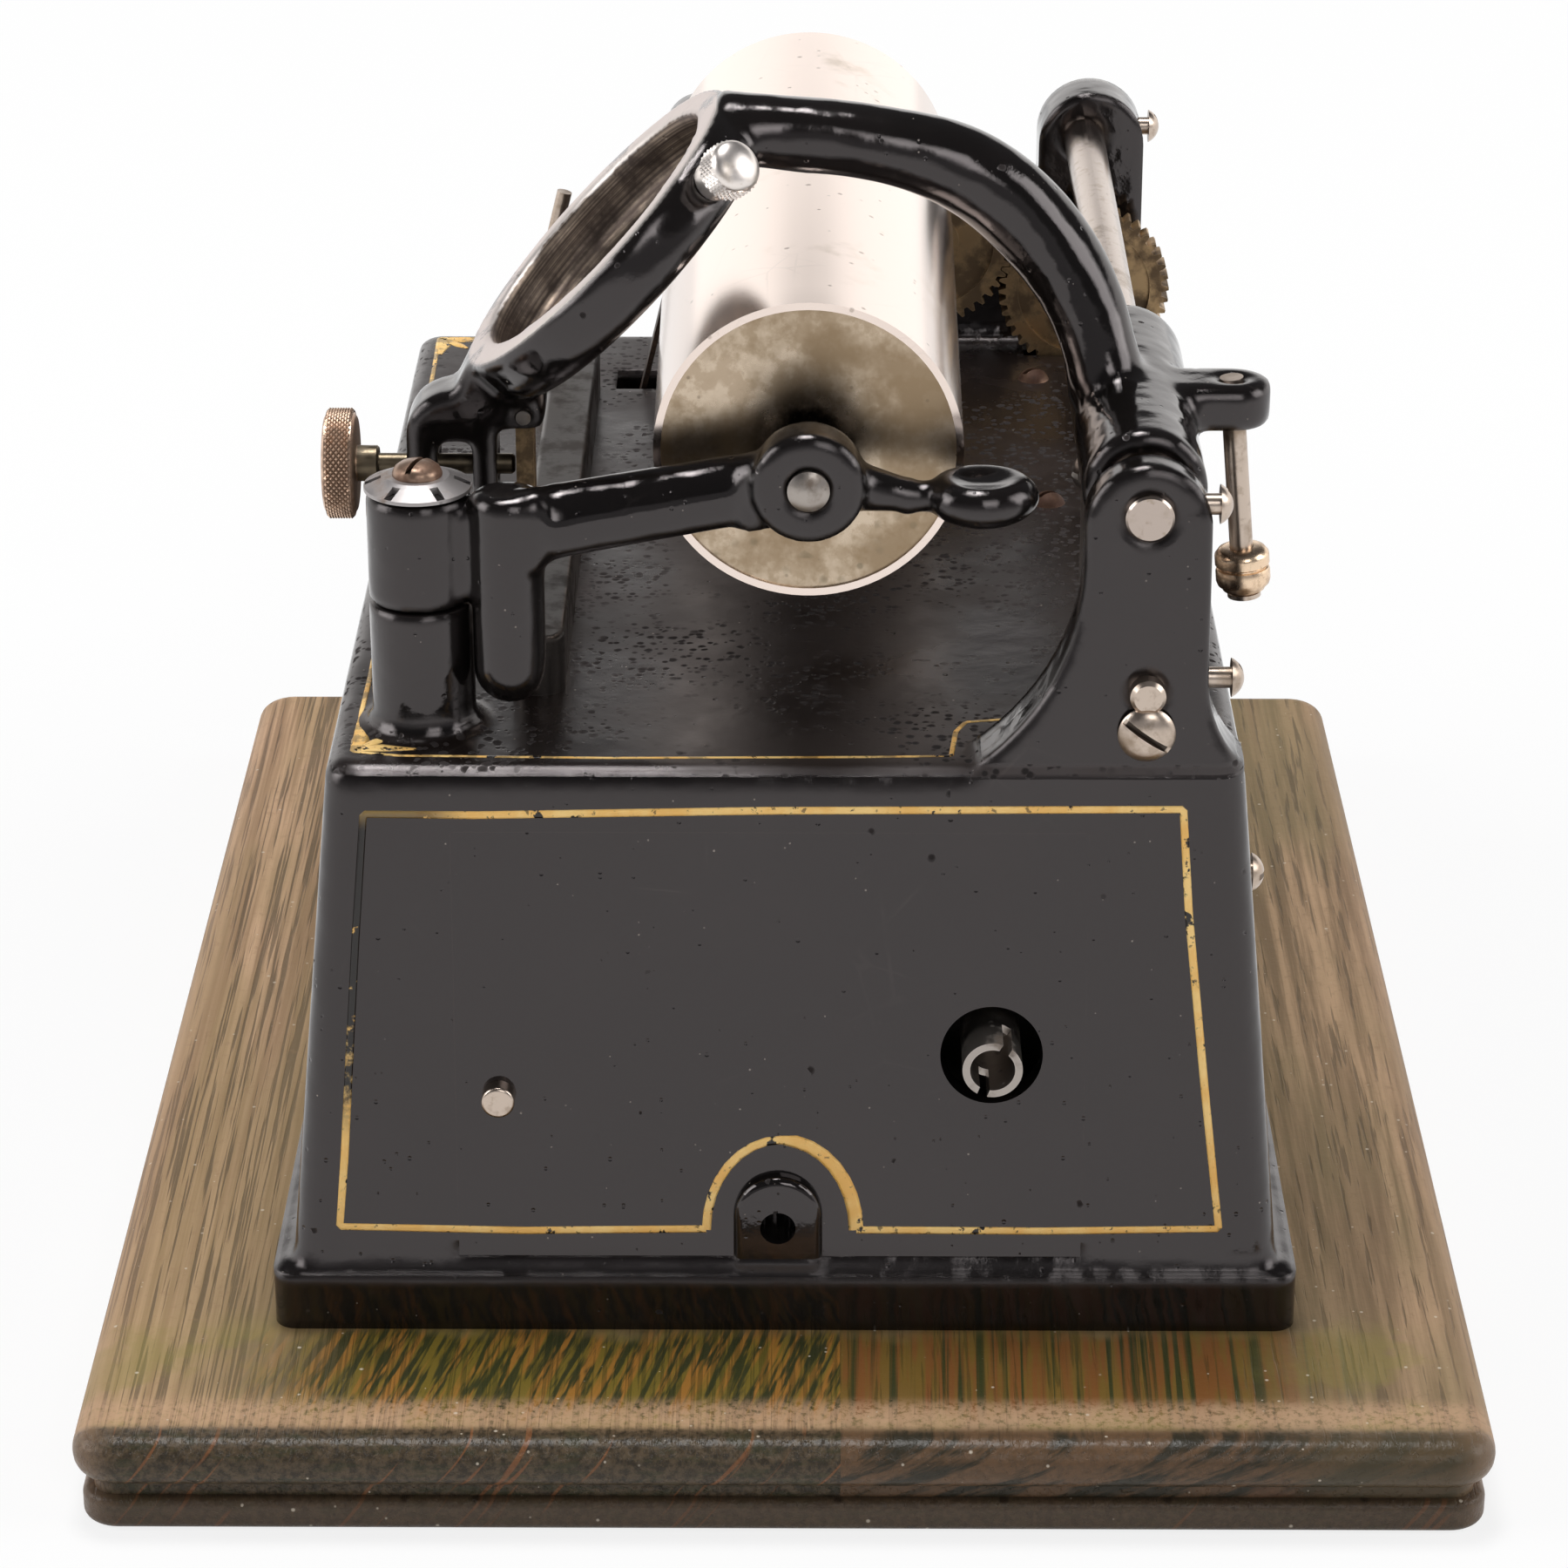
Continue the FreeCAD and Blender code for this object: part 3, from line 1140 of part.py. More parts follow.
def gate_stub():
    stub = rod_z(STUB_R, STUB_LOW_Z + STUB_R, STUB_TOP_Z, STUB_X, STUB_Y)
    stub = stub.makeFillet(STUB_EDGE_R, edges_where(stub, lambda p: abs(p.z - STUB_TOP_Z) < 1e-6))
    return fuse(stub, Part.makeSphere(STUB_R, Vector(STUB_X, STUB_Y, STUB_LOW_Z + STUB_R)))


def gate_spoon():
    """The thumb piece: a flattened round pad with a dished top."""
    ball = Part.makeSphere(SPOON_HALF_Y)
    matrix = FreeCAD.Matrix()
    matrix.scale(SPOON_HALF_X / SPOON_HALF_Y, 1.0, SPOON_HALF_Z / SPOON_HALF_Y)
    pad = ball.transformGeometry(matrix)
    centre_x = BAR_FACE_X - BAR_THICK / 2 + 1
    pad.translate(Vector(centre_x, SPOON_Y, SPOON_Z))
    dish = Part.makeSphere(DISH_R, Vector(centre_x, SPOON_Y, SPOON_Z + SPOON_HALF_Z - DISH_DEPTH + DISH_R))
    return pad.cut(dish)


def end_gate():
    hub = rod_z(POST_R, HUB_LOW_Z, HUB_TOP_Z, POST_X, POST_Y)
    back = BAR_FACE_X - BAR_THICK
    eye = rod_x(EYE_R, GATE_FACE_X - EYE_THICK, GATE_FACE_X, MANDREL_Y, MANDREL_Z)
    eye = eye.makeFillet(EYE_EDGE_R, edges_where(eye, lambda p: abs(p.x - GATE_FACE_X) < 1e-6))
    boss_end = MANDREL_NEAR_X + SHAFT_NUB + EYE_GAP
    boss = rod_x(EYE_BOSS_R, boss_end, back + 1, MANDREL_Y, MANDREL_Z)
    middle_x = BAR_FACE_X - BAR_THICK / 2 + 1
    neck = Part.makeCone(NECK_START_R, NECK_END_R, NECK_END_Y - MANDREL_Y, Vector(middle_x, MANDREL_Y, MANDREL_Z), AY)
    neck.rotate(Vector(middle_x, MANDREL_Y, MANDREL_Z), AX,
                -math.degrees(math.atan2(MANDREL_Z - SPOON_Z, NECK_END_Y - MANDREL_Y)))
    collar = rod_y(NECK_COLLAR_R, NECK_END_Y - NECK_COLLAR, NECK_END_Y, middle_x, SPOON_Z)
    stem = rod_y(NECK_END_R, NECK_END_Y - 0.5, SPOON_Y - SPOON_HALF_Y / 2, middle_x, SPOON_Z)
    solid = fuse(hub, gate_web(), gate_stub(), gate_bar(), eye, boss, neck, collar, stem, gate_spoon())
    hinge_hole = rod_z(HINGE_R + RUN_FIT, HUB_LOW_Z - 1, HUB_TOP_Z + 1, POST_X, POST_Y)
    pin_hole = rod_x(CENTRE_PIN_R, boss_end - 1, GATE_FACE_X + 1, MANDREL_Y, MANDREL_Z)
    return cut(solid, hinge_hole, pin_hole)


def gate_centre_pin():
    """The pin in the eye whose cone point carries the mandrel's near end."""
    start = MANDREL_NEAR_X + SHAFT_NUB + EYE_GAP
    end = GATE_FACE_X + CENTRE_PROUD
    pin = rod_x(CENTRE_PIN_R, start, end, MANDREL_Y, MANDREL_Z)
    point = cone_x(POINT_R, CENTRE_PIN_R, start - CENTRE_POINT, start, MANDREL_Y, MANDREL_Z)
    return fuse(pin, point, dome(CENTRE_PIN_R, CENTRE_DOME, Vector(end, MANDREL_Y, MANDREL_Z), AX))


def hinge_screw():
    base = HUB_TOP_Z + FREE_GAP + WASHER_RISE
    shank = rod_z(HINGE_R, HUB_LOW_Z - HINGE_DEPTH, base + 0.1, POST_X, POST_Y)
    turn = math.radians(HINGE_SLOT_TURN)
    across = Vector(math.cos(turn), math.sin(turn), 0)
    return fuse(shank, slotted_dome(HINGE_HEAD_R, HINGE_HEAD, Vector(POST_X, POST_Y, base), AZ, across))


def notched_washer():
    low = HUB_TOP_Z + FREE_GAP
    cone = Part.makeCone(WASHER_R, WASHER_TOP_R, WASHER_RISE - WASHER_RIM,
                         Vector(POST_X, POST_Y, low + WASHER_RIM), AZ)
    rim = rod_z(WASHER_R, low, low + WASHER_RIM, POST_X, POST_Y)
    washer = fuse(cone, rim).cut(rod_z(HINGE_R, low - 1, low + WASHER_RISE + 1, POST_X, POST_Y))
    notches = []
    for index in range(NOTCHES):
        notch = Part.makeBox(NOTCH_LENGTH, NOTCH_WIDTH, WASHER_RISE + 1,
                             Vector(WASHER_R - NOTCH_LENGTH / 1.3, -NOTCH_WIDTH / 2, low + WASHER_RIM))
        notch.rotate(Vector(0, 0, 0), AZ, (index + 0.5) * 360 / NOTCHES)
        notch.translate(Vector(POST_X, POST_Y, 0))
        notches.append(notch)
    return cut(washer, *notches)


# Carriage

RING_DIR = Vector(0, math.cos(math.radians(RING_TILT)), math.sin(math.radians(RING_TILT)))
RING_AXIS = Vector(0, -math.sin(math.radians(RING_TILT)), math.cos(math.radians(RING_TILT)))
RING_TOP = Vector(ARM_X, RING_Y, RING_Z)


def sleeve():
    solid = rod_x(SLEEVE_R, SLEEVE_FAR_X, SLEEVE_NEAR_X, ROD_Y, ROD_Z)
    return solid.makeFillet(SLEEVE_EDGE_R, edges_where(solid, lambda p: True))


ARM_STATIONS = (
    (-14.0, 166.8, 4.6),
    (-7.5, 167.9, 4.9),
    (-1.5, 167.4, 5.0),
    (8.9, 166.3, 5.2),
    (17.3, 164.6, 5.5),
    (25.3, 161.2, 6.0),
    (30.9, 156.7, 6.1),
    (35.2, 151.8, 6.0),
    (38.4, 146.9, 5.7),
    (40.8, 141.6, 5.4),
    (42.4, 136.0, 5.2),
    (43.4, 130.5, 5.4),
)


def arm_stations():
    """Centre, tangent and radius of the arch, from inside the ring's wall to inside the sleeve."""
    stations = []
    for index, (y, z, radius) in enumerate(ARM_STATIONS):
        before = ARM_STATIONS[max(0, index - 1)]
        after = ARM_STATIONS[min(len(ARM_STATIONS) - 1, index + 1)]
        tangent = Vector(0, after[0] - before[0], after[1] - before[1])
        tangent.normalize()
        stations.append((Vector(ARM_X, y, z), tangent, radius))
    return stations


def oval(centre, tangent, in_plane, cross):
    """An oval wire square to tangent, longer along X."""
    curve = Part.Ellipse(centre + AX * cross, centre + tangent.cross(AX) * in_plane, centre)
    return Part.Wire([curve.toShape()])


def arch_arm():
    sections = [oval(centre, tangent, radius, radius + ARM_CROSS_MORE) for centre, tangent, radius in arm_stations()]
    return Part.makeLoft(sections, True, False)


def ring_blank():
    solid = Part.makeCylinder(RING_R, RING_THICK, RING_TOP - RING_AXIS * RING_THICK, RING_AXIS)
    top = [e for e in solid.Edges if e.Closed and abs((e.CenterOfMass - RING_TOP).Length) < 1e-3]
    low_centre = RING_TOP - RING_AXIS * RING_THICK
    solid = solid.makeFillet(RING_TOP_EDGE_R, top)
    low = [e for e in solid.Edges if e.Closed and abs((e.CenterOfMass - low_centre).Length) < 1e-3]
    return solid.makeFillet(RING_LOW_EDGE_R, low)


def ring_bores():
    """The seat that holds the reproducer, and the smaller opening through its ledge."""
    seat = Part.makeCylinder(RING_BORE_R, RING_THICK - RING_LEDGE + 30,
                             RING_TOP - RING_AXIS * (RING_THICK - RING_LEDGE), RING_AXIS)
    through = Part.makeCylinder(RING_LEDGE_R, RING_THICK + 40, RING_TOP - RING_AXIS * (RING_THICK + 8), RING_AXIS)
    above = Part.makeCylinder(RING_R, 2 * ARM_STATIONS[0][2], RING_TOP, RING_AXIS)
    return [seat, through, above]


def fork():
    """The block in front of the ring, with two legs and a rear lobe."""
    x0 = FORK_X - FORK_WIDTH / 2
    gap_y = FORK_FRONT_Y + LEG_FRONT
    rear_leg_y = gap_y + LEG_GAP
    notch_y = rear_leg_y + LEG_REAR

    def at(y, z):
        return Vector(x0, y, z)

    ring_low = RING_TOP - RING_DIR * (RING_R - 2.0)
    brow_z = FORK_TOP_Z - FORK_BROW_DROP
    edges = [
        line(at(FORK_FRONT_Y, LEG_FRONT_LOW_Z), at(FORK_FRONT_Y, brow_z)),
        arc(at(FORK_FRONT_Y, brow_z), at(FORK_FRONT_Y + 0.29 * FORK_BROW, FORK_TOP_Z - 0.31 * FORK_BROW_DROP),
            at(FORK_FRONT_Y + FORK_BROW, FORK_TOP_Z)),
        line(at(FORK_FRONT_Y + FORK_BROW, FORK_TOP_Z), at(ring_low.y, ring_low.z + 1.0)),
        line(at(ring_low.y, ring_low.z + 1.0), at(LOBE_REAR_Y, FORK_TOP_Z)),
        line(at(LOBE_REAR_Y, FORK_TOP_Z), at(LOBE_REAR_Y, FORK_UNDER_Z)),
        line(at(LOBE_REAR_Y, FORK_UNDER_Z), at(notch_y, FORK_UNDER_Z)),
        line(at(notch_y, FORK_UNDER_Z), at(notch_y, LEG_REAR_LOW_Z)),
        line(at(notch_y, LEG_REAR_LOW_Z), at(rear_leg_y, LEG_REAR_LOW_Z)),
        line(at(rear_leg_y, LEG_REAR_LOW_Z), at(rear_leg_y, LEG_SLOT_TOP_Z)),
        line(at(rear_leg_y, LEG_SLOT_TOP_Z), at(gap_y, LEG_SLOT_TOP_Z)),
        line(at(gap_y, LEG_SLOT_TOP_Z), at(gap_y, LEG_FRONT_LOW_Z)),
        line(at(gap_y, LEG_FRONT_LOW_Z), at(FORK_FRONT_Y, LEG_FRONT_LOW_Z)),
    ]
    block = prism(edges, Vector(FORK_WIDTH, 0, 0))
    return block.makeFillet(LOBE_EDGE_R, edges_where(block, lambda p: abs(p.y - LOBE_REAR_Y) < 1e-6))


def finger_slot():
    """The slot in the lobe that the finger hangs in."""
    side = FINGER_WIDTH / 2 + FREE_GAP
    middle = FINGER_FRONT_Y + FINGER_THICK / 2
    reach = FINGER_THICK / 2 + FINGER_SLOT_GAP
    return box(FORK_X - side, FORK_X + side, middle - reach, middle + reach, FORK_UNDER_Z - 1,
               FINGER_PIN_Z + FINGER_TOP + FINGER_SLOT_GAP)


def lug():
    x0 = ARM_X - LUG_HALF_X
    x1 = ARM_X + LUG_HALF_X
    z0 = LUG_TOP_Z - LUG_THICK
    bar = box(x0, x1, ROD_Y, LUG_END_Y - LUG_HALF_X, z0, LUG_TOP_Z)
    end = rod_z(LUG_HALF_X, z0, LUG_TOP_Z, ARM_X, LUG_END_Y - LUG_HALF_X)
    solid = fuse(bar, end)
    rim = [e for e in solid.Edges if min(v.Point.y for v in e.Vertexes) > ROD_Y + 1 or
           (abs(e.CenterOfMass.x - x0) < 1e-3 or abs(e.CenterOfMass.x - x1) < 1e-3)]
    rim = [e for e in rim if abs(e.Vertexes[0].Point.z - e.Vertexes[-1].Point.z) < 1e-6
           and max(v.Point.y for v in e.Vertexes) > ROD_Y + 1]
    return solid.makeFillet(LUG_EDGE_R, rim)


def lug_pin_frame():
    lean = math.radians(LUG_PIN_LEAN)
    down = Vector(0, math.sin(lean), -math.cos(lean))
    return Vector(ARM_X, LUG_PIN_Y, LUG_TOP_Z), down


def nut_pad():
    """The flat at the front of the sleeve that the feed-nut spring is screwed to."""
    return box(NUT_STRIP_X, NUT_STRIP_X + NUT_STRIP_WIDTH, NUT_STRIP_Y + NUT_STRIP_THICK, ROD_Y - NUT_PAD_BACK,
               NUT_PAD_LOW_Z, ROD_Z)


def clamp_frame():
    """The clamp screw's place on the ring's outer wall and its outward direction."""
    angle = math.radians(CLAMP_ANGLE)
    out = AX * math.cos(angle) + RING_DIR * math.sin(angle)
    return RING_TOP - RING_AXIS * CLAMP_DEPTH, out


def adjust_ends():
    tip = FINGER_FRONT_Y - FREE_GAP
    shoulder = FORK_FRONT_Y - ADJUST_OUT
    return tip, shoulder


def carriage_arm():
    solid = fuse(sleeve(), arch_arm(), ring_blank(), fork(), lug(), nut_pad())
    pin_start, pin_down = lug_pin_frame()
    middle, out = clamp_frame()
    tip, shoulder = adjust_ends()
    screw_start = Vector(NUT_STRIP_X + NUT_STRIP_WIDTH / 2, NUT_STRIP_Y - 1, NUT_SCREW_Z)
    pin_y = FINGER_FRONT_Y + FINGER_THICK / 2
    removed = ring_bores() + [
        rod_x(BUSH_R + RUN_FIT, SLEEVE_FAR_X - 1, SLEEVE_NEAR_X + 1, ROD_Y, ROD_Z),
        Part.makeCylinder(LUG_PIN_R, LUG_THICK + 4, pin_start - pin_down * 2, pin_down),
        Part.makeCylinder(CLAMP_SCREW_R + RUN_FIT, RING_R, middle, out),
        rod_y(ADJUST_R + RUN_FIT, FORK_FRONT_Y - 1, tip + 1, FORK_X, ADJUST_Z),
        finger_slot(),
        rod_x(FINGER_PIN_R, FORK_X - FORK_WIDTH, FORK_X + FORK_WIDTH, pin_y, FINGER_PIN_Z),
        Part.makeCylinder(SET_SCREW_NECK_R, NUT_SCREW_DEPTH + 1.5, screw_start, AY),
    ]
    return cut(solid, *removed)


def carriage_bushes():
    """The two brass bushes that slide on the rod and that the sleeve turns on."""
    bushes = []
    for x0 in (SLEEVE_FAR_X, SLEEVE_NEAR_X - BUSH_LENGTH):
        ring = rod_x(BUSH_R, x0, x0 + BUSH_LENGTH, ROD_Y, ROD_Z)
        bushes.append(ring.cut(rod_x(ROD_R + RUN_FIT, x0 - 1, x0 + BUSH_LENGTH + 1, ROD_Y, ROD_Z)))
    return Part.makeCompound(bushes)


def lug_pin():
    start, down = lug_pin_frame()
    pin = Part.makeCylinder(LUG_PIN_R, LUG_PIN_LENGTH, start, down)
    head = Part.makeCylinder(PIN_HEAD_R, PIN_HEAD, start + down * LUG_PIN_LENGTH, down)
    return fuse(pin, head)


def guide_roller():
    """The grooved roller on the lug pin, waisted by a shallow groove."""
    start, down = lug_pin_frame()
    top = start + down * ROLLER_DROP
    flange = ROLLER_FLANGE
    slope = ROLLER_SLOPE
    waist = ROLLER_HEIGHT - 2 * flange - 2 * slope
    pieces = [Part.makeCylinder(ROLLER_R, flange, top, down),
              Part.makeCone(ROLLER_R, ROLLER_WAIST_R, slope, top + down * flange, down),
              Part.makeCylinder(ROLLER_WAIST_R, waist, top + down * (flange + slope), down),
              Part.makeCone(ROLLER_WAIST_R, ROLLER_R, slope, top + down * (flange + slope + waist), down),
              Part.makeCylinder(ROLLER_R, flange, top + down * (ROLLER_HEIGHT - flange), down)]
    roller = fuse(*pieces)
    return roller.cut(Part.makeCylinder(LUG_PIN_R + RUN_FIT, ROLLER_HEIGHT + 2, top - down, down))


def knurled(radius, height, base, direction):
    """A round head with grooves along its side, standing on base."""
    outline = []
    for index in range(2 * KNURLS):
        r = radius if index % 2 == 0 else radius - KNURL_DEPTH
        angle = math.pi * index / KNURLS
        outline.append(Vector(r * math.cos(angle), r * math.sin(angle), 0))
    head = Part.Face(Part.makePolygon(outline + outline[:1])).extrude(Vector(0, 0, height))
    head.Placement = FreeCAD.Placement(base, FreeCAD.Rotation(AZ, direction))
    return head


def clamp_screw():
    """The thumb screw that holds the reproducer in its ring."""
    middle, out = clamp_frame()
    seat = middle + out * (RING_R + CLAMP_GAP)
    shank_start = RING_BORE_R + FREE_GAP
    shank = Part.makeCylinder(CLAMP_SCREW_R, RING_R + CLAMP_GAP + 0.1 - shank_start, middle + out * shank_start, out)
    neck = Part.makeCylinder(CLAMP_NECK_R, CLAMP_NECK, seat, out)
    base = seat + out * CLAMP_NECK
    head = knurled(CLAMP_HEAD_R, CLAMP_HEAD, base, out)
    cap = dome(CLAMP_HEAD_R - KNURL_DEPTH, CLAMP_DOME, base + out * CLAMP_HEAD, out)
    return fuse(shank, neck, head, cap)


def adjusting_screw():
    tip, shoulder = adjust_ends()
    shank = rod_y(ADJUST_R, shoulder - 0.1, tip, FORK_X, ADJUST_Z)
    collar = rod_y(ADJUST_COLLAR_R, shoulder - ADJUST_COLLAR, shoulder, FORK_X, ADJUST_Z)
    base = Vector(FORK_X, shoulder - ADJUST_COLLAR, ADJUST_Z)
    knob = knurled(ADJUST_KNOB_R, ADJUST_KNOB, base, Vector(0, -1, 0))
    return fuse(shank, collar, knob)


def rider_finger():
    """The brass finger that hangs in the lobe and rides on the straight edge."""
    y0 = FINGER_FRONT_Y
    y1 = y0 + FINGER_THICK
    low = PLATE_Z + EDGE_HEIGHT + FREE_GAP
    x0 = FORK_X - FINGER_WIDTH / 2
    bar = box(x0, x0 + FINGER_WIDTH, y0, y1, low, FINGER_PIN_Z + FINGER_TOP)
    toe = [e for e in bar.Edges if abs(e.CenterOfMass.z - low) < 1e-6
           and abs(e.Vertexes[0].Point.x - e.Vertexes[1].Point.x) > 1]
    bar = bar.makeFillet(FINGER_EDGE_R, toe)
    return bar.cut(rod_x(FINGER_PIN_R + RUN_FIT, x0 - 1, x0 + FINGER_WIDTH + 1, (y0 + y1) / 2, FINGER_PIN_Z))


def finger_pin():
    half = FORK_WIDTH / 2
    return rod_x(FINGER_PIN_R, FORK_X - half, FORK_X + half, FINGER_FRONT_Y + FINGER_THICK / 2, FINGER_PIN_Z)


def nut_spring():
    """The spring strip that holds the half nut against the feed screw."""
    y1 = NUT_STRIP_Y + NUT_STRIP_THICK
    strip = box(NUT_STRIP_X, NUT_STRIP_X + NUT_STRIP_WIDTH, NUT_STRIP_Y, y1, FEED_Z - NUT_HALF_HEIGHT,
                NUT_STRIP_TOP_Z)
    middle = NUT_STRIP_X + NUT_STRIP_WIDTH / 2
    return strip.cut(rod_y(SET_SCREW_NECK_R, NUT_STRIP_Y - 1, y1 + 1, middle, NUT_SCREW_Z))


def nut_screw():
    middle = NUT_STRIP_X + NUT_STRIP_WIDTH / 2
    back = Vector(0, -1, 0)
    head = slotted_dome(SET_SCREW_HEAD_R, DOME_HEIGHT, Vector(middle, NUT_STRIP_Y, NUT_SCREW_Z), back, AX)
    shank = rod_y(SET_SCREW_NECK_R, NUT_STRIP_Y - 0.1, NUT_STRIP_Y + NUT_SCREW_DEPTH, middle, NUT_SCREW_Z)
    return fuse(head, shank)


def half_nut():
    y0 = NUT_STRIP_Y + NUT_STRIP_THICK
    block = box(NUT_STRIP_X, NUT_STRIP_X + NUT_STRIP_WIDTH, y0, y0 + NUT_REACH, FEED_Z - NUT_HALF_HEIGHT,
                FEED_Z + NUT_HALF_HEIGHT)
    return block.cut(rod_x(FEED_R + 2 * RUN_FIT, NUT_STRIP_X - 1, NUT_STRIP_X + NUT_STRIP_WIDTH + 1, FEED_Y, FEED_Z))


# Plate fittings

def straight_edge():
    radius = (EDGE_REAR_Y - EDGE_FRONT_Y) / 2 - 0.01
    wire = rounded_rectangle(EDGE_FAR_X, EDGE_NEAR_X, EDGE_FRONT_Y, EDGE_REAR_Y, radius, PLATE_Z)
    bar = Part.Face(wire).extrude(Vector(0, 0, EDGE_HEIGHT))
    bar = bar.makeFillet(EDGE_ROUND, edges_where(bar, lambda p: abs(p.z - PLATE_Z - EDGE_HEIGHT) < 1e-6))
    middle = (EDGE_FRONT_Y + EDGE_REAR_Y) / 2
    depth = EDGE_SCREW_DEPTH + 0.5
    for x in (EDGE_SCREW_FAR_X, EDGE_SCREW_NEAR_X):
        bar = bar.cut(rod_z(PLATE_SCREW_R, PLATE_Z - 1, PLATE_Z + depth, x, middle))
    screw_r = PLATE_SCREW_HEAD_R + FREE_GAP
    relief_top = PLATE_Z + DOME_HEIGHT + FREE_GAP
    return bar.cut(rod_z(screw_r, PLATE_Z - 1, relief_top, PLATE_SCREW_NEAR_X, -PLATE_SCREW_Y))


def edge_screws():
    middle = (EDGE_FRONT_Y + EDGE_REAR_Y) / 2
    screws = []
    for x in (EDGE_SCREW_FAR_X, EDGE_SCREW_NEAR_X):
        head = slotted_dome(PLATE_SCREW_HEAD_R, DOME_HEIGHT, Vector(x, middle, PLATE_UNDER), Vector(0, 0, -1), AX)
        screws.append(fuse(head, rod_z(PLATE_SCREW_R, PLATE_UNDER - 0.1, PLATE_Z + EDGE_SCREW_DEPTH, x, middle)))
    return screws


def plate_screws():
    """Round-head screws into the motor's ears from above and into the straight edge from below."""
    screws = []
    for x in (PLATE_SCREW_FAR_X, PLATE_SCREW_NEAR_X):
        for y in (-PLATE_SCREW_Y, PLATE_SCREW_Y):
            turn = math.radians(40 + 2 * y)
            across = Vector(math.cos(turn), math.sin(turn), 0)
            head = slotted_dome(PLATE_SCREW_HEAD_R, DOME_HEIGHT, Vector(x, y, PLATE_Z), AZ, across)
            shank = rod_z(PLATE_SCREW_R, PLATE_UNDER - EAR_THICK - EAR_SCREW_MORE, PLATE_Z + 0.1, x, y)
            screws.append(fuse(head, shank))
    return Part.makeCompound(screws + edge_screws())


def stop_lever():
    """The bent wire lever that brakes the motor, with the eye it rocks on."""
    path = [Vector(LEVER_X, LEVER_TIP_Y, LEVER_TIP_Z), Vector(LEVER_X, LEVER_Y, LEVER_BEND_Z),
            Vector(LEVER_X, LEVER_Y, LEVER_PIVOT_Z), Vector(LEVER_X, LEVER_FOOT_Y, LEVER_KNEE_Z),
            Vector(LEVER_X, LEVER_FOOT_Y, LEVER_LOW_Z)]
    wire = bent_rod(path, LEVER_R, LEVER_BEND_R)
    eye = rod_x(LEVER_EYE_R, LEVER_X - LEVER_EYE_HALF, LEVER_X + LEVER_EYE_HALF, LEVER_Y, LEVER_PIVOT_Z)
    hole = rod_x(LEVER_PIN_R + RUN_FIT, LEVER_X - LEVER_EYE_HALF - 1, LEVER_X + LEVER_EYE_HALF + 1, LEVER_Y,
                 LEVER_PIVOT_Z)
    return fuse(wire, eye).cut(hole)


def brake_pad():
    """An arm clamped on the lever's foot, with a pad that faces the drive pulley's rim."""
    low = LEVER_LOW_Z + 1.0
    high = low + PAD_ARM_HEIGHT
    half = PAD_ARM_THICK / 2
    arm = box(LEVER_X, BELT_X + PULLEY_WIDTH / 2, LEVER_FOOT_Y - half, LEVER_FOOT_Y + half, low, high)
    clamp = rod_z(PAD_CLAMP_R, low, high, LEVER_X, LEVER_FOOT_Y)
    pad = rod_y(PAD_R, LEVER_FOOT_Y + half - 0.1, LEVER_FOOT_Y + half + PAD_THICK, BELT_X, (low + high) / 2)
    return fuse(arm, clamp, pad).cut(rod_z(LEVER_R, low - 1, high + 1, LEVER_X, LEVER_FOOT_Y))


def lever_bracket():
    """The bracket under the plate that carries the lever's pivot pin."""
    x0 = LEVER_X - BRACKET_HALF_X
    x1 = LEVER_X + BRACKET_HALF_X
    y0 = LEVER_Y - BRACKET_HALF_Y
    y1 = LEVER_Y + BRACKET_HALF_Y
    low = LEVER_PIVOT_Z - BRACKET_DROP
    far_side = box(x0, x0 + BRACKET_THICK, y0, y1, low, PLATE_UNDER)
    near_side = box(x1 - BRACKET_THICK, x1, y0, y1, low, PLATE_UNDER)
    pin = rod_x(LEVER_PIN_R, x0 + BRACKET_THICK / 4, x1 - BRACKET_THICK / 4, LEVER_Y, LEVER_PIVOT_Z)
    return fuse(far_side, near_side, pin)


# Belt

def tangent_points(side):
    """Where one run of the belt leaves the two pulleys; side is +1 (rear) or -1 (front)."""
    dy = DRIVE_Y - MANDREL_Y
    dz = DRIVE_Z - MANDREL_Z
    gap = math.hypot(dy, dz)
    heading = math.atan2(dz, dy)
    swing = math.acos((BELT_R - DRIVE_BELT_R) / gap)
    return heading + side * swing


def belt():
    """A flat belt of one closed loop round both pulleys."""
    def loop(offset, x):
        top_r = BELT_R + offset
        low_r = DRIVE_BELT_R + offset
        angles = [tangent_points(1), tangent_points(-1)]

        def at(centre, radius, angle):
            return Vector(x, centre[0] + radius * math.cos(angle), centre[1] + radius * math.sin(angle))

        heading = math.atan2(DRIVE_Z - MANDREL_Z, DRIVE_Y - MANDREL_Y)
        top_a = at(MANDREL_AT, top_r, angles[0])
        top_b = at(MANDREL_AT, top_r, angles[1])
        low_a = at(DRIVE_AT, low_r, angles[0])
        low_b = at(DRIVE_AT, low_r, angles[1])
        return Part.Wire([line(low_a, top_a), arc(top_a, at(MANDREL_AT, top_r, heading + math.pi), top_b),
                          line(top_b, low_b), arc(low_b, at(DRIVE_AT, low_r, heading), low_a)])
    x = BELT_X - BELT_WIDTH / 2
    outer = Part.Face(loop(BELT_THICK / 2, x)).extrude(Vector(BELT_WIDTH, 0, 0))
    inner = Part.Face(loop(-BELT_THICK / 2, x)).extrude(Vector(BELT_WIDTH, 0, 0))
    return outer.cut(inner)


# Motor

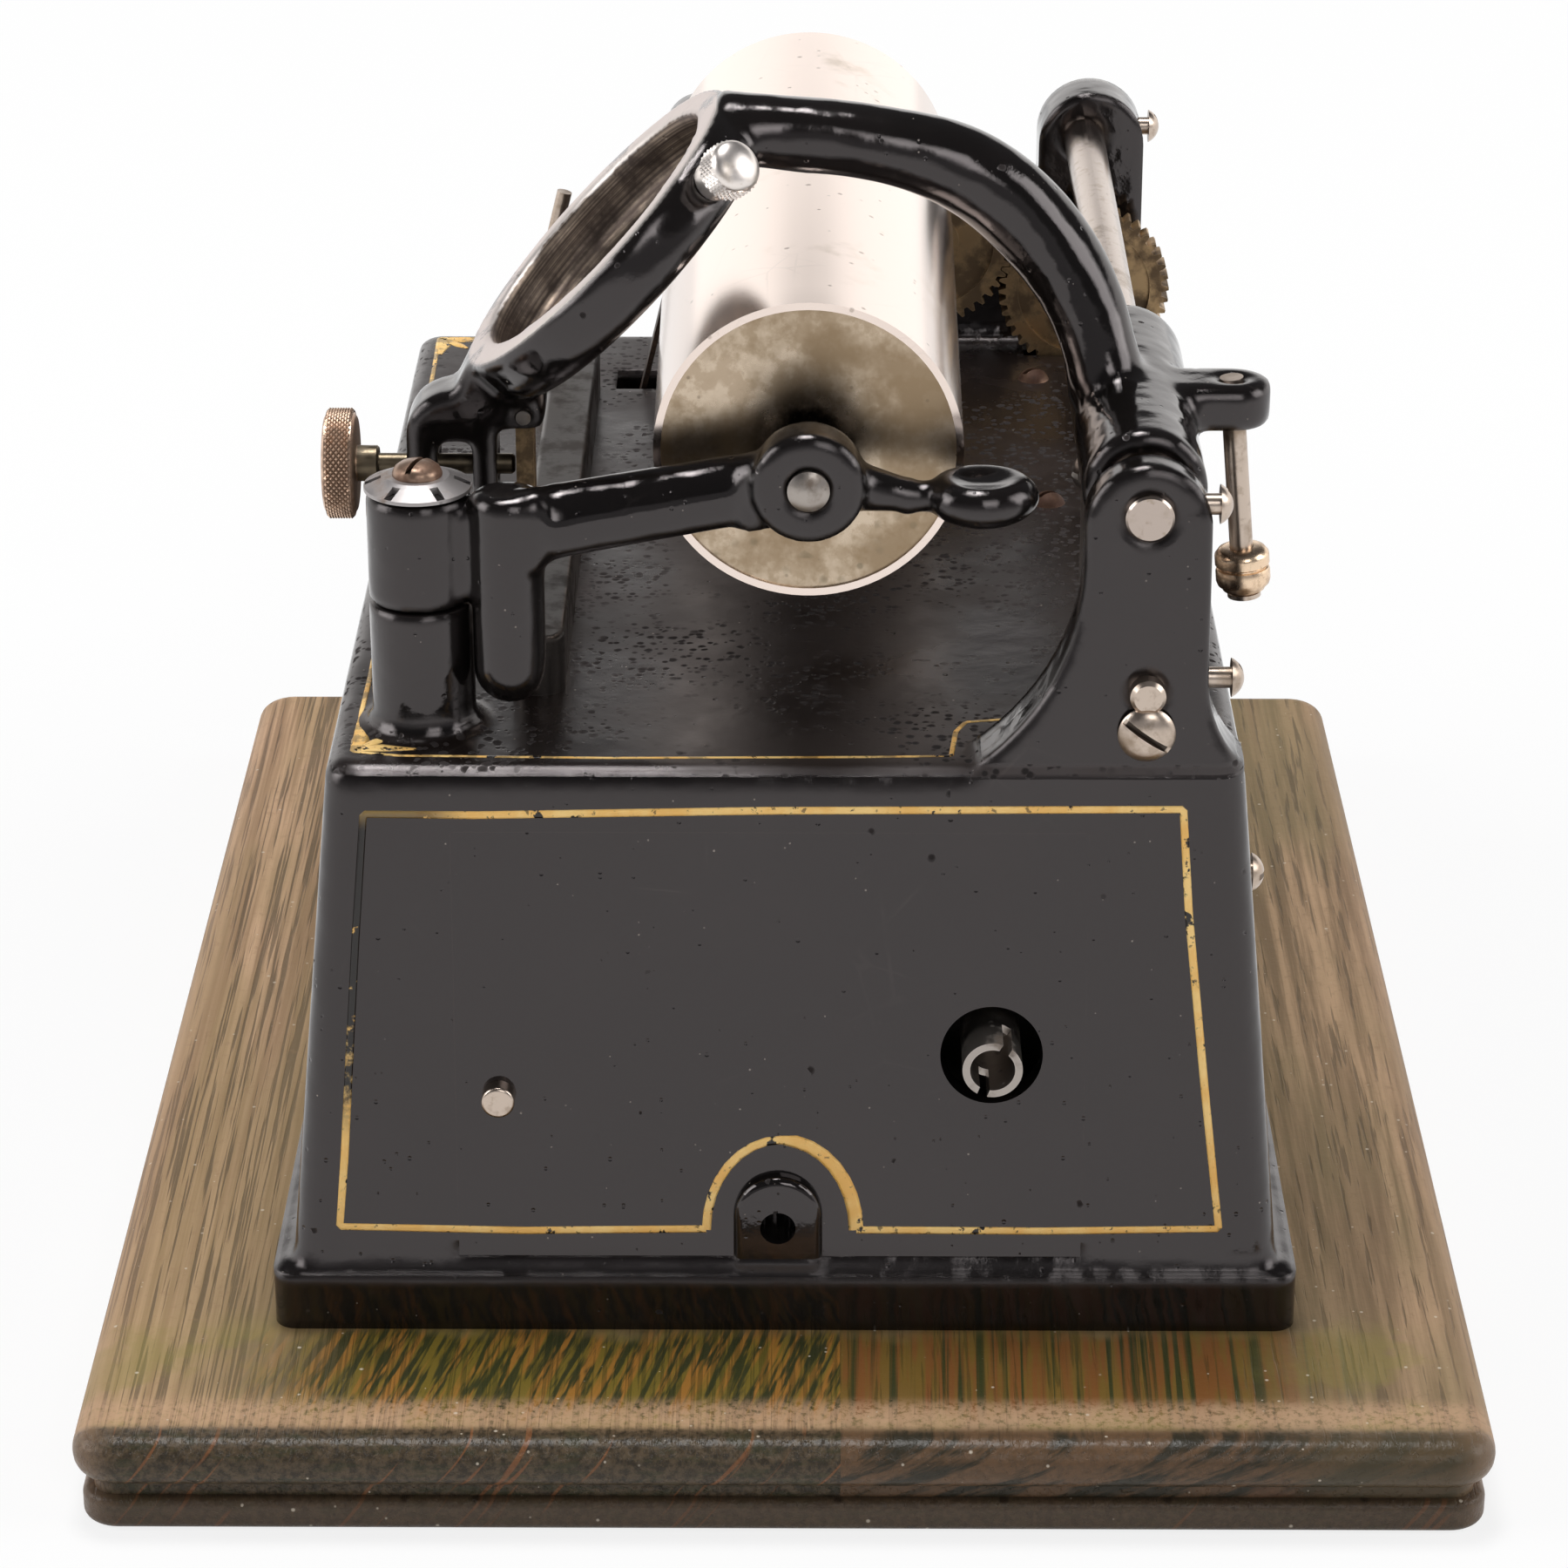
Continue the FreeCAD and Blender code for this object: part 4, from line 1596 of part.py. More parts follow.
def frame_pillar_places():
    """Middle to far and middle to near pillars, as (y, z)."""
    return [(-FRAME_PILLAR_Y, FRAME_LOW_FRONT_Z), (FRAME_PILLAR_Y, FRAME_LOW_REAR_Z),
            (FRAME_REAR_TOP_Y, FRAME_TOP_REAR_Z), (-FRAME_PILLAR_Y, FRAME_TOP_FRONT_Z)]


def plate_holes(x0, x1, bores):
    return [rod_x(radius, x0 - 1, x1 + 1, at[0], at[1]) for at, radius in bores]


def ears(x, reach_x):
    """Two ears bent from a motor plate's top, lying under the top plate."""
    pieces = []
    for y in (-PLATE_SCREW_Y, PLATE_SCREW_Y):
        low_x, high_x = sorted((x, reach_x))
        ear = box(low_x, high_x, y - EAR_WIDTH / 2, y + EAR_WIDTH / 2, PLATE_UNDER - EAR_THICK, PLATE_UNDER)
        pieces.append(ear)
    return pieces


def motor_plate(x, bores, screw_x):
    low = MOTOR_LOW_Z
    panel = box(x, x + MOTOR_PLATE, -MOTOR_HALF_Y, MOTOR_HALF_Y, low, PLATE_UNDER - EAR_THICK)
    solid = fuse(panel, *ears(x + MOTOR_PLATE, screw_x - EAR_REACH))
    holes = plate_holes(x, x + MOTOR_PLATE, bores)
    for y in (-PLATE_SCREW_Y, PLATE_SCREW_Y):
        holes.append(rod_z(PLATE_SCREW_R, low, PLATE_Z, screw_x, y))
    for at in frame_pillar_places():
        holes.append(rod_x(FRAME_STUD_R, x - 1, x + MOTOR_PLATE + 1, at[0], at[1]))
    return cut(solid, *holes)


def far_motor_plate():
    bores = [(MIDDLE_AT, ARBOR_R + RUN_FIT), (DRIVE_AT, ARBOR_R + RUN_FIT),
             (GOVERNOR_AT, GOVERNOR_JOURNAL_R + RUN_FIT)]
    return motor_plate(FAR_PLATE_X, bores, PLATE_SCREW_FAR_X)


def middle_motor_plate():
    bores = [(MIDDLE_AT, ARBOR_R + RUN_FIT), (DRIVE_AT, ARBOR_R + RUN_FIT),
             (GOVERNOR_AT, GOVERNOR_JOURNAL_R + RUN_FIT),
             (BARREL_AT, WINDING_ARBOR_R + RUN_FIT)]
    return motor_plate(MIDDLE_PLATE_X, bores, PLATE_SCREW_NEAR_X)


def near_motor_plate():
    """The plate at the winding end, carried by the long pillars and the steady pin."""
    x = NEAR_PLATE_X
    top = PLATE_UNDER - NEAR_PLATE_DROP
    panel = box(x, x + MOTOR_PLATE, -MOTOR_HALF_Y, MOTOR_HALF_Y, MOTOR_LOW_Z, top)
    bores = [(BARREL_AT, WINDING_ARBOR_R + RUN_FIT), ((STEADY_Y, STEADY_Z), STEADY_R),
             ((CLICK_PIVOT_Y, CLICK_PIVOT_Z), CLICK_PIN_R + RUN_FIT)]
    holes = plate_holes(x, x + MOTOR_PLATE, bores)
    for at in frame_pillar_places():
        holes.append(rod_x(FRAME_STUD_R, x - 1, x + MOTOR_PLATE + 1, at[0], at[1]))
    return cut(panel, *holes)


def frame_pillars():
    """Round pillars between the motor plates, with their ends riveted over."""
    solids = []
    for at in frame_pillar_places():
        short = rod_x(FRAME_PILLAR_R, FAR_PLATE_X + MOTOR_PLATE, MIDDLE_PLATE_X, at[0], at[1])
        long = rod_x(FRAME_PILLAR_R, MIDDLE_PLATE_X + MOTOR_PLATE, NEAR_PLATE_X, at[0], at[1])
        stud = rod_x(FRAME_STUD_R, FAR_PLATE_X, NEAR_PLATE_X + MOTOR_PLATE, at[0], at[1])
        far_end = dome(RIVET_R, RIVET_RISE, Vector(FAR_PLATE_X, at[0], at[1]), Vector(-1, 0, 0))
        near_end = dome(RIVET_R, RIVET_RISE, Vector(NEAR_PLATE_X + MOTOR_PLATE, at[0], at[1]), AX)
        solids.append(fuse(stud, short, long, far_end, near_end))
    return Part.makeCompound(solids)


def winding_arbor():
    """The arbor from the middle plate to the slotted tube in the crank hole."""
    y, z = BARREL_AT
    tube_start = NEAR_PLATE_X + MOTOR_PLATE + WINDING_TUBE_GAP
    end = near_wall_x(CRANK_Z) + WINDING_OUT
    arbor = rod_x(WINDING_ARBOR_R, MIDDLE_PLATE_X, tube_start + 0.1, y, z)
    tube = rod_x(WINDING_TUBE_R, tube_start, end, y, z)
    bore = rod_x(WINDING_BORE_R, end - WINDING_BORE_DEPTH, end + 1, y, z)
    slots = []
    for angle in (60.0, 250.0):
        slot = Part.makeBox(WINDING_SLOT_LENGTH + 1, WINDING_SLOT, WINDING_TUBE_R + 1,
                            Vector(end - WINDING_SLOT_LENGTH, -WINDING_SLOT / 2, 0))
        slot.rotate(Vector(0, 0, 0), AX, angle - 90)
        slot.translate(Vector(0, y, z))
        slots.append(slot)
    hook = box(BARREL_X + HOOK_INSET, BARREL_X + BARREL_LENGTH - HOOK_INSET, y - HOOK_WIDTH / 2, y + HOOK_WIDTH / 2,
               z, z + WINDING_ARBOR_R + HOOK_RISE)
    return fuse(arbor, tube, hook).cut(bore).cut(slots[0]).cut(slots[1])


def ratchet_wheel():
    points = []
    for tooth in range(RATCHET_TEETH):
        start = 2 * math.pi * tooth / RATCHET_TEETH
        end = 2 * math.pi * (tooth + 1) / RATCHET_TEETH
        points.append((CRANK_Y + RATCHET_R * math.cos(start), CRANK_Z + RATCHET_R * math.sin(start)))
        points.append((CRANK_Y + RATCHET_ROOT_R * math.cos(end), CRANK_Z + RATCHET_ROOT_R * math.sin(end)))
    wheel = polygon_x(points, RATCHET_X, RATCHET_X + RATCHET_THICK)
    return wheel.cut(rod_x(WINDING_ARBOR_R, RATCHET_X - 1, RATCHET_X + RATCHET_THICK + 1, CRANK_Y, CRANK_Z))


def click():
    """The pawl, riding on the tips of the ratchet's teeth, in one with the stud it turns on."""
    pivot = (CLICK_PIVOT_Y, CLICK_PIVOT_Z)
    away = direction_angle(BARREL_AT, pivot)
    tip_angle = away + math.radians(CLICK_SWEEP)
    tip_r = RATCHET_R + FREE_GAP
    heel_r = tip_r + CLICK_EYE_R

    def at_angle(radius):
        return (CRANK_Y + radius * math.cos(tip_angle), CRANK_Z + radius * math.sin(tip_angle))

    inner = (pivot[0] - CLICK_EYE_R * math.cos(away), pivot[1] - CLICK_EYE_R * math.sin(away))
    outer = (pivot[0] + CLICK_EYE_R * math.cos(away), pivot[1] + CLICK_EYE_R * math.sin(away))
    body = polygon_x([at_angle(tip_r), inner, outer, at_angle(heel_r)], RATCHET_X, RATCHET_X + RATCHET_THICK)
    eye = rod_x(CLICK_EYE_R, RATCHET_X, RATCHET_X + RATCHET_THICK, pivot[0], pivot[1])
    stud = rod_x(CLICK_PIN_R, RATCHET_X, NEAR_PLATE_X + MOTOR_PLATE, pivot[0], pivot[1])
    return fuse(body, eye, stud)


def spring_barrel():
    """The barrel, in one with the great wheel on its floor's far side."""
    y, z = BARREL_AT
    x1 = BARREL_X + BARREL_LENGTH
    drum = rod_x(BARREL_R, BARREL_X, x1, y, z)
    hub = rod_x(GREAT_HUB_R, GREAT_WHEEL_X + WHEEL_THICK - 0.1, BARREL_X + 0.1, y, z)
    wheel = gear_x(GREAT_TEETH, GREAT_MODULE, GREAT_PHASE, GREAT_WHEEL_X, GREAT_WHEEL_X + WHEEL_THICK, y, z)
    hollow = rod_x(BARREL_R - BARREL_WALL, BARREL_X + BARREL_WALL, x1 + 1, y, z)
    bore = rod_x(WINDING_ARBOR_R + RUN_FIT, GREAT_WHEEL_X - 1, BARREL_X + BARREL_WALL + 1, y, z)
    return cut(fuse(drum, hub, wheel), hollow, bore)


def barrel_cap():
    y, z = BARREL_AT
    x1 = BARREL_X + BARREL_LENGTH
    disc = rod_x(BARREL_R - BARREL_WALL, x1 - CAP_THICK, x1, y, z)
    return disc.cut(rod_x(WINDING_ARBOR_R + RUN_FIT, x1 - CAP_THICK - 1, x1 + 1, y, z))


def spiral_edges(start_r, step, x):
    """A spiral of half-turn arcs about the barrel's axis, growing by step each turn."""
    y, z = BARREL_AT
    edges = []
    radius = start_r
    centre = y
    side = 1
    for _ in range(2 * SPRING_TURNS):
        a = Vector(x, centre + side * radius, z)
        b = Vector(x, centre - side * radius, z)
        edges.append(arc(a, Vector(x, centre, z + side * radius), b))
        centre += side * step / 2
        radius += step / 2
        side = -side
    return edges


def mainspring():
    """The spring strip, wound as one unbroken spiral from the arbor to the barrel's wall."""
    outer_r = BARREL_R - BARREL_WALL - SPRING_THICK
    step = (outer_r - SPRING_INNER_R) / SPRING_TURNS
    x0 = BARREL_X + BARREL_WALL + SPRING_SIDE_GAP
    x1 = BARREL_X + BARREL_LENGTH - CAP_THICK - SPRING_SIDE_GAP
    inner = spiral_edges(SPRING_INNER_R, step, x0)
    outer = spiral_edges(SPRING_INNER_R + SPRING_THICK, step, x0)
    start = line(inner[0].Vertexes[0].Point, outer[0].Vertexes[0].Point)
    end = line(inner[-1].Vertexes[-1].Point, outer[-1].Vertexes[-1].Point)
    wire = Part.Wire(Part.__sortEdges__(inner + outer + [start, end]))
    return Part.Face(wire).extrude(Vector(x1 - x0, 0, 0))


def intermediate_arbor():
    y, z = MIDDLE_AT
    x_end = GREAT_WHEEL_X + WHEEL_THICK + PINION_MORE
    arbor = rod_x(ARBOR_R, FAR_PLATE_X, x_end, y, z)
    x0 = GREAT_WHEEL_X - PINION_MORE
    pinion = gear_x(FIRST_PINION_TEETH, GREAT_MODULE, FIRST_PINION_PHASE, x0, x_end, y, z)
    return fuse(arbor, pinion)


def intermediate_wheel():
    y, z = MIDDLE_AT
    x1 = SECOND_WHEEL_X + WHEEL_THICK
    wheel = gear_x(SECOND_TEETH, SECOND_MODULE, SECOND_PHASE, SECOND_WHEEL_X, x1, y, z)
    holes = []
    for index in range(WHEEL_HOLES):
        angle = 2 * math.pi * index / WHEEL_HOLES
        hole_y = y + WHEEL_HOLE_ORBIT * math.cos(angle)
        hole_z = z + WHEEL_HOLE_ORBIT * math.sin(angle)
        holes.append(rod_x(WHEEL_HOLE_R, SECOND_WHEEL_X - 1, x1 + 1, hole_y, hole_z))
    return cut(wheel, rod_x(ARBOR_R, SECOND_WHEEL_X - 1, x1 + 1, y, z), *holes)


def drive_shaft():
    y, z = DRIVE_AT
    shaft = rod_x(ARBOR_R, BELT_X - PULLEY_WIDTH / 2 - 1, MIDDLE_PLATE_X + MOTOR_PLATE, y, z)
    x0 = SECOND_WHEEL_X - PINION_MORE
    x1 = SECOND_WHEEL_X + WHEEL_THICK + PINION_MORE
    pinion = gear_x(DRIVE_PINION_TEETH, SECOND_MODULE, DRIVE_PINION_PHASE, x0, x1, y, z)
    return fuse(shaft, pinion)


def governor_wheel():
    y, z = DRIVE_AT
    x1 = GOVERNOR_WHEEL_X + WHEEL_THICK
    wheel = gear_x(GOVERNOR_TEETH, GOVERNOR_MODULE, GOVERNOR_WHEEL_PHASE, GOVERNOR_WHEEL_X, x1, y, z)
    return wheel.cut(rod_x(ARBOR_R, GOVERNOR_WHEEL_X - 1, x1 + 1, y, z))


def drive_pulley():
    return pulley(DRIVE_BELT_R - BELT_THICK / 2 - FREE_GAP, BELT_X, ARBOR_R, DRIVE_Y, DRIVE_Z)


def governor_shaft():
    y, z = GOVERNOR_AT
    shaft = rod_x(GOVERNOR_SHAFT_R, FAR_PLATE_X + MOTOR_PLATE + FREE_GAP, MIDDLE_PLATE_X - FREE_GAP, y, z)
    journals = rod_x(GOVERNOR_JOURNAL_R, FAR_PLATE_X, MIDDLE_PLATE_X + MOTOR_PLATE, y, z)
    x0 = GOVERNOR_WHEEL_X - PINION_MORE
    x1 = GOVERNOR_WHEEL_X + WHEEL_THICK + PINION_MORE
    pinion = gear_x(GOVERNOR_PINION_TEETH, GOVERNOR_MODULE, GOVERNOR_PINION_PHASE, x0, x1, y, z)
    collar = rod_x(GOVERNOR_COLLAR_R, GOVERNOR_COLLAR_X, GOVERNOR_COLLAR_X + GOVERNOR_COLLAR, y, z)
    return fuse(shaft, journals, pinion, collar)



def governor_disc():
    y, z = GOVERNOR_AT
    x1 = GOVERNOR_DISC_X + GOVERNOR_DISC
    disc = rod_x(GOVERNOR_DISC_R, GOVERNOR_DISC_X, x1, y, z)
    neck = rod_x(GOVERNOR_COLLAR_R, GOVERNOR_DISC_X - GOVERNOR_COLLAR, GOVERNOR_DISC_X + 0.1, y, z)
    return fuse(disc, neck).cut(rod_x(GOVERNOR_SHAFT_R + RUN_FIT, GOVERNOR_COLLAR_X, x1 + 1, y, z))


def governor_turns():
    return [360.0 * index / WEIGHTS for index in range(WEIGHTS)]


def governor_springs():
    """Bowed leaf springs from the collar to the disc's sleeve, one for each weight."""
    y, z = GOVERNOR_AT
    x0 = GOVERNOR_COLLAR_X
    x1 = GOVERNOR_DISC_X - 0.2
    low = GOVERNOR_COLLAR_R
    high = low + LEAF_RISE
    middle = (x0 + x1) / 2
    springs = []
    for turn in governor_turns():
        def run(offset):
            return arc(Vector(x0, 0, low + offset), Vector(middle, 0, high + offset),
                       Vector(x1, 0, low + offset))
        ends = [line(Vector(x, 0, low), Vector(x, 0, low + LEAF_THICK)) for x in (x0, x1)]
        wire = Part.Wire(Part.__sortEdges__([run(0), run(LEAF_THICK)] + ends))
        strip = Part.Face(wire).extrude(Vector(0, LEAF_WIDTH, 0))
        strip.translate(Vector(0, -LEAF_WIDTH / 2, 0))
        strip.rotate(Vector(0, 0, 0), AX, turn)
        strip.translate(Vector(0, y, z))
        springs.append(strip)
    return Part.makeCompound(springs)


def governor_weights():
    y, z = GOVERNOR_AT
    middle = (GOVERNOR_COLLAR_X + GOVERNOR_DISC_X - 0.2) / 2
    weights = []
    seat = GOVERNOR_COLLAR_R + LEAF_RISE + LEAF_THICK
    reach = 2 * WEIGHT_R
    for turn in governor_turns():
        ball = Part.makeSphere(WEIGHT_R, Vector(middle, 0, seat + WEIGHT_SINK))
        ball = ball.cut(box(middle - reach, middle + reach, -reach, reach, 0, seat))
        ball.rotate(Vector(0, 0, 0), AX, turn)
        ball.translate(Vector(0, y, z))
        weights.append(ball)
    return Part.makeCompound(weights)


def build():
    front_plank, rear_plank = base_planks()
    whole = casting()
    return {
        "base_lower_board": base_lower_board(),
        "base_plank_front": front_plank,
        "base_plank_rear": rear_plank,
        "base_screws": base_screws(),
        "body_casting": body_casting(whole),
        "near_wall": near_wall(whole),
        "set_screws": set_screws(),
        "keeper_screw": keeper_screw(),
        "back_rod": back_rod(),
        "pivot_pin": pivot_pin(),
        "steady_pin": steady_pin(),
        "plate_screws": plate_screws(),
        "straight_edge": straight_edge(),
        "bearing_bushes": bearing_bushes(),
        "idler_stud": idler_stud(),
        "hinge_screw": hinge_screw(),
        "notched_washer": notched_washer(),
        "drive_belt": belt(),
        "mandrel_shell": mandrel_shell(),
        "mandrel_end_discs": mandrel_end_discs(),
        "mandrel_shaft": mandrel_shaft(),
        "belt_pulley": belt_pulley(),
        "mandrel_gear": train_gear(MANDREL_PHASE, MANDREL_SHAFT_R, MANDREL_AT),
        "idler_gear": train_gear(IDLER_PHASE, IDLER_STUD_R + RUN_FIT, IDLER_AT),
        "feed_gear": train_gear(FEED_PHASE, FEED_JOURNAL_R, FEED_AT),
        "feed_screw": feed_screw(),
        "end_gate": end_gate(),
        "gate_centre_pin": gate_centre_pin(),
        "carriage_bushes": carriage_bushes(),
        "carriage_arm": carriage_arm(),
        "lug_pin": lug_pin(),
        "guide_roller": guide_roller(),
        "clamp_screw": clamp_screw(),
        "adjusting_screw": adjusting_screw(),
        "rider_finger": rider_finger(),
        "carriage_pins": Part.makeCompound([finger_pin(), nut_screw()]),
        "feed_nut_spring": nut_spring(),
        "half_nut": half_nut(),
        "stop_lever": stop_lever(),
        "brake_pad": brake_pad(),
        "lever_bracket": lever_bracket(),
        "motor_plate_far": far_motor_plate(),
        "motor_plate_middle": middle_motor_plate(),
        "motor_plate_near": near_motor_plate(),
        "motor_pillars": frame_pillars(),
        "winding_arbor": winding_arbor(),
        "ratchet_wheel": ratchet_wheel(),
        "click": click(),
        "spring_barrel": spring_barrel(),
        "barrel_cap": barrel_cap(),
        "mainspring": mainspring(),
        "intermediate_arbor": intermediate_arbor(),
        "intermediate_wheel": intermediate_wheel(),
        "drive_shaft": drive_shaft(),
        "drive_pulley": drive_pulley(),
        "governor_wheel": governor_wheel(),
        "governor_shaft": governor_shaft(),
        "governor_springs": governor_springs(),
        "governor_weights": governor_weights(),
        "governor_disc": governor_disc(),
    }


def main():
    os.makedirs("parts", exist_ok=True)
    for name, shape in build().items():
        solids = len(shape.Solids)
        print(name, "solids", solids, "volume", round(shape.Volume, 2), "valid", shape.isValid())
        shape.exportStep("parts/" + name + ".step")


main()
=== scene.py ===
# %% [markdown]
# # A key-wound cylinder phonograph
# The real machine is a small cast-iron spring motor on a stepped oak base. A nickelled mandrel carries the
# cylinder, and a black arm slides along a rod behind it. The shapes come ready made from the CAD model, so
# this lesson is about everything that makes them look a hundred years old: japan, nickel, brass, oak,
# gold lines, light and camera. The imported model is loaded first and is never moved.

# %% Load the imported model
import math

import bmesh
import bpy
from mathutils import Matrix, Vector


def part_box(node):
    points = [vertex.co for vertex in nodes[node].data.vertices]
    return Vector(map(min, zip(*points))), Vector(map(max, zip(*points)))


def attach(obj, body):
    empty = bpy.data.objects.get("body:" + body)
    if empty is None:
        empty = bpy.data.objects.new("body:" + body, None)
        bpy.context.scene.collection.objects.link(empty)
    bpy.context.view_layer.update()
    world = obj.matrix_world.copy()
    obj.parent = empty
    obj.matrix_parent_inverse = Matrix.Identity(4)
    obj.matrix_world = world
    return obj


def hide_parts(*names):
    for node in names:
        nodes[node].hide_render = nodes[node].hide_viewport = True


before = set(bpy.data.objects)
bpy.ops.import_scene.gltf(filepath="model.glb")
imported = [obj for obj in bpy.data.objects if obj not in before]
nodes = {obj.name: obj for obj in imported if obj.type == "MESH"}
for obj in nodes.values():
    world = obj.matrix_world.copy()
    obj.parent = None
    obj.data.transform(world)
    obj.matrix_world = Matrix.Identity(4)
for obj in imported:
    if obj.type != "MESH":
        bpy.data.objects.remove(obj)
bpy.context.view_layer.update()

# %% [markdown]
# Materials are graphs of nodes. Writing one out link by link hides the idea behind it, so a few small
# helpers place a node, set its sockets and wire it in one line. A socket knows which graph it is in, so a
# helper that is given one finds the graph by itself. Colours are given as a painter reads them off a
# screen, from 0 to 255, and turned into the linear numbers that the shader works with.

# %% Helpers for colours and nodes
def colour(red, green, blue):
    """A screen colour as the linear colour that a shader takes."""
    def linear(value):
        value = value / 255.0
        return value / 12.92 if value <= 0.04045 else ((value + 0.055) / 1.055) ** 2.4
    return (linear(red), linear(green), linear(blue), 1.0)


def is_socket(value):
    return isinstance(value, bpy.types.NodeSocket)


def feed(socket, value):
    """Wires another socket into this one, or sets a plain value on it."""
    if is_socket(value):
        socket.id_data.links.new(value, socket)
    else:
        socket.default_value = value


def put(kind, inputs, tree=None, **settings):
    """Places a shader node in a graph, or else in the one that its inputs come from, and wires them."""
    if tree is None:
        tree = next(value.id_data for value in inputs.values() if is_socket(value))
    node = tree.nodes.new("ShaderNode" + kind)
    for name, value in settings.items():
        setattr(node, name, value)
    for name, value in inputs.items():
        feed(node.inputs[name], value)
    return node


# %% Helpers for sums and masks
def maths(operation, a, b=0.5):
    return put("Math", {0: a, 1: b}, operation=operation).outputs[0]


def plus(a, b):
    return maths("ADD", a, b)


def minus(a, b):
    return maths("SUBTRACT", a, b)


def times(a, b):
    return maths("MULTIPLY", a, b)


def most(a, b):
    return maths("MAXIMUM", a, b)


def vectors(operation, a, b=None):
    """A Vector Math node on one vector or two."""
    inputs = {0: a} if b is None else {0: a, 1: b}
    node = put("VectorMath", inputs, operation=operation)
    return node.outputs["Value" if operation in ("DOT_PRODUCT", "LENGTH") else "Vector"]


def xyz(vector):
    return put("SeparateXYZ", {0: vector}).outputs


def ranged(value, low, high, to_low=0.0, to_high=1.0):
    """A soft step from to_low to to_high, as value goes from low to high."""
    inputs = {"Value": value, "From Min": low, "From Max": high, "To Min": to_low, "To Max": to_high}
    return put("MapRange", inputs, interpolation_type="SMOOTHSTEP").outputs["Result"]


def inside(value, low, high, soft):
    """A mask that is 1 from low to high."""
    return times(ranged(value, low - soft, low + soft), ranged(value, high + soft, high - soft))


def mixed(amount, a, b, blend="MIX"):
    inputs = {0: amount, 6: a, 7: b}
    return put("Mix", inputs, data_type="RGBA", blend_type=blend).outputs[2]


def laid(under, over, mask, strength=None):
    """One colour laid over another where the mask is, fully or at some strength."""
    return mixed(mask if strength is None else times(mask, strength), under, over)


def between(amount, a, b):
    """A plain number that goes from a to b."""
    return put("Mix", {0: amount, 2: a, 3: b}, data_type="FLOAT").outputs[0]


def stretched(vector, scale, turn=(0.0, 0.0, 0.0)):
    """Coordinates turned first and then scaled, so that a pattern runs along one direction."""
    for settings in ({"Rotation": [math.radians(a) for a in turn]}, {"Scale": scale}):
        vector = put("Mapping", {"Vector": vector, **settings}).outputs[0]
    return vector


def noise(vector, scale, detail=3.0, rough=0.55):
    inputs = {"Vector": vector, "Scale": scale, "Detail": detail, "Roughness": rough}
    return put("TexNoise", inputs).outputs["Fac"]


# %% [markdown]
# The same few effects turn up on nearly every old surface: broad patches, small specks, hair scratches,
# worn edges and a lumpy cast skin. Each is built once as a node group with named sockets, and then put
# into each material with its own values. A group gives out masks and heights, never a shader, so the
# material keeps its own Principled BSDF.

# %% Start a node group, and place one
def start_group(name, numbers, outputs, points=("Vector",)):
    """A group with its inputs and outputs named, ready to be filled."""
    made = bpy.data.node_groups.new(name, "ShaderNodeTree")
    for label in points:
        made.interface.new_socket(label, in_out="INPUT", socket_type="NodeSocketVector")
    for label, value in numbers.items():
        made.interface.new_socket(label, in_out="INPUT", socket_type="NodeSocketFloat").default_value = value
    for label in outputs:
        made.interface.new_socket(label, in_out="OUTPUT", socket_type="NodeSocketFloat")
    return made, made.nodes.new("NodeGroupInput").outputs, made.nodes.new("NodeGroupOutput").inputs


def placed(made, vector, **inputs):
    """Places a group in a material, and returns its outputs."""
    return put("Group", {"Vector": vector, **inputs}, node_tree=made).outputs


# %% Broad patches and small specks
patches, taken, given = start_group("patches", {"Scale": 30.0, "Low": 0.4, "High": 0.6}, ["Mask"])
field = noise(taken["Vector"], taken["Scale"], 5.0, 0.6)
feed(given["Mask"], ranged(field, taken["Low"], taken["High"]))

specks, taken, given = start_group("specks", {"Scale": 600.0, "Size": 0.3, "Cover": 0.2}, ["Mask"])
cells = put("TexVoronoi", {"Vector": taken["Vector"], "Scale": taken["Scale"]}).outputs
chance = put("SeparateColor", {0: cells["Color"]}).outputs
reach = times(chance[0], taken["Size"])
dot = ranged(cells["Distance"], reach, times(reach, 0.4))
feed(given["Mask"], times(dot, maths("LESS_THAN", chance[1], taken["Cover"])))


def patchy(vector, scale, low, high):
    return placed(patches, vector, Scale=scale, Low=low, High=high)[0]


def specked(vector, scale, size, cover):
    return placed(specks, vector, Scale=scale, Size=size, Cover=cover)[0]


print("groups", patches.name, specks.name)

# %% Hair scratches, worn edges and the cast skin
scratches, taken, given = start_group("scratches", {"Scale": 90.0, "Cover": 0.5}, ["Mask"])
marks = []
for turn, offset in (((10, 20, 35), 0.0), ((-15, 5, -50), 3.0)):
    run = stretched(taken["Vector"], (0.12, 1.0, 1.0), turn)
    inputs = {"Vector": vectors("ADD", run, (offset, offset, offset)), "Scale": taken["Scale"]}
    edge = put("TexVoronoi", inputs, feature="DISTANCE_TO_EDGE").outputs["Distance"]
    marks.append(ranged(edge, 0.014, 0.004))
some = ranged(noise(taken["Vector"], 45.0), taken["Cover"], 0.8)
feed(given["Mask"], times(most(*marks), some))

worn_edges, taken, given = start_group("worn edges", {"Radius": 0.0006, "Low": 0.05, "High": 0.3}, ["Mask"])
softened = put("Bevel", {"Radius": taken["Radius"]}, samples=4).outputs[0]
facing = vectors("DOT_PRODUCT", softened, put("NewGeometry", {}, worn_edges).outputs["Normal"])
sharp = minus(minus(1.12, facing), times(noise(taken["Vector"], 260.0, 4.0), 0.35))
feed(given["Mask"], ranged(sharp, taken["Low"], taken["High"]))

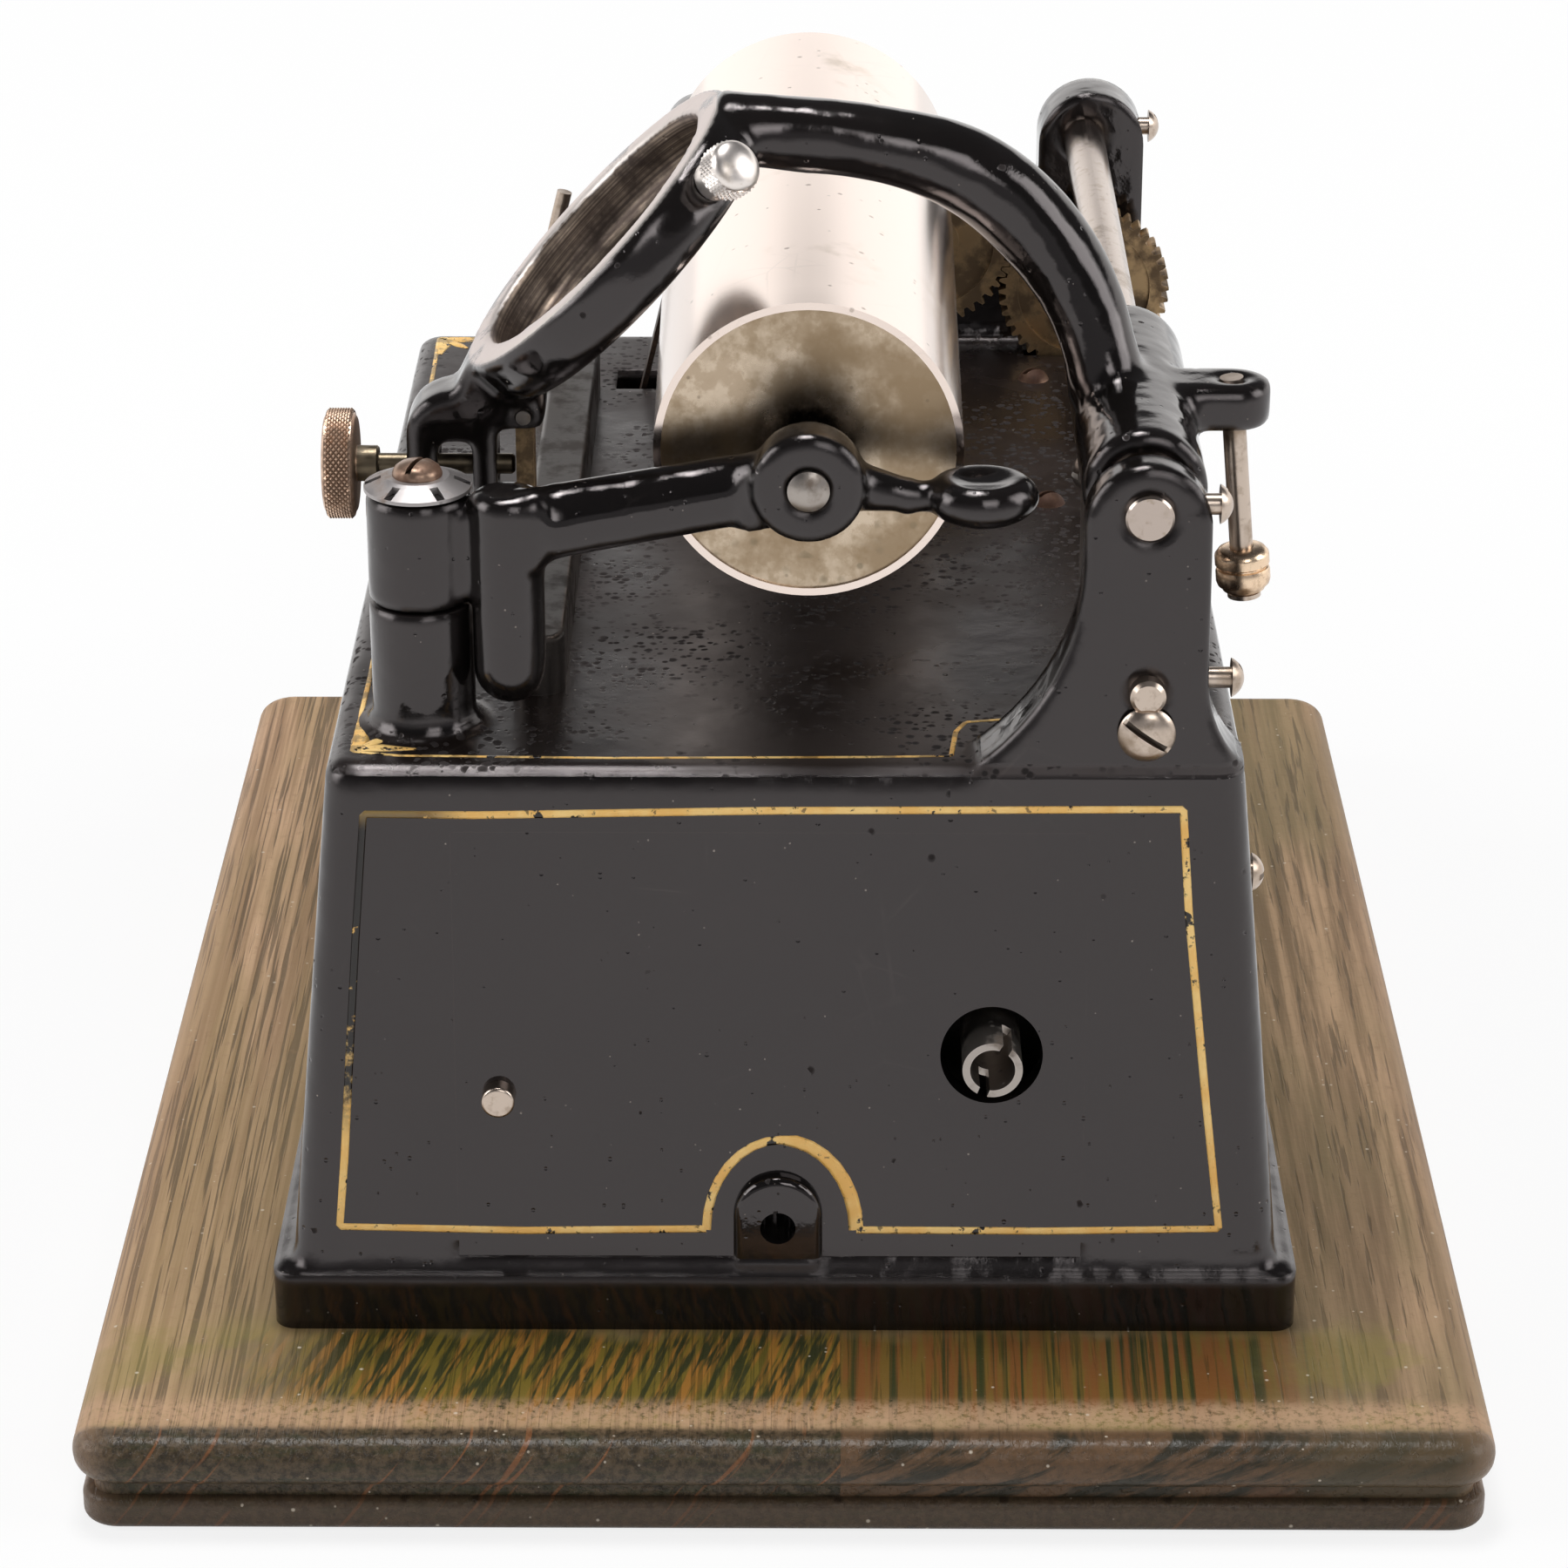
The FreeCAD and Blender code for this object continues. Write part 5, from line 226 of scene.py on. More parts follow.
cast_skin, taken, given = start_group("cast skin", {"Broad": 1.0, "Fine": 1.0}, ["Height"])
lumps = times(noise(taken["Vector"], 95.0, 2.0), taken["Broad"])
grit = times(noise(taken["Vector"], 900.0, 2.0), taken["Fine"])
feed(given["Height"], plus(lumps, times(grit, 0.12)))
print("groups", scratches.name, worn_edges.name, cast_skin.name)

# %% [markdown]
# Turned parts, such as the mandrel, the rod and the knobs, wear in rings about their own axis. One more
# group measures how far a point is from a line, and how far along it, so a pattern can follow the axis of
# a piece wherever it stands.

# %% Distance from an axis
from_axis, taken, given = start_group("from axis", {}, ["Radius", "Along"], ["Vector", "Point", "Direction"])
apart = vectors("SUBTRACT", taken["Vector"], taken["Point"])
along = vectors("DOT_PRODUCT", apart, taken["Direction"])
foot = put("VectorMath", {0: taken["Direction"], "Scale": along}, operation="SCALE")
feed(given["Radius"], vectors("LENGTH", vectors("SUBTRACT", apart, foot.outputs[0])))
feed(given["Along"], along)


def axis_of(vector, point, direction):
    """Radius and Along of the points of a piece about an axis, both in metres."""
    return placed(from_axis, vector, Point=point, Direction=Vector(direction).normalized())


print("group", from_axis.name)

# %% Start a material, and take one up again
def start_material(name, base, roughness, metallic=0.0):
    """A Principled material, with its shader and the coordinates that its patterns start from."""
    made = bpy.data.materials.new(name)
    made.use_nodes = True
    made.diffuse_color = base
    shader = made.node_tree.nodes["Principled BSDF"]
    shader.inputs["Base Color"].default_value = base
    shader.inputs["Roughness"].default_value = roughness
    shader.inputs["Metallic"].default_value = metallic
    return made, shader, put("TexCoord", {}, made.node_tree).outputs["Object"]


def reopened(made):
    """The shader, the coordinates and the colour of a material that was made earlier."""
    shader = made.node_tree.nodes["Principled BSDF"]
    place = made.node_tree.nodes["Texture Coordinate"].outputs["Object"]
    return shader, place, shader.inputs["Base Color"].links[0].from_socket


def relief(shader, height, depth, strength=1.0):
    """Raises the surface by height times depth, in metres."""
    inputs = {"Height": height, "Distance": depth, "Strength": strength}
    feed(shader.inputs["Normal"], put("Bump", inputs).outputs[0])


def wire(shader, **sockets):
    for label, value in sockets.items():
        feed(shader.inputs[label.replace("_", " ")], value)


# %% [markdown]
# Black japan is an asphalt varnish baked onto rough iron. It is nearly black and very glossy, so what the
# eye sees is its reflections, and they wander with every lump of the casting. The edges of a casting are
# never sharp, and a Bevel node rounds them for the light. Age gives the varnish pits, rust, hair scratches
# and rubbed edges, most of all on the top plate. The ring that holds the reproducer is rubbed down to grey
# iron on its rim, and its bore is brown, so two masks about the ring's axis bring those in.

# %% Where the ring and the top plate are
ring_tilt = math.radians(46.0)
ring_axis = Vector((0.0, -math.sin(ring_tilt), math.cos(ring_tilt)))
ring_top = Vector((0.0465, -0.0259, 0.1542))
plate_height = 0.0926


# %% Masks on the castings
def ring_wear(place):
    """Masks for the ring's rubbed rim and for its bore, and the lathe marks in the bore."""
    radius, along = axis_of(place, ring_top, ring_axis)
    rim = times(ranged(radius, 0.0246, 0.0238), ranged(radius, 0.0199, 0.0201))
    rim = times(rim, ranged(maths("ABSOLUTE", along), 0.0009, 0.0004))
    rim = times(rim, patchy(place, 110.0, 0.30, 0.44))
    bore = times(ranged(radius, 0.0204, 0.0201), ranged(along, -0.0100, -0.0095))
    bore = times(bore, ranged(radius, 0.0169, 0.0172))
    turning = put("CombineXYZ", {0: times(along, 2600.0)}).outputs[0]
    return rim, bore, ranged(noise(turning, 1.0, 2.0), 0.40, 0.60)


def wall_seam(x, y, z):
    """The wall's middle is a piece of its own, flush with the rest, and no edge may show round it."""
    front, rear, top, reach, soft = -0.0440, 0.0400, 0.0840, 0.0035, 0.0003
    sides = most(inside(y, front - reach, front + reach, soft), inside(y, rear - reach, rear + reach, soft))
    above = times(inside(z, top - reach, top + reach, soft), inside(y, front - reach, rear + reach, soft))
    seam = most(times(sides, ranged(z, 0.0880, 0.0875)), above)
    return times(times(seam, inside(x, 0.0820, 0.0950, 0.0002)), ranged(z, 0.0256, 0.0266))


def barrelled(x, y, z):
    """How far the bar of the gate and the bow of the arm look up, since both are a little barrelled."""
    on_bar = times(inside(y, -0.0310, -0.0062, 0.0015), ranged(x, 0.0740, 0.0750))
    on_bar = times(on_bar, inside(z, 0.1150, 0.1330, 0.0005))
    bar_slope, bar_middle = 0.19, 0.12826
    over_middle = minus(minus(z, times(y, bar_slope)), bar_middle)
    on_bow = times(inside(x, 0.0300, 0.0620, 0.0005), ranged(z, 0.1300, 0.1360))
    on_bow = times(on_bow, ranged(y, 0.0300, 0.0400))
    return plus(times(on_bar, ranged(over_middle, -0.0008, 0.0022, 0.0, 0.38)), times(on_bow, 0.30))


# %% Black japan
def black_japan(name, rounded, lumpy):
    made, shader, place = start_material(name, colour(20, 17, 16), 0.12)
    shader.inputs["IOR"].default_value = 1.63
    shader.inputs["Specular Tint"].default_value = (1.0, 0.91, 0.91, 1.0)
    x, y, z = xyz(place)
    on_plate = ranged(maths("ABSOLUTE", minus(z, plate_height)), 0.0012, 0.0004)
    cloudy = patchy(place, 26.0, 0.42, 0.66)
    worn_patch = patchy(place, 46.0, 0.42, 0.58)
    rusty = specked(place, 880.0, 0.80, between(on_plate, 0.004, 0.72))
    rusty = times(rusty, between(on_plate, 1.0, worn_patch))
    pitted = specked(place, 1150.0, 0.5, 0.05)
    dust = specked(place, 1500.0, 0.34, between(worn_patch, 0.004, 0.03))
    scratched = placed(scratches, place, Scale=70.0, Cover=0.55)[0]
    # the top plate: a thin brown film of old oil and dust
    film = times(on_plate, between(cloudy, 0.45, 1.0))
    shade = mixed(cloudy, colour(17, 15, 14), colour(24, 21, 20))
    shade = laid(shade, colour(34, 26, 23), film)
    shade = laid(shade, colour(92, 84, 80), scratched, 0.22)
    if rounded:
        worn = placed(worn_edges, place, Radius=0.0005, Low=0.20, High=0.46)[0]
        shade = laid(shade, colour(74, 62, 54), worn, 0.4)
    shade = laid(shade, mixed(cloudy, colour(20, 14, 12), colour(8, 6, 5)), rusty)
    shade = laid(shade, colour(6, 5, 5), pitted)
    shade = laid(shade, colour(170, 160, 150), dust, 0.6)
    # the ring: bare rim and brown bore
    rim, bore, lathe = ring_wear(place)
    bare = most(rim, bore)
    bore_shade = mixed(lathe, colour(86, 74, 66), colour(150, 134, 118))
    bore_shade = mixed(patchy(place, 160.0, 0.35, 0.65), colour(66, 56, 50), bore_shade)
    shade = laid(shade, colour(206, 199, 194), rim)
    shade = laid(shade, bore_shade, bore)
    gloss = between(cloudy, 0.06, 0.11)
    for mask, roughness in ((film, 0.46), (most(dust, bare), 0.40), (rusty, 0.95)):
        gloss = between(mask, gloss, roughness)
    wire(shader, Base_Color=shade, Roughness=gloss, Metallic=times(bare, 0.75))
    skin = placed(cast_skin, place, Broad=between(on_plate, lumpy, 0.3), Fine=0.30)[0]
    relief(shader, minus(skin, times(most(rusty, pitted), 0.14)), 0.0009, 0.5)
    if rounded:
        near_edge = times(ranged(x, 0.0790, 0.0800), inside(z, 0.0870, 0.0940, 0.0005))
        radius = between(near_edge, 0.0024, 0.0040)
        edges = put("Bevel", {"Radius": radius}, samples=8).outputs[0]
        plain = put("NewGeometry", {}, made.node_tree).outputs["Normal"]
        inputs = {0: wall_seam(x, y, z), 4: edges, 5: plain}
        soft = put("Mix", inputs, data_type="VECTOR").outputs[1]
        lifted = put("CombineXYZ", {2: barrelled(x, y, z)}).outputs[0]
        bump = shader.inputs["Normal"].links[0].from_node
        feed(bump.inputs["Normal"], vectors("NORMALIZE", vectors("ADD", soft, lifted)))
    return made


japan = black_japan("black japan", True, 1.0)
japan_flat = black_japan("black japan, flat wall", False, 0.35)
print("finishes", japan.name, japan_flat.name)

# %% [markdown]
# Nickel plate is warm and nearly white, and shows what is round it. The mandrel is polished and only a
# little stained, but its end disc has gone yellow and brown in blotches, with a dark smudge by the hub.
# One recipe makes both: the stain starts at a threshold that each finish sets for itself.

# %% Nickel plate, bright and tarnished
def nickel_plate(name, clean, stain, start, roughness, scale=60.0):
    made, shader, place = start_material(name, clean, roughness, 1.0)
    blotch = patchy(place, scale, start, start + 0.22)
    fine = patchy(place, scale * 5.0, start + 0.06, start + 0.2)
    spots = specked(place, 700.0, 0.4, 0.10)
    marks = placed(scratches, place, Scale=110.0, Cover=0.45)[0]
    shade = laid(clean, stain, blotch, 0.85)
    shade = laid(shade, stain, fine, 0.45)
    shade = laid(shade, colour(120, 106, 88), spots, 0.4)
    shade = laid(shade, colour(120, 112, 104), marks, 0.10)
    dull = between(most(blotch, spots), roughness, roughness + 0.1)
    wire(shader, Base_Color=shade, Roughness=dull)
    relief(shader, minus(times(marks, 0.3), spots), 0.00001, 0.3)
    return made


nickel = nickel_plate("nickel plate", colour(238, 222, 212), colour(218, 200, 180), 0.60, 0.15)
nickel_rod = nickel_plate("nickel rod", colour(186, 172, 162), colour(150, 132, 110), 0.48, 0.20, 120.0)
nickel_bright = nickel_plate("bright nickel", colour(240, 232, 226), colour(190, 176, 160), 0.54, 0.34, 200.0)
roller_nickel = nickel_plate("roller nickel", colour(240, 212, 182), colour(166, 138, 110), 0.46, 0.26, 220.0)
nickel_dull = nickel_plate("tarnished nickel", colour(200, 184, 170), colour(150, 132, 114),
                           0.46, 0.28, 140.0)
disc_nickel = nickel_plate("stained end disc", colour(206, 188, 166), colour(150, 128, 100), 0.38, 0.26, 75.0)

# %% Grime, a painted highlight round the rim, and a smudge on the end disc
mandrel_point = (0.0, 0.003, 0.1295)
shader, place, shade = reopened(disc_nickel)
radius = axis_of(place, mandrel_point, (1, 0, 0))[0]
smudge = times(ranged(radius, 0.0095, 0.0050), patchy(place, 150.0, 0.3, 0.6))
grime = times(specked(place, 420.0, 0.75, 0.28), ranged(xyz(place)[2], 0.128, 0.112))
shade = laid(shade, colour(122, 112, 92), grime, 0.6)
# painted highlight: the rim of the disc is made brighter all round
shade = laid(shade, colour(226, 218, 204), ranged(radius, 0.0196, 0.0204))
wire(shader, Base_Color=laid(shade, colour(34, 30, 26), smudge))
print("finishes", nickel.name, nickel_rod.name, nickel_bright.name, nickel_dull.name, disc_nickel.name)

# %% [markdown]
# Steel and brass are bare metal here. Steel screws go brown with rust in their corners, and brass goes
# dull and olive. Both are the same idea as the nickel, with more of the stain, so one function makes all
# of them from a clean colour, a stain colour and how much of the stain there is.

# %% Steel, rusty steel and brass
def bare_metal(name, clean, stain, start, roughness, scale=180.0):
    metallic = 0.95
    made, shader, place = start_material(name, clean, roughness, metallic)
    stained = patchy(place, scale, start, start + 0.2)
    dirt = specked(place, 800.0, 0.5, 0.2)
    turned = noise(stretched(place, (2600.0, 130.0, 130.0)), 1.0, 2.0)
    edge = placed(worn_edges, place, Radius=0.0003, Low=0.1, High=0.4)[0]
    shade = laid(clean, stain, stained)
    shade = laid(shade, colour(40, 32, 26), dirt, 0.5)
    shade = laid(shade, clean, turned, 0.2)
    shade = mixed(times(edge, 0.5), shade, clean, "SCREEN")
    dull = between(stained, roughness, roughness + 0.25)
    bright = between(most(stained, dirt), metallic, metallic - 0.45)
    wire(shader, Base_Color=shade, Roughness=dull, Metallic=bright)
    relief(shader, plus(turned, times(dirt, -1.0)), 0.00002, 0.5)
    return made


steel = bare_metal("aged steel", colour(168, 160, 153), colour(112, 98, 86), 0.5, 0.30)
steel_dark = bare_metal("dark oiled steel", colour(78, 73, 70), colour(44, 37, 32), 0.45, 0.34)
steel_blue = bare_metal("blued steel washer", colour(172, 167, 166), colour(136, 121, 111), 0.54, 0.46)
steel_rusty = bare_metal("rusted steel", colour(116, 92, 76), colour(70, 44, 32), 0.34, 0.42)
copper_brown = bare_metal("rust-brown screw head", colour(156, 130, 112), colour(104, 76, 60),
                          0.42, 0.34, 300.0)
brass = bare_metal("dull brass", colour(192, 162, 122), colour(92, 74, 54), 0.42, 0.36)
brass_dark = bare_metal("tarnished brass", colour(184, 160, 134), colour(116, 96, 74), 0.42, 0.30)
knob_brass = bare_metal("worn brass knob", colour(216, 184, 160), colour(160, 130, 108), 0.46, 0.34, 260.0)

# %% Darker knurl grooves on the knob, and painted shade in the washer's notches
knob_x, knob_z = 0.0495, 0.1217
shader, place, shade = reopened(knob_brass)
radius = axis_of(place, (knob_x, 0.0, knob_z), (0, 1, 0))[0]
grooves = times(ranged(radius, 0.00732, 0.00720), ranged(radius, 0.00700, 0.00712))
shade = laid(shade, colour(48, 36, 30), grooves, 0.4)
shade = laid(shade, colour(232, 204, 180), ranged(radius, 0.00730, 0.00746), 0.7)
wire(shader, Base_Color=laid(shade, colour(108, 97, 80), ranged(xyz(place)[1], -0.0583, -0.0578)))

hinge_x, hinge_y = 0.0695, -0.0483
notch_floor = 0.1263
shader, place, shade = reopened(steel_blue)
radius, above = axis_of(place, (hinge_x, hinge_y, notch_floor), (0, 0, 1))
# painted shade: the washer's notches are painted dark
notch_painted_shade = times(ranged(above, 0.00007, 0.00004), ranged(radius, 0.00700, 0.00690))
wire(shader, Base_Color=laid(shade, colour(22, 18, 17), notch_painted_shade, 0.92))
print("finishes", steel.name, steel_dark.name, steel_rusty.name, brass.name, brass_dark.name, knob_brass.name)

# %% [markdown]
# Leather takes the belt and the brake pad. It is fine grain with darker creases, which a Voronoi pattern
# gives, and oil has made the belt nearly black.

# %% Leather
def leather(name, light, dark):
    made, shader, place = start_material(name, light, 0.6)
    inputs = {"Vector": place, "Scale": 900.0}
    cells = put("TexVoronoi", inputs, feature="DISTANCE_TO_EDGE").outputs["Distance"]
    oily = patchy(place, 120.0, 0.4, 0.65)
    shade = laid(light, dark, oily)
    shade = laid(shade, dark, ranged(cells, 0.12, 0.02), 0.6)
    wire(shader, Base_Color=shade, Roughness=between(oily, 0.68, 0.42))
    relief(shader, cells, 0.0002, 0.5)
    return made


belt_leather = leather("oiled belt leather", colour(74, 54, 40), colour(34, 26, 20))
pad_leather = leather("brake leather", colour(134, 98, 66), colour(84, 58, 38))
print("finishes", belt_leather.name, pad_leather.name)

# %% [markdown]
# The base is oak that was stained green and has gone brown and dusty. The grain runs along X. The front
# plank shows its silver grain as slanting flecks, the rear plank shows straight stripes, and both show
# end grain on the near edge. Where the dust was wiped off in front of the casting, the old green and
# orange is vivid. One group makes the open pores, and each plank then gets its own figure over them.

# %% The pores of oak
pore_sizes = {"Length": 26.0, "Width": 760.0, "Cover": 0.6}
pores, taken, given = start_group("oak pores", pore_sizes, ["Mask", "Fibre"])
across = put("CombineXYZ", {0: taken["Length"], 1: taken["Width"], 2: taken["Width"]})
run = vectors("MULTIPLY", taken["Vector"], across.outputs[0])
feed(given["Mask"], ranged(noise(run, 1.0), taken["Cover"], plus(taken["Cover"], 0.07)))
feed(given["Fibre"], noise(vectors("MULTIPLY", run, (0.35, 0.4, 0.4)), 1.0, 5.0, 0.65))
print("group", pores.name)


# %% The figure under the dust, and the end grain
def wiped_figure(place, pore, flecked, tones):
    """Vivid figure, slanting a little on the front plank and straight on the rear one."""
    slant = (0, 0, 13.0 if flecked else 1.0)
    size = (75.0, 820.0, 820.0) if flecked else (8.0, 760.0, 760.0)
    low, high = (0.42, 0.54) if flecked else (0.38, 0.50)
    figure = noise(stretched(place, size, slant), 1.0, 3.0, 0.6)
    tone = noise(stretched(place, (46.0, 560.0, 560.0), slant), 1.0, 2.0)
    vivid = mixed(ranged(tone, 0.44, 0.60), tones[0], tones[1])
    vivid = mixed(ranged(figure, low, high), tones[2], vivid)
    return laid(vivid, tones[2], pore, 0.45)


def end_grain(place, y, grit, flecked):
    """Olive with orange hairs on the end of the front plank, and brown waves on the rear one."""
    if flecked:
        streaky = noise(stretched(place, (160.0, 160.0, 900.0)), 1.0, 3.0, 0.6)
        hairs = noise(stretched(place, (20.0, 900.0, 40.0), (38, 0, 0)), 1.0, 1.0)
        end = mixed(ranged(grit, 0.35, 0.65), colour(50, 42, 30), colour(86, 72, 54))
        end = laid(end, colour(48, 52, 28), ranged(streaky, 0.5, 0.64), 0.45)
        return laid(end, colour(140, 88, 52), ranged(hairs, 0.66, 0.71), 0.55)
    wave = noise(stretched(place, (30.0, 60.0, 420.0), (-24, 0, 0)), 1.0, 4.0, 0.65)
    end = mixed(ranged(wave, 0.42, 0.56), colour(44, 40, 28), colour(98, 74, 52))
    end = laid(end, colour(118, 74, 50), patchy(place, 40.0, 0.5, 0.62), 0.4)
    end = laid(end, colour(56, 48, 36), ranged(grit, 0.40, 0.60), 0.3)
    return laid(end, colour(76, 66, 46), ranged(y, 0.060, 0.075), 0.7)


# %% Oak, from its figure and its dirt
def oak(name, flecked, dusty_top, dusty_dark, cloud, wiped, lower=False):
    made, shader, place = start_material(name, dusty_top, 0.6)
    shader.inputs["Specular IOR Level"].default_value = 0.3
    x, y, z = xyz(place)
    length, width, cover = (26.0, 1700.0, 0.52) if flecked else (50.0, 1250.0, 0.57)
    pore, fibre = placed(pores, place, Length=length, Width=width, Cover=cover)
    # the dusty top: pale fibres, dark pores, broad olive and brown clouds drawn out along the grain
    broad = patchy(stretched(place, (0.28, 1.0, 1.0)), 34.0, 0.40, 0.60)
    band = noise(stretched(place, (5.0, 150.0, 150.0), (0, 0, 2.0)), 1.0, 3.0, 0.6)
    shade = mixed(ranged(fibre, 0.36, 0.64), dusty_dark, dusty_top)
    shade = laid(shade, cloud, broad, 0.6)
    shade = laid(shade, dusty_dark, ranged(band, 0.52, 0.64), 0.45)
    shade = laid(shade, colour(60, 50, 36), pore, 0.62 if flecked else 0.5)
    shade = laid(shade, dusty_dark, ranged(noise(place, 650.0, 4.0, 0.7), 0.54, 0.70), 0.35)
    # near the casting the board is darker and greener: stain under thinner dust, and a painted shadow
    casting_shadow_and_stain = ranged(maths("ABSOLUTE", y), 0.0900, 0.0620)
    nearer = times(ranged(x, 0.060, 0.100, 0.48, 0.72), ranged(x, 0.1085, 0.1140, 1.0, 0.25))
    shade = laid(shade, colour(100, 86, 54), casting_shadow_and_stain, nearer)
    olive = times(patchy(place, 60.0, 0.46, 0.60), ranged(x, 0.088, 0.100))
    shade = laid(shade, colour(132, 122, 58), olive, 0.45)
    # the wiped strip in front of the casting, with a wandering edge
    wander = times(minus(noise(place, 110.0), 0.5), 0.010)
    strip = inside(plus(x, wander), 0.0955, 0.1165, 0.0030)
    strip = times(strip, inside(plus(y, wander), -0.066, 0.070, 0.013))
    shade = laid(shade, wiped_figure(place, pore, flecked, wiped), strip, 0.9)
    # the near edge, a paler band along its arris, and rubbed side edges
    at_end = ranged(plus(x, times(z, -0.55)), 0.1120, 0.1138)
    grit = noise(place, 900.0, 3.0, 0.7)
    arris = times(inside(x, 0.1138, 0.1198, 0.0022), ranged(grit, 0.32, 0.55))
    side = ranged(maths("ABSOLUTE", y), 0.0870, 0.0925)
    shade = laid(shade, end_grain(place, y, grit, flecked), at_end)
    shade = laid(shade, colour(190, 154, 122), arris, 0.66)
    shade = laid(shade, colour(160, 130, 106), side, 0.35)
    if lower:
        shade = laid(shade, colour(80, 64, 50), 0.55)
        shade = laid(shade, colour(32, 24, 18), specked(place, 420.0, 0.5, 0.22), 0.7)
    shade = laid(shade, colour(206, 194, 176), specked(place, 900.0, 0.34, 0.07), 0.7)
    wax = between(most(strip, at_end), between(fibre, 0.50, 0.66), 0.38)
    wire(shader, Base_Color=shade, Roughness=wax)
    grain = minus(times(fibre, 0.6), times(pore, 0.6))
    rough_end = times(noise(place, 420.0), between(at_end, 0.5, 1.5))
    relief(shader, plus(grain, rough_end), 0.0003, 0.5)
    return made


oak_front = oak("green oak, front plank", True, colour(204, 168, 134), colour(150, 118, 88),
                colour(158, 134, 94), (colour(110, 94, 32), colour(150, 102, 40), colour(38, 46, 22)))
oak_rear = oak("green oak, rear plank", False, colour(178, 147, 115), colour(124, 100, 74),
               colour(124, 110, 76), (colour(112, 86, 36), colour(120, 74, 36), colour(42, 50, 24)))
oak_lower = oak("brown oak, lower board", True, colour(122, 96, 76), colour(86, 70, 56), colour(102, 86, 62),
                (colour(98, 86, 52), colour(112, 84, 50), colour(52, 46, 34)), lower=True)
print("finishes", oak_front.name, oak_rear.name, oak_lower.name)

# %% [markdown]
# The gold lines were painted by hand with a long thin brush over the japan. Each is a curve with a round
# bevel, because a curve's own radius makes a stroke swell and thin as a brush does. It is made a mesh,
# pressed flat and laid on the iron, so only a hair of paint stands proud of it.

# %% Gold paint, worn where hands rubbed it
gold, shader, place = start_material("gold line", colour(244, 196, 114), 0.42)
x, y, z = xyz(place)
left_side = times(ranged(y, -0.0405, -0.0480), inside(z, 0.0440, 0.0880, 0.0040))
left_side = times(left_side, ranged(x, 0.0830, 0.0845))
crumbs = patchy(place, 520.0, 0.30, between(ranged(z, 0.046, 0.064), 0.60, 0.38))
thin = times(ranged(x, 0.0845, 0.0830), patchy(place, 300.0, 0.46, 0.56))
lost = most(patchy(place, 380.0, 0.60, 0.64), times(patchy(place, 900.0, 0.60, 0.66), 0.7))
lost = most(most(lost, times(left_side, crumbs)), times(thin, 0.55))
shade = mixed(patchy(place, 160.0, 0.35, 0.65), colour(246, 192, 104), colour(255, 216, 138))
wire(shader, Base_Color=laid(shade, colour(30, 25, 22), lost), Roughness=between(lost, 0.42, 0.2))
relief(shader, placed(cast_skin, place, Broad=1.0, Fine=1.0)[0], 0.0004, 0.4)
print("finish", gold.name)


# %% From a bmesh to an object in the scene
def mesh_of(bm, name):
    mesh = bpy.data.meshes.new(name)
    bm.to_mesh(mesh)
    bm.free()
    return mesh


def bmesh_of(mesh):
    bm = bmesh.new()
    bm.from_mesh(mesh)
    return bm


def add_object(name, data):
    made = bpy.data.objects.new(name, data)
    bpy.context.scene.collection.objects.link(made)
    return made


# %% Lay strokes on a flat face
def painted_line(name, corner, across, up, strokes):
    """Strokes are lists of (across, up, half width) in millimetres from the corner of a flat face."""
    thickness = 0.00008
    across, up = Vector(across).normalized(), Vector(up).normalized()
    placing = Matrix((across, up, across.cross(up))).transposed().to_4x4()
    placing.translation = Vector(corner)
    curve = bpy.data.curves.new(name, "CURVE")
    curve.dimensions = "3D"
    curve.bevel_depth = 0.001
    curve.bevel_resolution = 1
    curve.use_fill_caps = True
    for stroke in strokes:
        line = curve.splines.new("POLY")
        line.points.add(len(stroke) - 1)
        for point, (u, v, width) in zip(line.points, stroke):
            point.co = (u / 1000.0, v / 1000.0, 0.0, 1.0)
            point.radius = width
    holder = bpy.data.objects.new(name, curve)
    mesh = bpy.data.meshes.new_from_object(holder)
    bpy.data.objects.remove(holder)
    bm = bmesh_of(mesh)
    for vertex in bm.verts:
        vertex.co.z = max(-thickness, min(thickness, vertex.co.z))
    bmesh.ops.transform(bm, matrix=placing, verts=bm.verts)
    bmesh.ops.recalc_face_normals(bm, faces=bm.faces)
    bm.to_mesh(mesh)
    bm.free()
    mesh.name = name
    mesh.materials.append(gold)
    made = add_object(name, mesh)
    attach(made, "chassis")
    print(name, len(mesh.polygons), "faces")


def stroke_of(points, width):
    """A stroke of one width, with its corners kept full by a point close on each side."""
    points = [Vector(point) for point in points]
    full = points[:1]
    for before, here, after in zip(points, points[1:], points[2:]):
        for other in (before, after):
            step = other - here
            full.append(here + step.normalized() * min(0.35, step.length / 3))
    return [(point.x, point.y, width) for point in full + points[-1:]]


# %% The lines on the near wall
# The wall leans back as it rises, so its points are measured up the slope from the floor of the wall.
wall_slope = 0.10787
wall_foot_x, slope_starts_z = 0.0935, 0.024
lean = math.atan(wall_slope)
wall_foot = Vector((wall_foot_x + wall_slope * slope_starts_z, 0.0, 0.0))
frame_line = [(-10.6, 27.9), (-35.4, 27.6), (-60.1, 28.1), (-59.2, 37.9), (-58.0, 54.2), (-56.9, 68.9),
              (-55.4, 86.5), (-40.7, 86.4), (-2.4, 87.1), (52.3, 87.4), (53.4, 72.8), (56.3, 47.0),
              (58.6, 28.1), (35.2, 27.7), (9.7, 27.8)]
frame_line = [(across, height / math.cos(lean)) for across, height in frame_line]
arch_across, arch_height, arch_wide, arch_high, arch_steps = -0.45, 27.8, 10.1, 13.0, 16
arch = []
for step in range(arch_steps + 1):
    angle = math.pi * step / arch_steps
    height = (arch_height + arch_high * math.sin(angle)) / math.cos(lean)
    swell = 0.34 * (0.82 - 0.28 * math.cos(angle)) if step > arch_steps / 2 else 0.0
    arch.append((arch_across - arch_wide * math.cos(angle), height, 0.62 + swell))
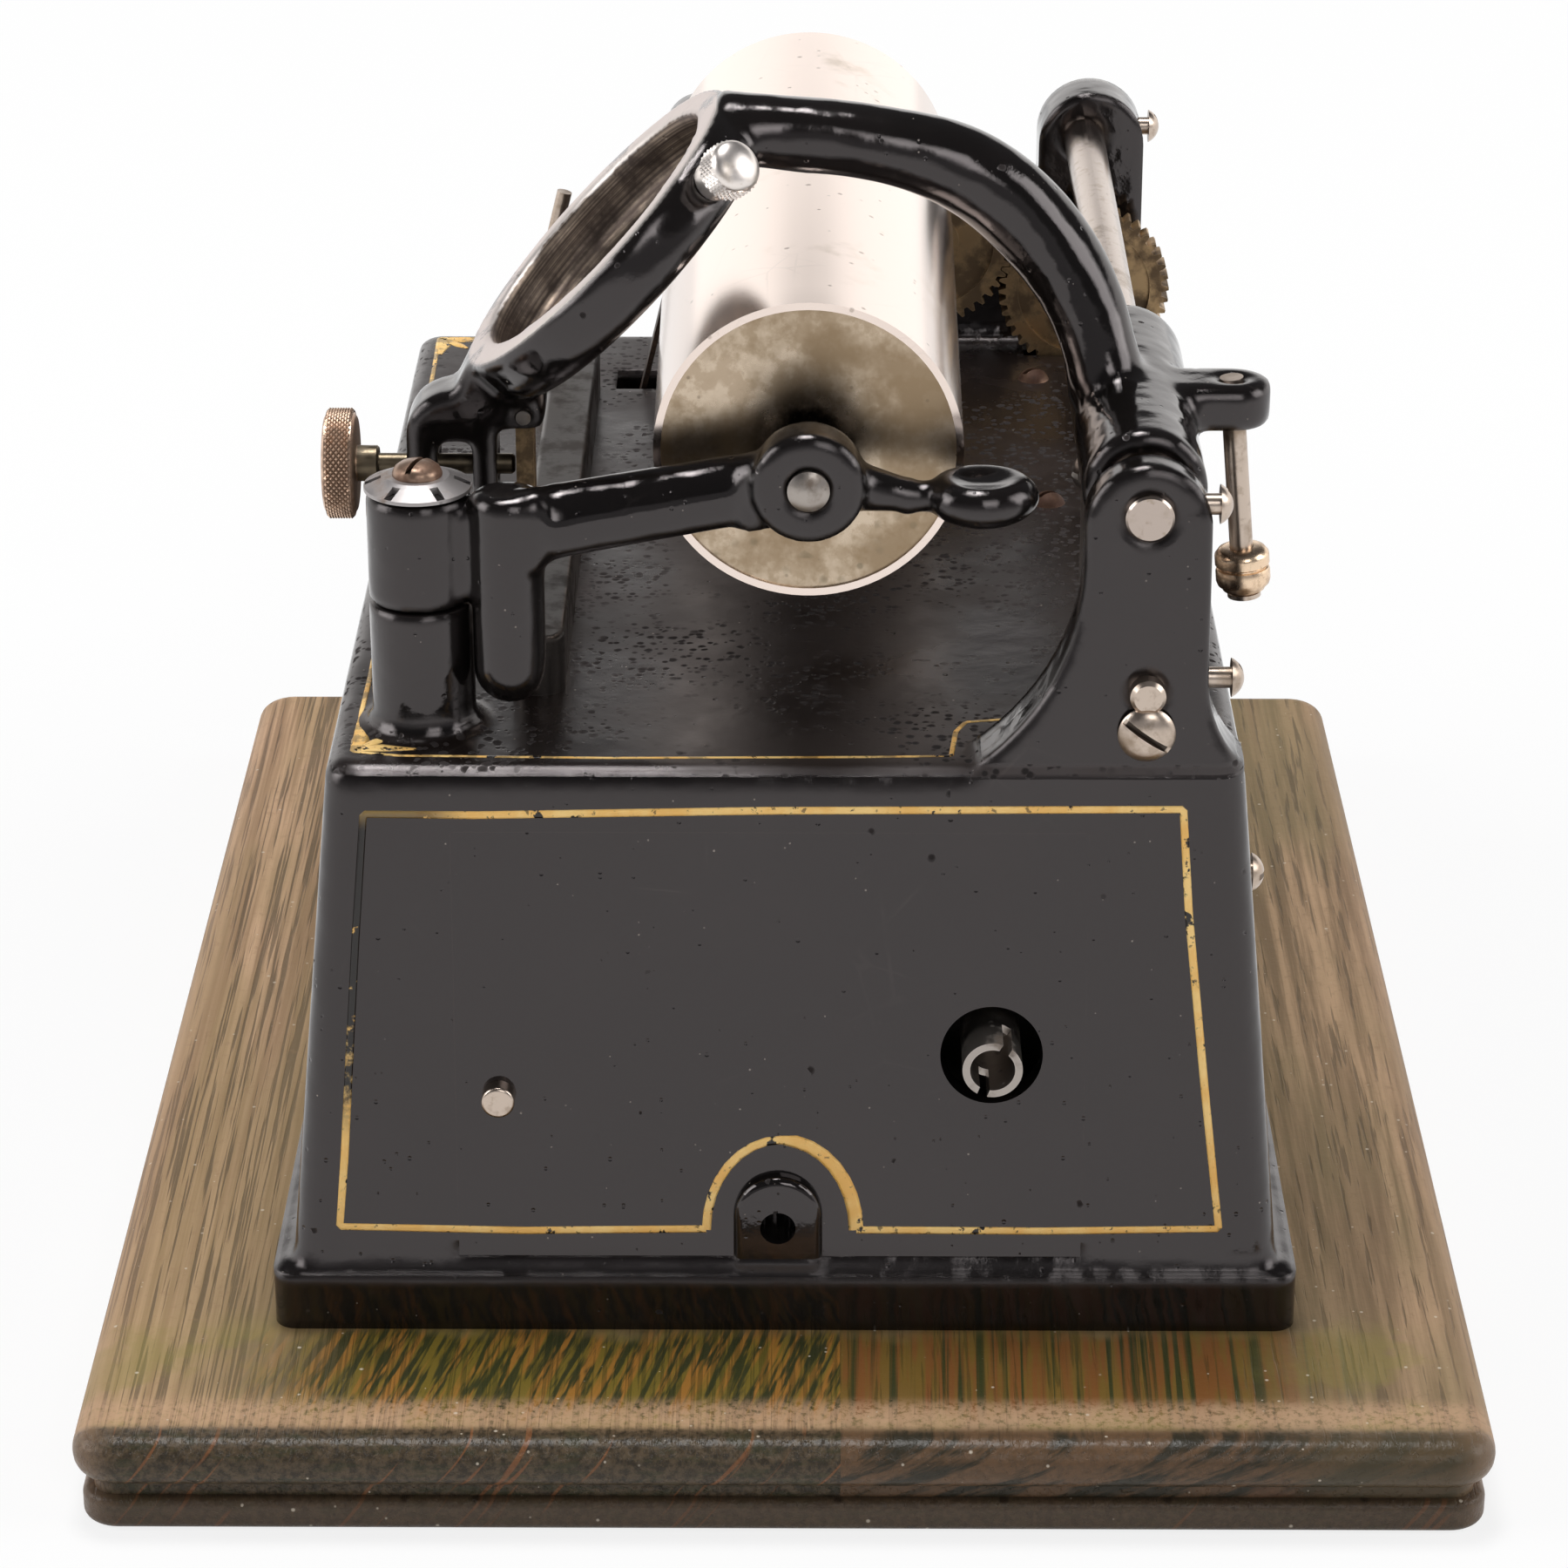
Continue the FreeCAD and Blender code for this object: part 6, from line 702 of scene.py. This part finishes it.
painted_line("near_wall_lines", wall_foot, (0, 1, 0), (-math.sin(lean), 0, math.cos(lean)),
             [stroke_of(frame_line, 0.54), arch])

# %% The lines and corner leaves on the top plate
plate_line = [(-86.6, -40.0), (-86.6, -57.4), (-68.7, -57.1), (41.9, -57.0), (54.4, -56.9), (80.2, -57.2),
              (81.5, -51.0), (82.1, -23.1), (81.6, 11.3), (81.2, 21.9), (73.2, 22.7), (70.0, 24.1),
              (69.1, 29.0)]
leaf = [[(0.0, -56.6, 0.9), (3.0, -56.4, 1.25), (7.5, -56.6, 0.3)],
        [(0.0, -56.6, 0.9), (0.4, -53.4, 1.25), (0.0, -48.8, 0.3)],
        [(0.8, -55.8, 0.7), (3.0, -53.8, 0.9), (4.4, -52.4, 0.25)]]
leaves = [[(corner_x + side * along, across, width) for along, across, width in stroke]
          for corner_x, side in ((79.4, -1.0), (-85.9, 1.0)) for stroke in leaf]
painted_line("top_plate_lines", (0, 0, plate_height), (1, 0, 0), (0, 1, 0),
             [stroke_of(plate_line, 0.36)] + leaves)

# %% [markdown]
# Fingers grip two screws, and both heads are knurled: two sets of slanting grooves cross and leave rows
# of small pyramids. A ring of quads is poked, so that each quad gets a point at its middle, and then
# every second corner is lifted. The lifted corners become the pyramids, and the points that stay down
# between them line up as the crossing grooves. The rest of each screw is a turned shape, so it is spun
# from half of its outline.

# %% A turned piece, spun from its outline
def turned(outline, steps=96, closed=False):
    """A bmesh spun about Z from pairs of radius and height in millimetres. A closed outline is a ring's."""
    bm = bmesh.new()
    points = [bm.verts.new((radius / 1000.0, 0.0, height / 1000.0)) for radius, height in outline]
    ends = points[1:] + points[:1] if closed else points[1:]
    edges = [bm.edges.new(pair) for pair in zip(points, ends)]
    bmesh.ops.spin(bm, geom=points + edges, cent=(0, 0, 0), axis=(0, 0, 1), angle=2 * math.pi,
                   steps=steps, use_merge=True)
    bmesh.ops.remove_doubles(bm, verts=bm.verts, dist=1e-7)
    return bm


def stand(bm, centre, direction):
    """Stands a shape made along Z on a point and a direction of the object."""
    turn = Vector((0, 0, 1)).rotation_difference(Vector(direction).normalized()).to_matrix().to_4x4()
    turn.translation = Vector(centre)
    bmesh.ops.transform(bm, matrix=turn, verts=bm.verts)


def finish_piece(name, bm, finish, body):
    """Makes a piece of a bmesh: closed, smooth up to 32 degrees, dressed and riding on its body."""
    bmesh.ops.recalc_face_normals(bm, faces=bm.faces)
    open_edges = sum(1 for edge in bm.edges if not edge.is_manifold)
    mesh = mesh_of(bm, name)
    mesh.shade_smooth()
    mesh.set_sharp_from_angle(angle=math.radians(32.0))
    mesh.materials.append(finish)
    made = add_object(name, mesh)
    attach(made, body)
    print(name, len(mesh.polygons), "faces,", open_edges, "open edges")
    return made


# %% A knurled band
def add_knurl(bm, radius, low, high, around, rows, depth):
    """A closed ring of knurling about Z, from low to high, all in millimetres."""
    radius, low, high, depth = (value / 1000.0 for value in (radius, low, high, depth))
    ring_wall = 0.0006
    band = bmesh.new()
    bmesh.ops.create_cone(band, cap_ends=False, segments=around, radius1=radius, radius2=radius,
                          depth=high - low)
    bmesh.ops.translate(band, verts=band.verts, vec=(0, 0, (low + high) / 2))
    for row in range(1, rows):
        everything = band.verts[:] + band.edges[:] + band.faces[:]
        level = low + (high - low) * row / rows
        bmesh.ops.bisect_plane(band, geom=everything, dist=1e-7, plane_co=(0, 0, level), plane_no=(0, 0, 1))
    rims = [edge for edge in band.edges if edge.is_boundary]
    lattice = band.verts[:]
    bmesh.ops.poke(band, faces=band.faces[:])
    for vertex in lattice:
        turn = round(math.atan2(vertex.co.y, vertex.co.x) / (2 * math.pi) * around)
        level = round((vertex.co.z - low) / (high - low) * rows)
        if (turn + level) % 2 == 0 and 0 < level < rows:
            vertex.co.xy *= (radius + depth) / radius
    drawn = bmesh.ops.extrude_edge_only(band, edges=rims)["geom"]
    for vertex in drawn:
        if isinstance(vertex, bmesh.types.BMVert):
            vertex.co.xy *= (radius - ring_wall) / radius
    bmesh.ops.bridge_loops(band, edges=[edge for edge in band.edges if edge.is_boundary])
    ring = mesh_of(band, "ring")
    bm.from_mesh(ring)
    bpy.data.meshes.remove(ring)


# %% The brass adjusting screw and the nickelled clamp screw
knob = turned([(0, -0.35), (2.6, -0.35), (3.1, 0.0), (6.3, 0.0), (6.9, 0.35), (7.15, 0.75), (7.15, 3.55),
               (6.9, 3.95), (6.3, 4.3), (2.45, 4.3), (2.45, 7.05), (2.2, 7.3), (1.4, 7.3), (1.4, 25.3),
               (1.05, 25.7), (0, 25.7)])
add_knurl(knob, radius=7.16, low=0.35, high=3.95, around=104, rows=10, depth=0.36)
stand(knob, (knob_x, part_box("adjusting_screw")[0][1], knob_z), (0, 1, 0))
screw = finish_piece("adjusting_screw_turned", knob, knob_brass, "adjuster")
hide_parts("adjusting_screw")

clamp_out = Vector((0.64279, 0.53214, 0.55105)).normalized()
clamp_seat = ring_top - ring_axis * 0.0039 + clamp_out * 0.0254
clamp = turned([(0, -5.1), (1.55, -5.1), (1.9, -4.75), (1.9, 0.0), (2.5, 0.0), (2.7, 0.2), (2.7, 2.25),
                (3.2, 2.4), (3.5, 2.8), (3.5, 5.75), (3.42, 6.2), (3.0, 6.72), (2.2, 7.15), (1.2, 7.42),
                (0, 7.5)], 72)
add_knurl(clamp, radius=3.5, low=2.75, high=5.8, around=56, rows=8, depth=0.27)
stand(clamp, clamp_seat, clamp_out)
screw = finish_piece("clamp_screw_turned", clamp, nickel_bright, "clamp")
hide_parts("clamp_screw")

# %% [markdown]
# The gate and the arm are small rough castings, and the foundry left every edge of them soft. The CAD
# solids are crisp, so each is copied, remeshed in small voxels and smoothed, which melts the edges and
# fills the inner corners by about a millimetre, as sand casting and thick varnish do. The bar of the gate
# and the bow of the arm are rounder still, so those stretches are smoothed for longer, and the bar is
# set back a little behind the stub that carries it.

# %% Soften a casting
def smoothstep(value, low, high):
    share = max(0.0, min(1.0, (value - low) / (high - low)))
    return share * share * (3 - 2 * share)


def smooth_once(bm, verts):
    bmesh.ops.smooth_vert(bm, verts=verts, factor=0.5, use_axis_x=True, use_axis_y=True, use_axis_z=True)


def evaluated_mesh(made):
    """The mesh of an object with its modifiers applied."""
    bpy.context.view_layer.update()
    return bpy.data.meshes.new_from_object(made.evaluated_get(bpy.context.evaluated_depsgraph_get()))


def soft_casting(node, body, grain, rounds, zone, zone_rounds, back):
    """A softened copy of a CAD casting. zone is a point's share of the longer smoothing and the setback."""
    name = node + "_cast"
    bm = bmesh_of(nodes[node].data)
    bmesh.ops.remove_doubles(bm, verts=bm.verts, dist=1e-6)
    mesh = mesh_of(bm, name)
    made = add_object(name, mesh)
    remesh = made.modifiers.new("cast grain", "REMESH")
    remesh.mode = "VOXEL"
    remesh.voxel_size = grain
    fine = evaluated_mesh(made)
    made.modifiers.clear()
    bm = bmesh_of(fine)
    for _ in range(rounds):
        smooth_once(bm, bm.verts)
    within = [(vertex, zone(vertex.co)) for vertex in bm.verts]
    within = [(vertex, share) for vertex, share in within if share > 0.0]
    core = [vertex for vertex, share in within if share > 0.5]
    for step in range(zone_rounds):
        smooth_once(bm, core if step % 2 else [vertex for vertex, share in within])
    for vertex, share in within:
        vertex.co -= Vector((back, 0.0, 0.0)) * share
    bm.to_mesh(fine)
    bm.free()
    fine.shade_smooth()
    fine.materials.append(japan)
    made.data = fine
    bpy.data.meshes.remove(mesh)
    fine.name = name
    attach(made, body)
    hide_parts(node)
    print(made.name, len(fine.polygons), "faces,", len(within), "points in the rounder stretch")


# %% The gate and the carriage arm
rod_y, rod_z = 47.0, 126.6


def along_bar(point):
    y = point.y * 1000.0
    return smoothstep(y, -32.6, -30.0) * (1.0 - smoothstep(y, -7.5, -4.8)) if point.x > 0.070 else 0.0


def along_bow(point):
    from_ring = (point - ring_top) - ring_axis * (point - ring_top).dot(ring_axis)
    y, z = point.y * 1000.0, point.z * 1000.0
    clear_of_ring = smoothstep(from_ring.length * 1000.0, 25.8, 28.5)
    clear_of_sleeve = smoothstep(math.hypot(y - rod_y, z - rod_z), 10.5, 13.0)
    return clear_of_ring * clear_of_sleeve * smoothstep(y, -14.0, -9.0) * (y < 56.0)


soft_casting("end_gate", "gate", grain=0.00045, rounds=7, zone=along_bar, zone_rounds=90, back=0.0012)
soft_casting("carriage_arm", "carriage", grain=0.00062, rounds=6, zone=along_bow, zone_rounds=40, back=0.0)


# %% [markdown]
# Two screw heads face the camera with open slots. Each is spun as a dome, and a Boolean cuts the slot with
# a box, since a slot is exactly what a saw takes out. The bottom of the slot is painted dark, as painted
# shade, and it is found by its height above the seat of the head. The roller under the lug is a small turned
# spool with a rim, a fine groove and a fuller drum below it.

# %% Slotted screws
def dark_slot(name, finish, at, direction, floor_height, reach):
    """A finish with painted shade at the bottom of a slot, out to some radius."""
    made = finish.copy()
    made.name = name
    shader, place, clean = reopened(made)
    radius, above = axis_of(place, at, direction)
    low = ranged(above, floor_height + 0.0003, floor_height + 0.0001)
    slot_bottom_shade = times(low, ranged(radius, reach, reach - 0.0002))
    # painted shade: the bottom of the slot is painted dark
    wire(shader, Base_Color=laid(clean, colour(26, 21, 18), slot_bottom_shade, 0.9))
    return made


def saw_box(at, direction, across, width, floor_height):
    """The box that a slot takes out of a head, from its floor to clear above the dome."""
    length, top = 0.02, 0.0040
    saw = bmesh.new()
    bmesh.ops.create_cube(saw, size=1.0)
    side = direction.cross(across)
    placing = Matrix((across * length, side * width, direction * (top - floor_height))).transposed().to_4x4()
    placing.translation = Vector(at) + direction * (floor_height + top) / 2
    bmesh.ops.transform(saw, matrix=placing, verts=saw.verts)
    bmesh.ops.recalc_face_normals(saw, faces=saw.faces)
    return add_object("saw", mesh_of(saw, "saw"))


def slotted_screw(name, outline, at, direction, across, width, floor_height, reach, finish, body, node):
    bm = turned(outline, 64)
    stand(bm, at, direction)
    bmesh.ops.recalc_face_normals(bm, faces=bm.faces)
    head = add_object(name + "_blank", mesh_of(bm, name))
    saw = saw_box(at, Vector(direction).normalized(), Vector(across).normalized(), width, floor_height)
    cut = head.modifiers.new("slot", "BOOLEAN")
    cut.operation, cut.solver, cut.object = "DIFFERENCE", "EXACT", saw
    result = evaluated_mesh(head)
    for spare in (head, saw):
        bpy.data.objects.remove(spare)
    slot_shaded = dark_slot(name.replace("_", " "), finish, at, direction, floor_height, reach)
    made = finish_piece(name, bmesh_of(result), slot_shaded, body)
    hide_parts(node)


hinge_seat = (hinge_x, hinge_y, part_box("hinge_screw")[1][2] - 0.0018)
hinge_outline = [(0, -26.0), (2.6, -26.0), (2.6, 0.0), (3.25, 0.0), (3.3, 0.35), (3.0, 1.05), (2.3, 1.6),
                 (1.2, 1.9), (0, 2.0)]
slotted_screw("hinge_screw_head", hinge_outline, hinge_seat, (0, 0, 1), (-0.93, 0.37, 0), width=0.00075,
              floor_height=0.0010, reach=0.0027, finish=copper_brown, body="chassis",
              node="hinge_screw")

low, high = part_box("keeper_screw")
keeper_seat = (high[0] - 0.0016, (low[1] + high[1]) / 2, (low[2] + high[2]) / 2)
slot_turn = math.radians(35)
keeper_outline = [(0, -6.5), (1.6, -6.5), (1.6, -0.2), (3.75, -0.2), (3.8, 0.2), (3.5, 0.65), (2.6, 1.15),
                  (1.3, 1.5), (0, 1.6)]
keeper_across = (0, math.cos(slot_turn), -math.sin(slot_turn))
slotted_screw("keeper_screw_head", keeper_outline, keeper_seat, (1, 0, 0), keeper_across, width=0.00085,
              floor_height=0.0004, reach=0.0033, finish=nickel_dull, body="chassis",
              node="keeper_screw")

# %% The roller on the lug pin
pin_lean = math.radians(5.3)
down = Vector((0.0, math.sin(pin_lean), -math.cos(pin_lean)))
roller_top = Vector((0.0465, 0.060, 0.1332)) + down * 0.0246
spool = turned([(1.65, 0.0), (2.6, 0.0), (3.2, 0.25), (3.7, 0.9), (3.75, 1.2), (3.75, 2.35), (3.6, 2.55),
                (3.35, 2.65), (3.35, 2.8), (3.6, 2.95), (3.75, 3.4), (3.75, 4.7), (3.55, 5.3), (3.0, 5.8),
                (2.9, 6.1), (2.6, 6.2), (1.65, 6.2)], 64, closed=True)
stand(spool, roller_top, down)
roller = finish_piece("guide_roller_turned", spool, roller_nickel, "roller")
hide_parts("guide_roller")

# %% [markdown]
# Every piece of the model already has a node of its own, so dressing it is a matter of naming which
# pieces share a finish. The list is kept by finish, as a restorer would sort the parts on a bench.

# %% Dress the nodes
bench = {
    oak_front: "base_plank_front",
    oak_rear: "base_plank_rear",
    oak_lower: "base_lower_board",
    japan: "body_casting end_gate carriage_arm",
    japan_flat: "near_wall",
    nickel: "mandrel_shell",
    nickel_rod: "back_rod",
    nickel_bright: "clamp_screw",
    nickel_dull: "keeper_screw steady_pin set_screws lug_pin stop_lever pivot_pin",
    steel_blue: "notched_washer",
    copper_brown: "hinge_screw",
    disc_nickel: "mandrel_end_discs",
    steel: "idler_stud mandrel_shaft feed_screw gate_centre_pin carriage_pins feed_nut_spring "
           "motor_plate_far motor_plate_middle motor_plate_near motor_pillars winding_arbor "
           "ratchet_wheel click intermediate_arbor drive_shaft governor_shaft",
    steel_dark: "straight_edge lever_bracket mainspring belt_pulley drive_pulley governor_springs",
    steel_rusty: "base_screws plate_screws",
    brass: "mandrel_gear idler_gear feed_gear carriage_bushes half_nut spring_barrel barrel_cap "
           "intermediate_wheel governor_wheel governor_disc rider_finger",
    brass_dark: "bearing_bushes guide_roller governor_weights",
    belt_leather: "drive_belt",
    pad_leather: "brake_pad",
    knob_brass: "adjusting_screw",
}
dressed = [(name, finish) for finish, names in bench.items() for name in names.split()]
for name, finish in dressed:
    nodes[name].data.materials.clear()
    nodes[name].data.materials.append(finish)
print("dressed", len(dressed), "of", len(nodes))

# %% [markdown]
# The object stands on a pale sweep in a bright room. The floor keeps a soft shadow, but its own glow,
# which only the camera, mirrors and glass see, lifts it to white, as a photographer's table does. The
# world is white to the camera, and for reflections it is bright at the horizon and darker overhead,
# because that is what black japan and nickel need to show their shape.

# %% Floor
bm = bmesh.new()
bmesh.ops.create_grid(bm, x_segments=2, y_segments=2, size=3.0)
floor = add_object("floor", mesh_of(bm, "floor"))
paper = bpy.data.materials.new("pale floor")
paper.use_nodes = True
tree = paper.node_tree
tree.nodes.remove(tree.nodes["Principled BSDF"])
matt = put("BsdfDiffuse", {"Color": (0.85, 0.85, 0.85, 1.0)}, tree)
glow = put("Emission", {"Color": (1.0, 1.0, 1.0, 1.0), "Strength": 1.0}, tree)
ray = put("LightPath", {}, tree).outputs
seen = most(ray["Is Camera Ray"], most(ray["Is Glossy Ray"], ray["Is Transmission Ray"]))
away = vectors("LENGTH", put("TexCoord", {}, tree).outputs["Object"])
# painted shade: the glow fades towards the object, so the floor round it is a little darker
lifted = times(seen, ranged(away, 0.12, 0.36, 0.80, 0.97))
mix = put("MixShader", {0: lifted, 1: matt.outputs[0], 2: glow.outputs[0]})
feed(tree.nodes["Material Output"].inputs["Surface"], mix.outputs[0])
floor.data.materials.append(paper)
print("floor", paper.name)

# %% World
world = bpy.data.worlds.new("bright room")
bpy.context.scene.world = world
world.use_nodes = True
tree = world.node_tree
behind, _, height = xyz(put("TexCoord", {}, tree).outputs["Generated"])
wall = mixed(ranged(behind, 0.52, -0.16), (0.30, 0.30, 0.31, 1.0), (1.27, 1.25, 1.23, 1.0))
sky = laid((0.07, 0.07, 0.075, 1.0), wall, ranged(height, 0.385, 0.305))
ray = put("LightPath", {}, tree).outputs
seen = most(ray["Is Camera Ray"], ray["Is Transmission Ray"])
feed(tree.nodes["Background"].inputs["Color"], laid(sky, (1.0, 1.0, 1.0, 1.0), seen))
print("world", world.name)


# %% Soft lamps
def softbox(name, place, side, watts):
    """A square lamp that faces the middle of the object."""
    lamp = bpy.data.lights.new(name, "AREA")
    lamp.shape = "RECTANGLE"
    lamp.size, lamp.size_y = side, side
    lamp.energy = watts
    holder = add_object(name, lamp)
    holder.location = place
    holder.rotation_euler = (Vector((0.0, 0.0, 0.08)) - Vector(place)).to_track_quat("-Z", "Y").to_euler()
    print(name, watts, "W")


softbox("lamp above", (-0.22, -0.1, 1.48), 0.42, 13.0)
softbox("lamp front side", (0.2, -1.3, 0.8), 0.8, 9.0)
softbox("lamp rear side", (0.2, 1.3, 0.8), 0.8, 7.0)
softbox("lamp near", (1.5, 0.5, 1.1), 0.7, 5.5)

# %% [markdown]
# The camera looks along the mandrel from the winding end and a little above. A long lens keeps the board
# almost square. Its place and direction came from the corners of the board and the slope of the walls.

# %% Camera
lens = bpy.data.cameras.new("camera")
lens.lens = 112.0
lens.sensor_width = 36.0
sight = Vector((-0.91166369, -0.00504623, -0.41090614))
camera = add_object("camera", lens)
camera.location = (0.66905, 0.00311, 0.35344)
camera.rotation_euler = sight.to_track_quat("-Z", "Y").to_euler()
bpy.context.scene.camera = camera
bpy.context.scene.view_settings.view_transform = "Standard"
print("camera", [round(value, 4) for value in camera.location])

# %% Bring the scene up to date
bpy.context.view_layer.update()
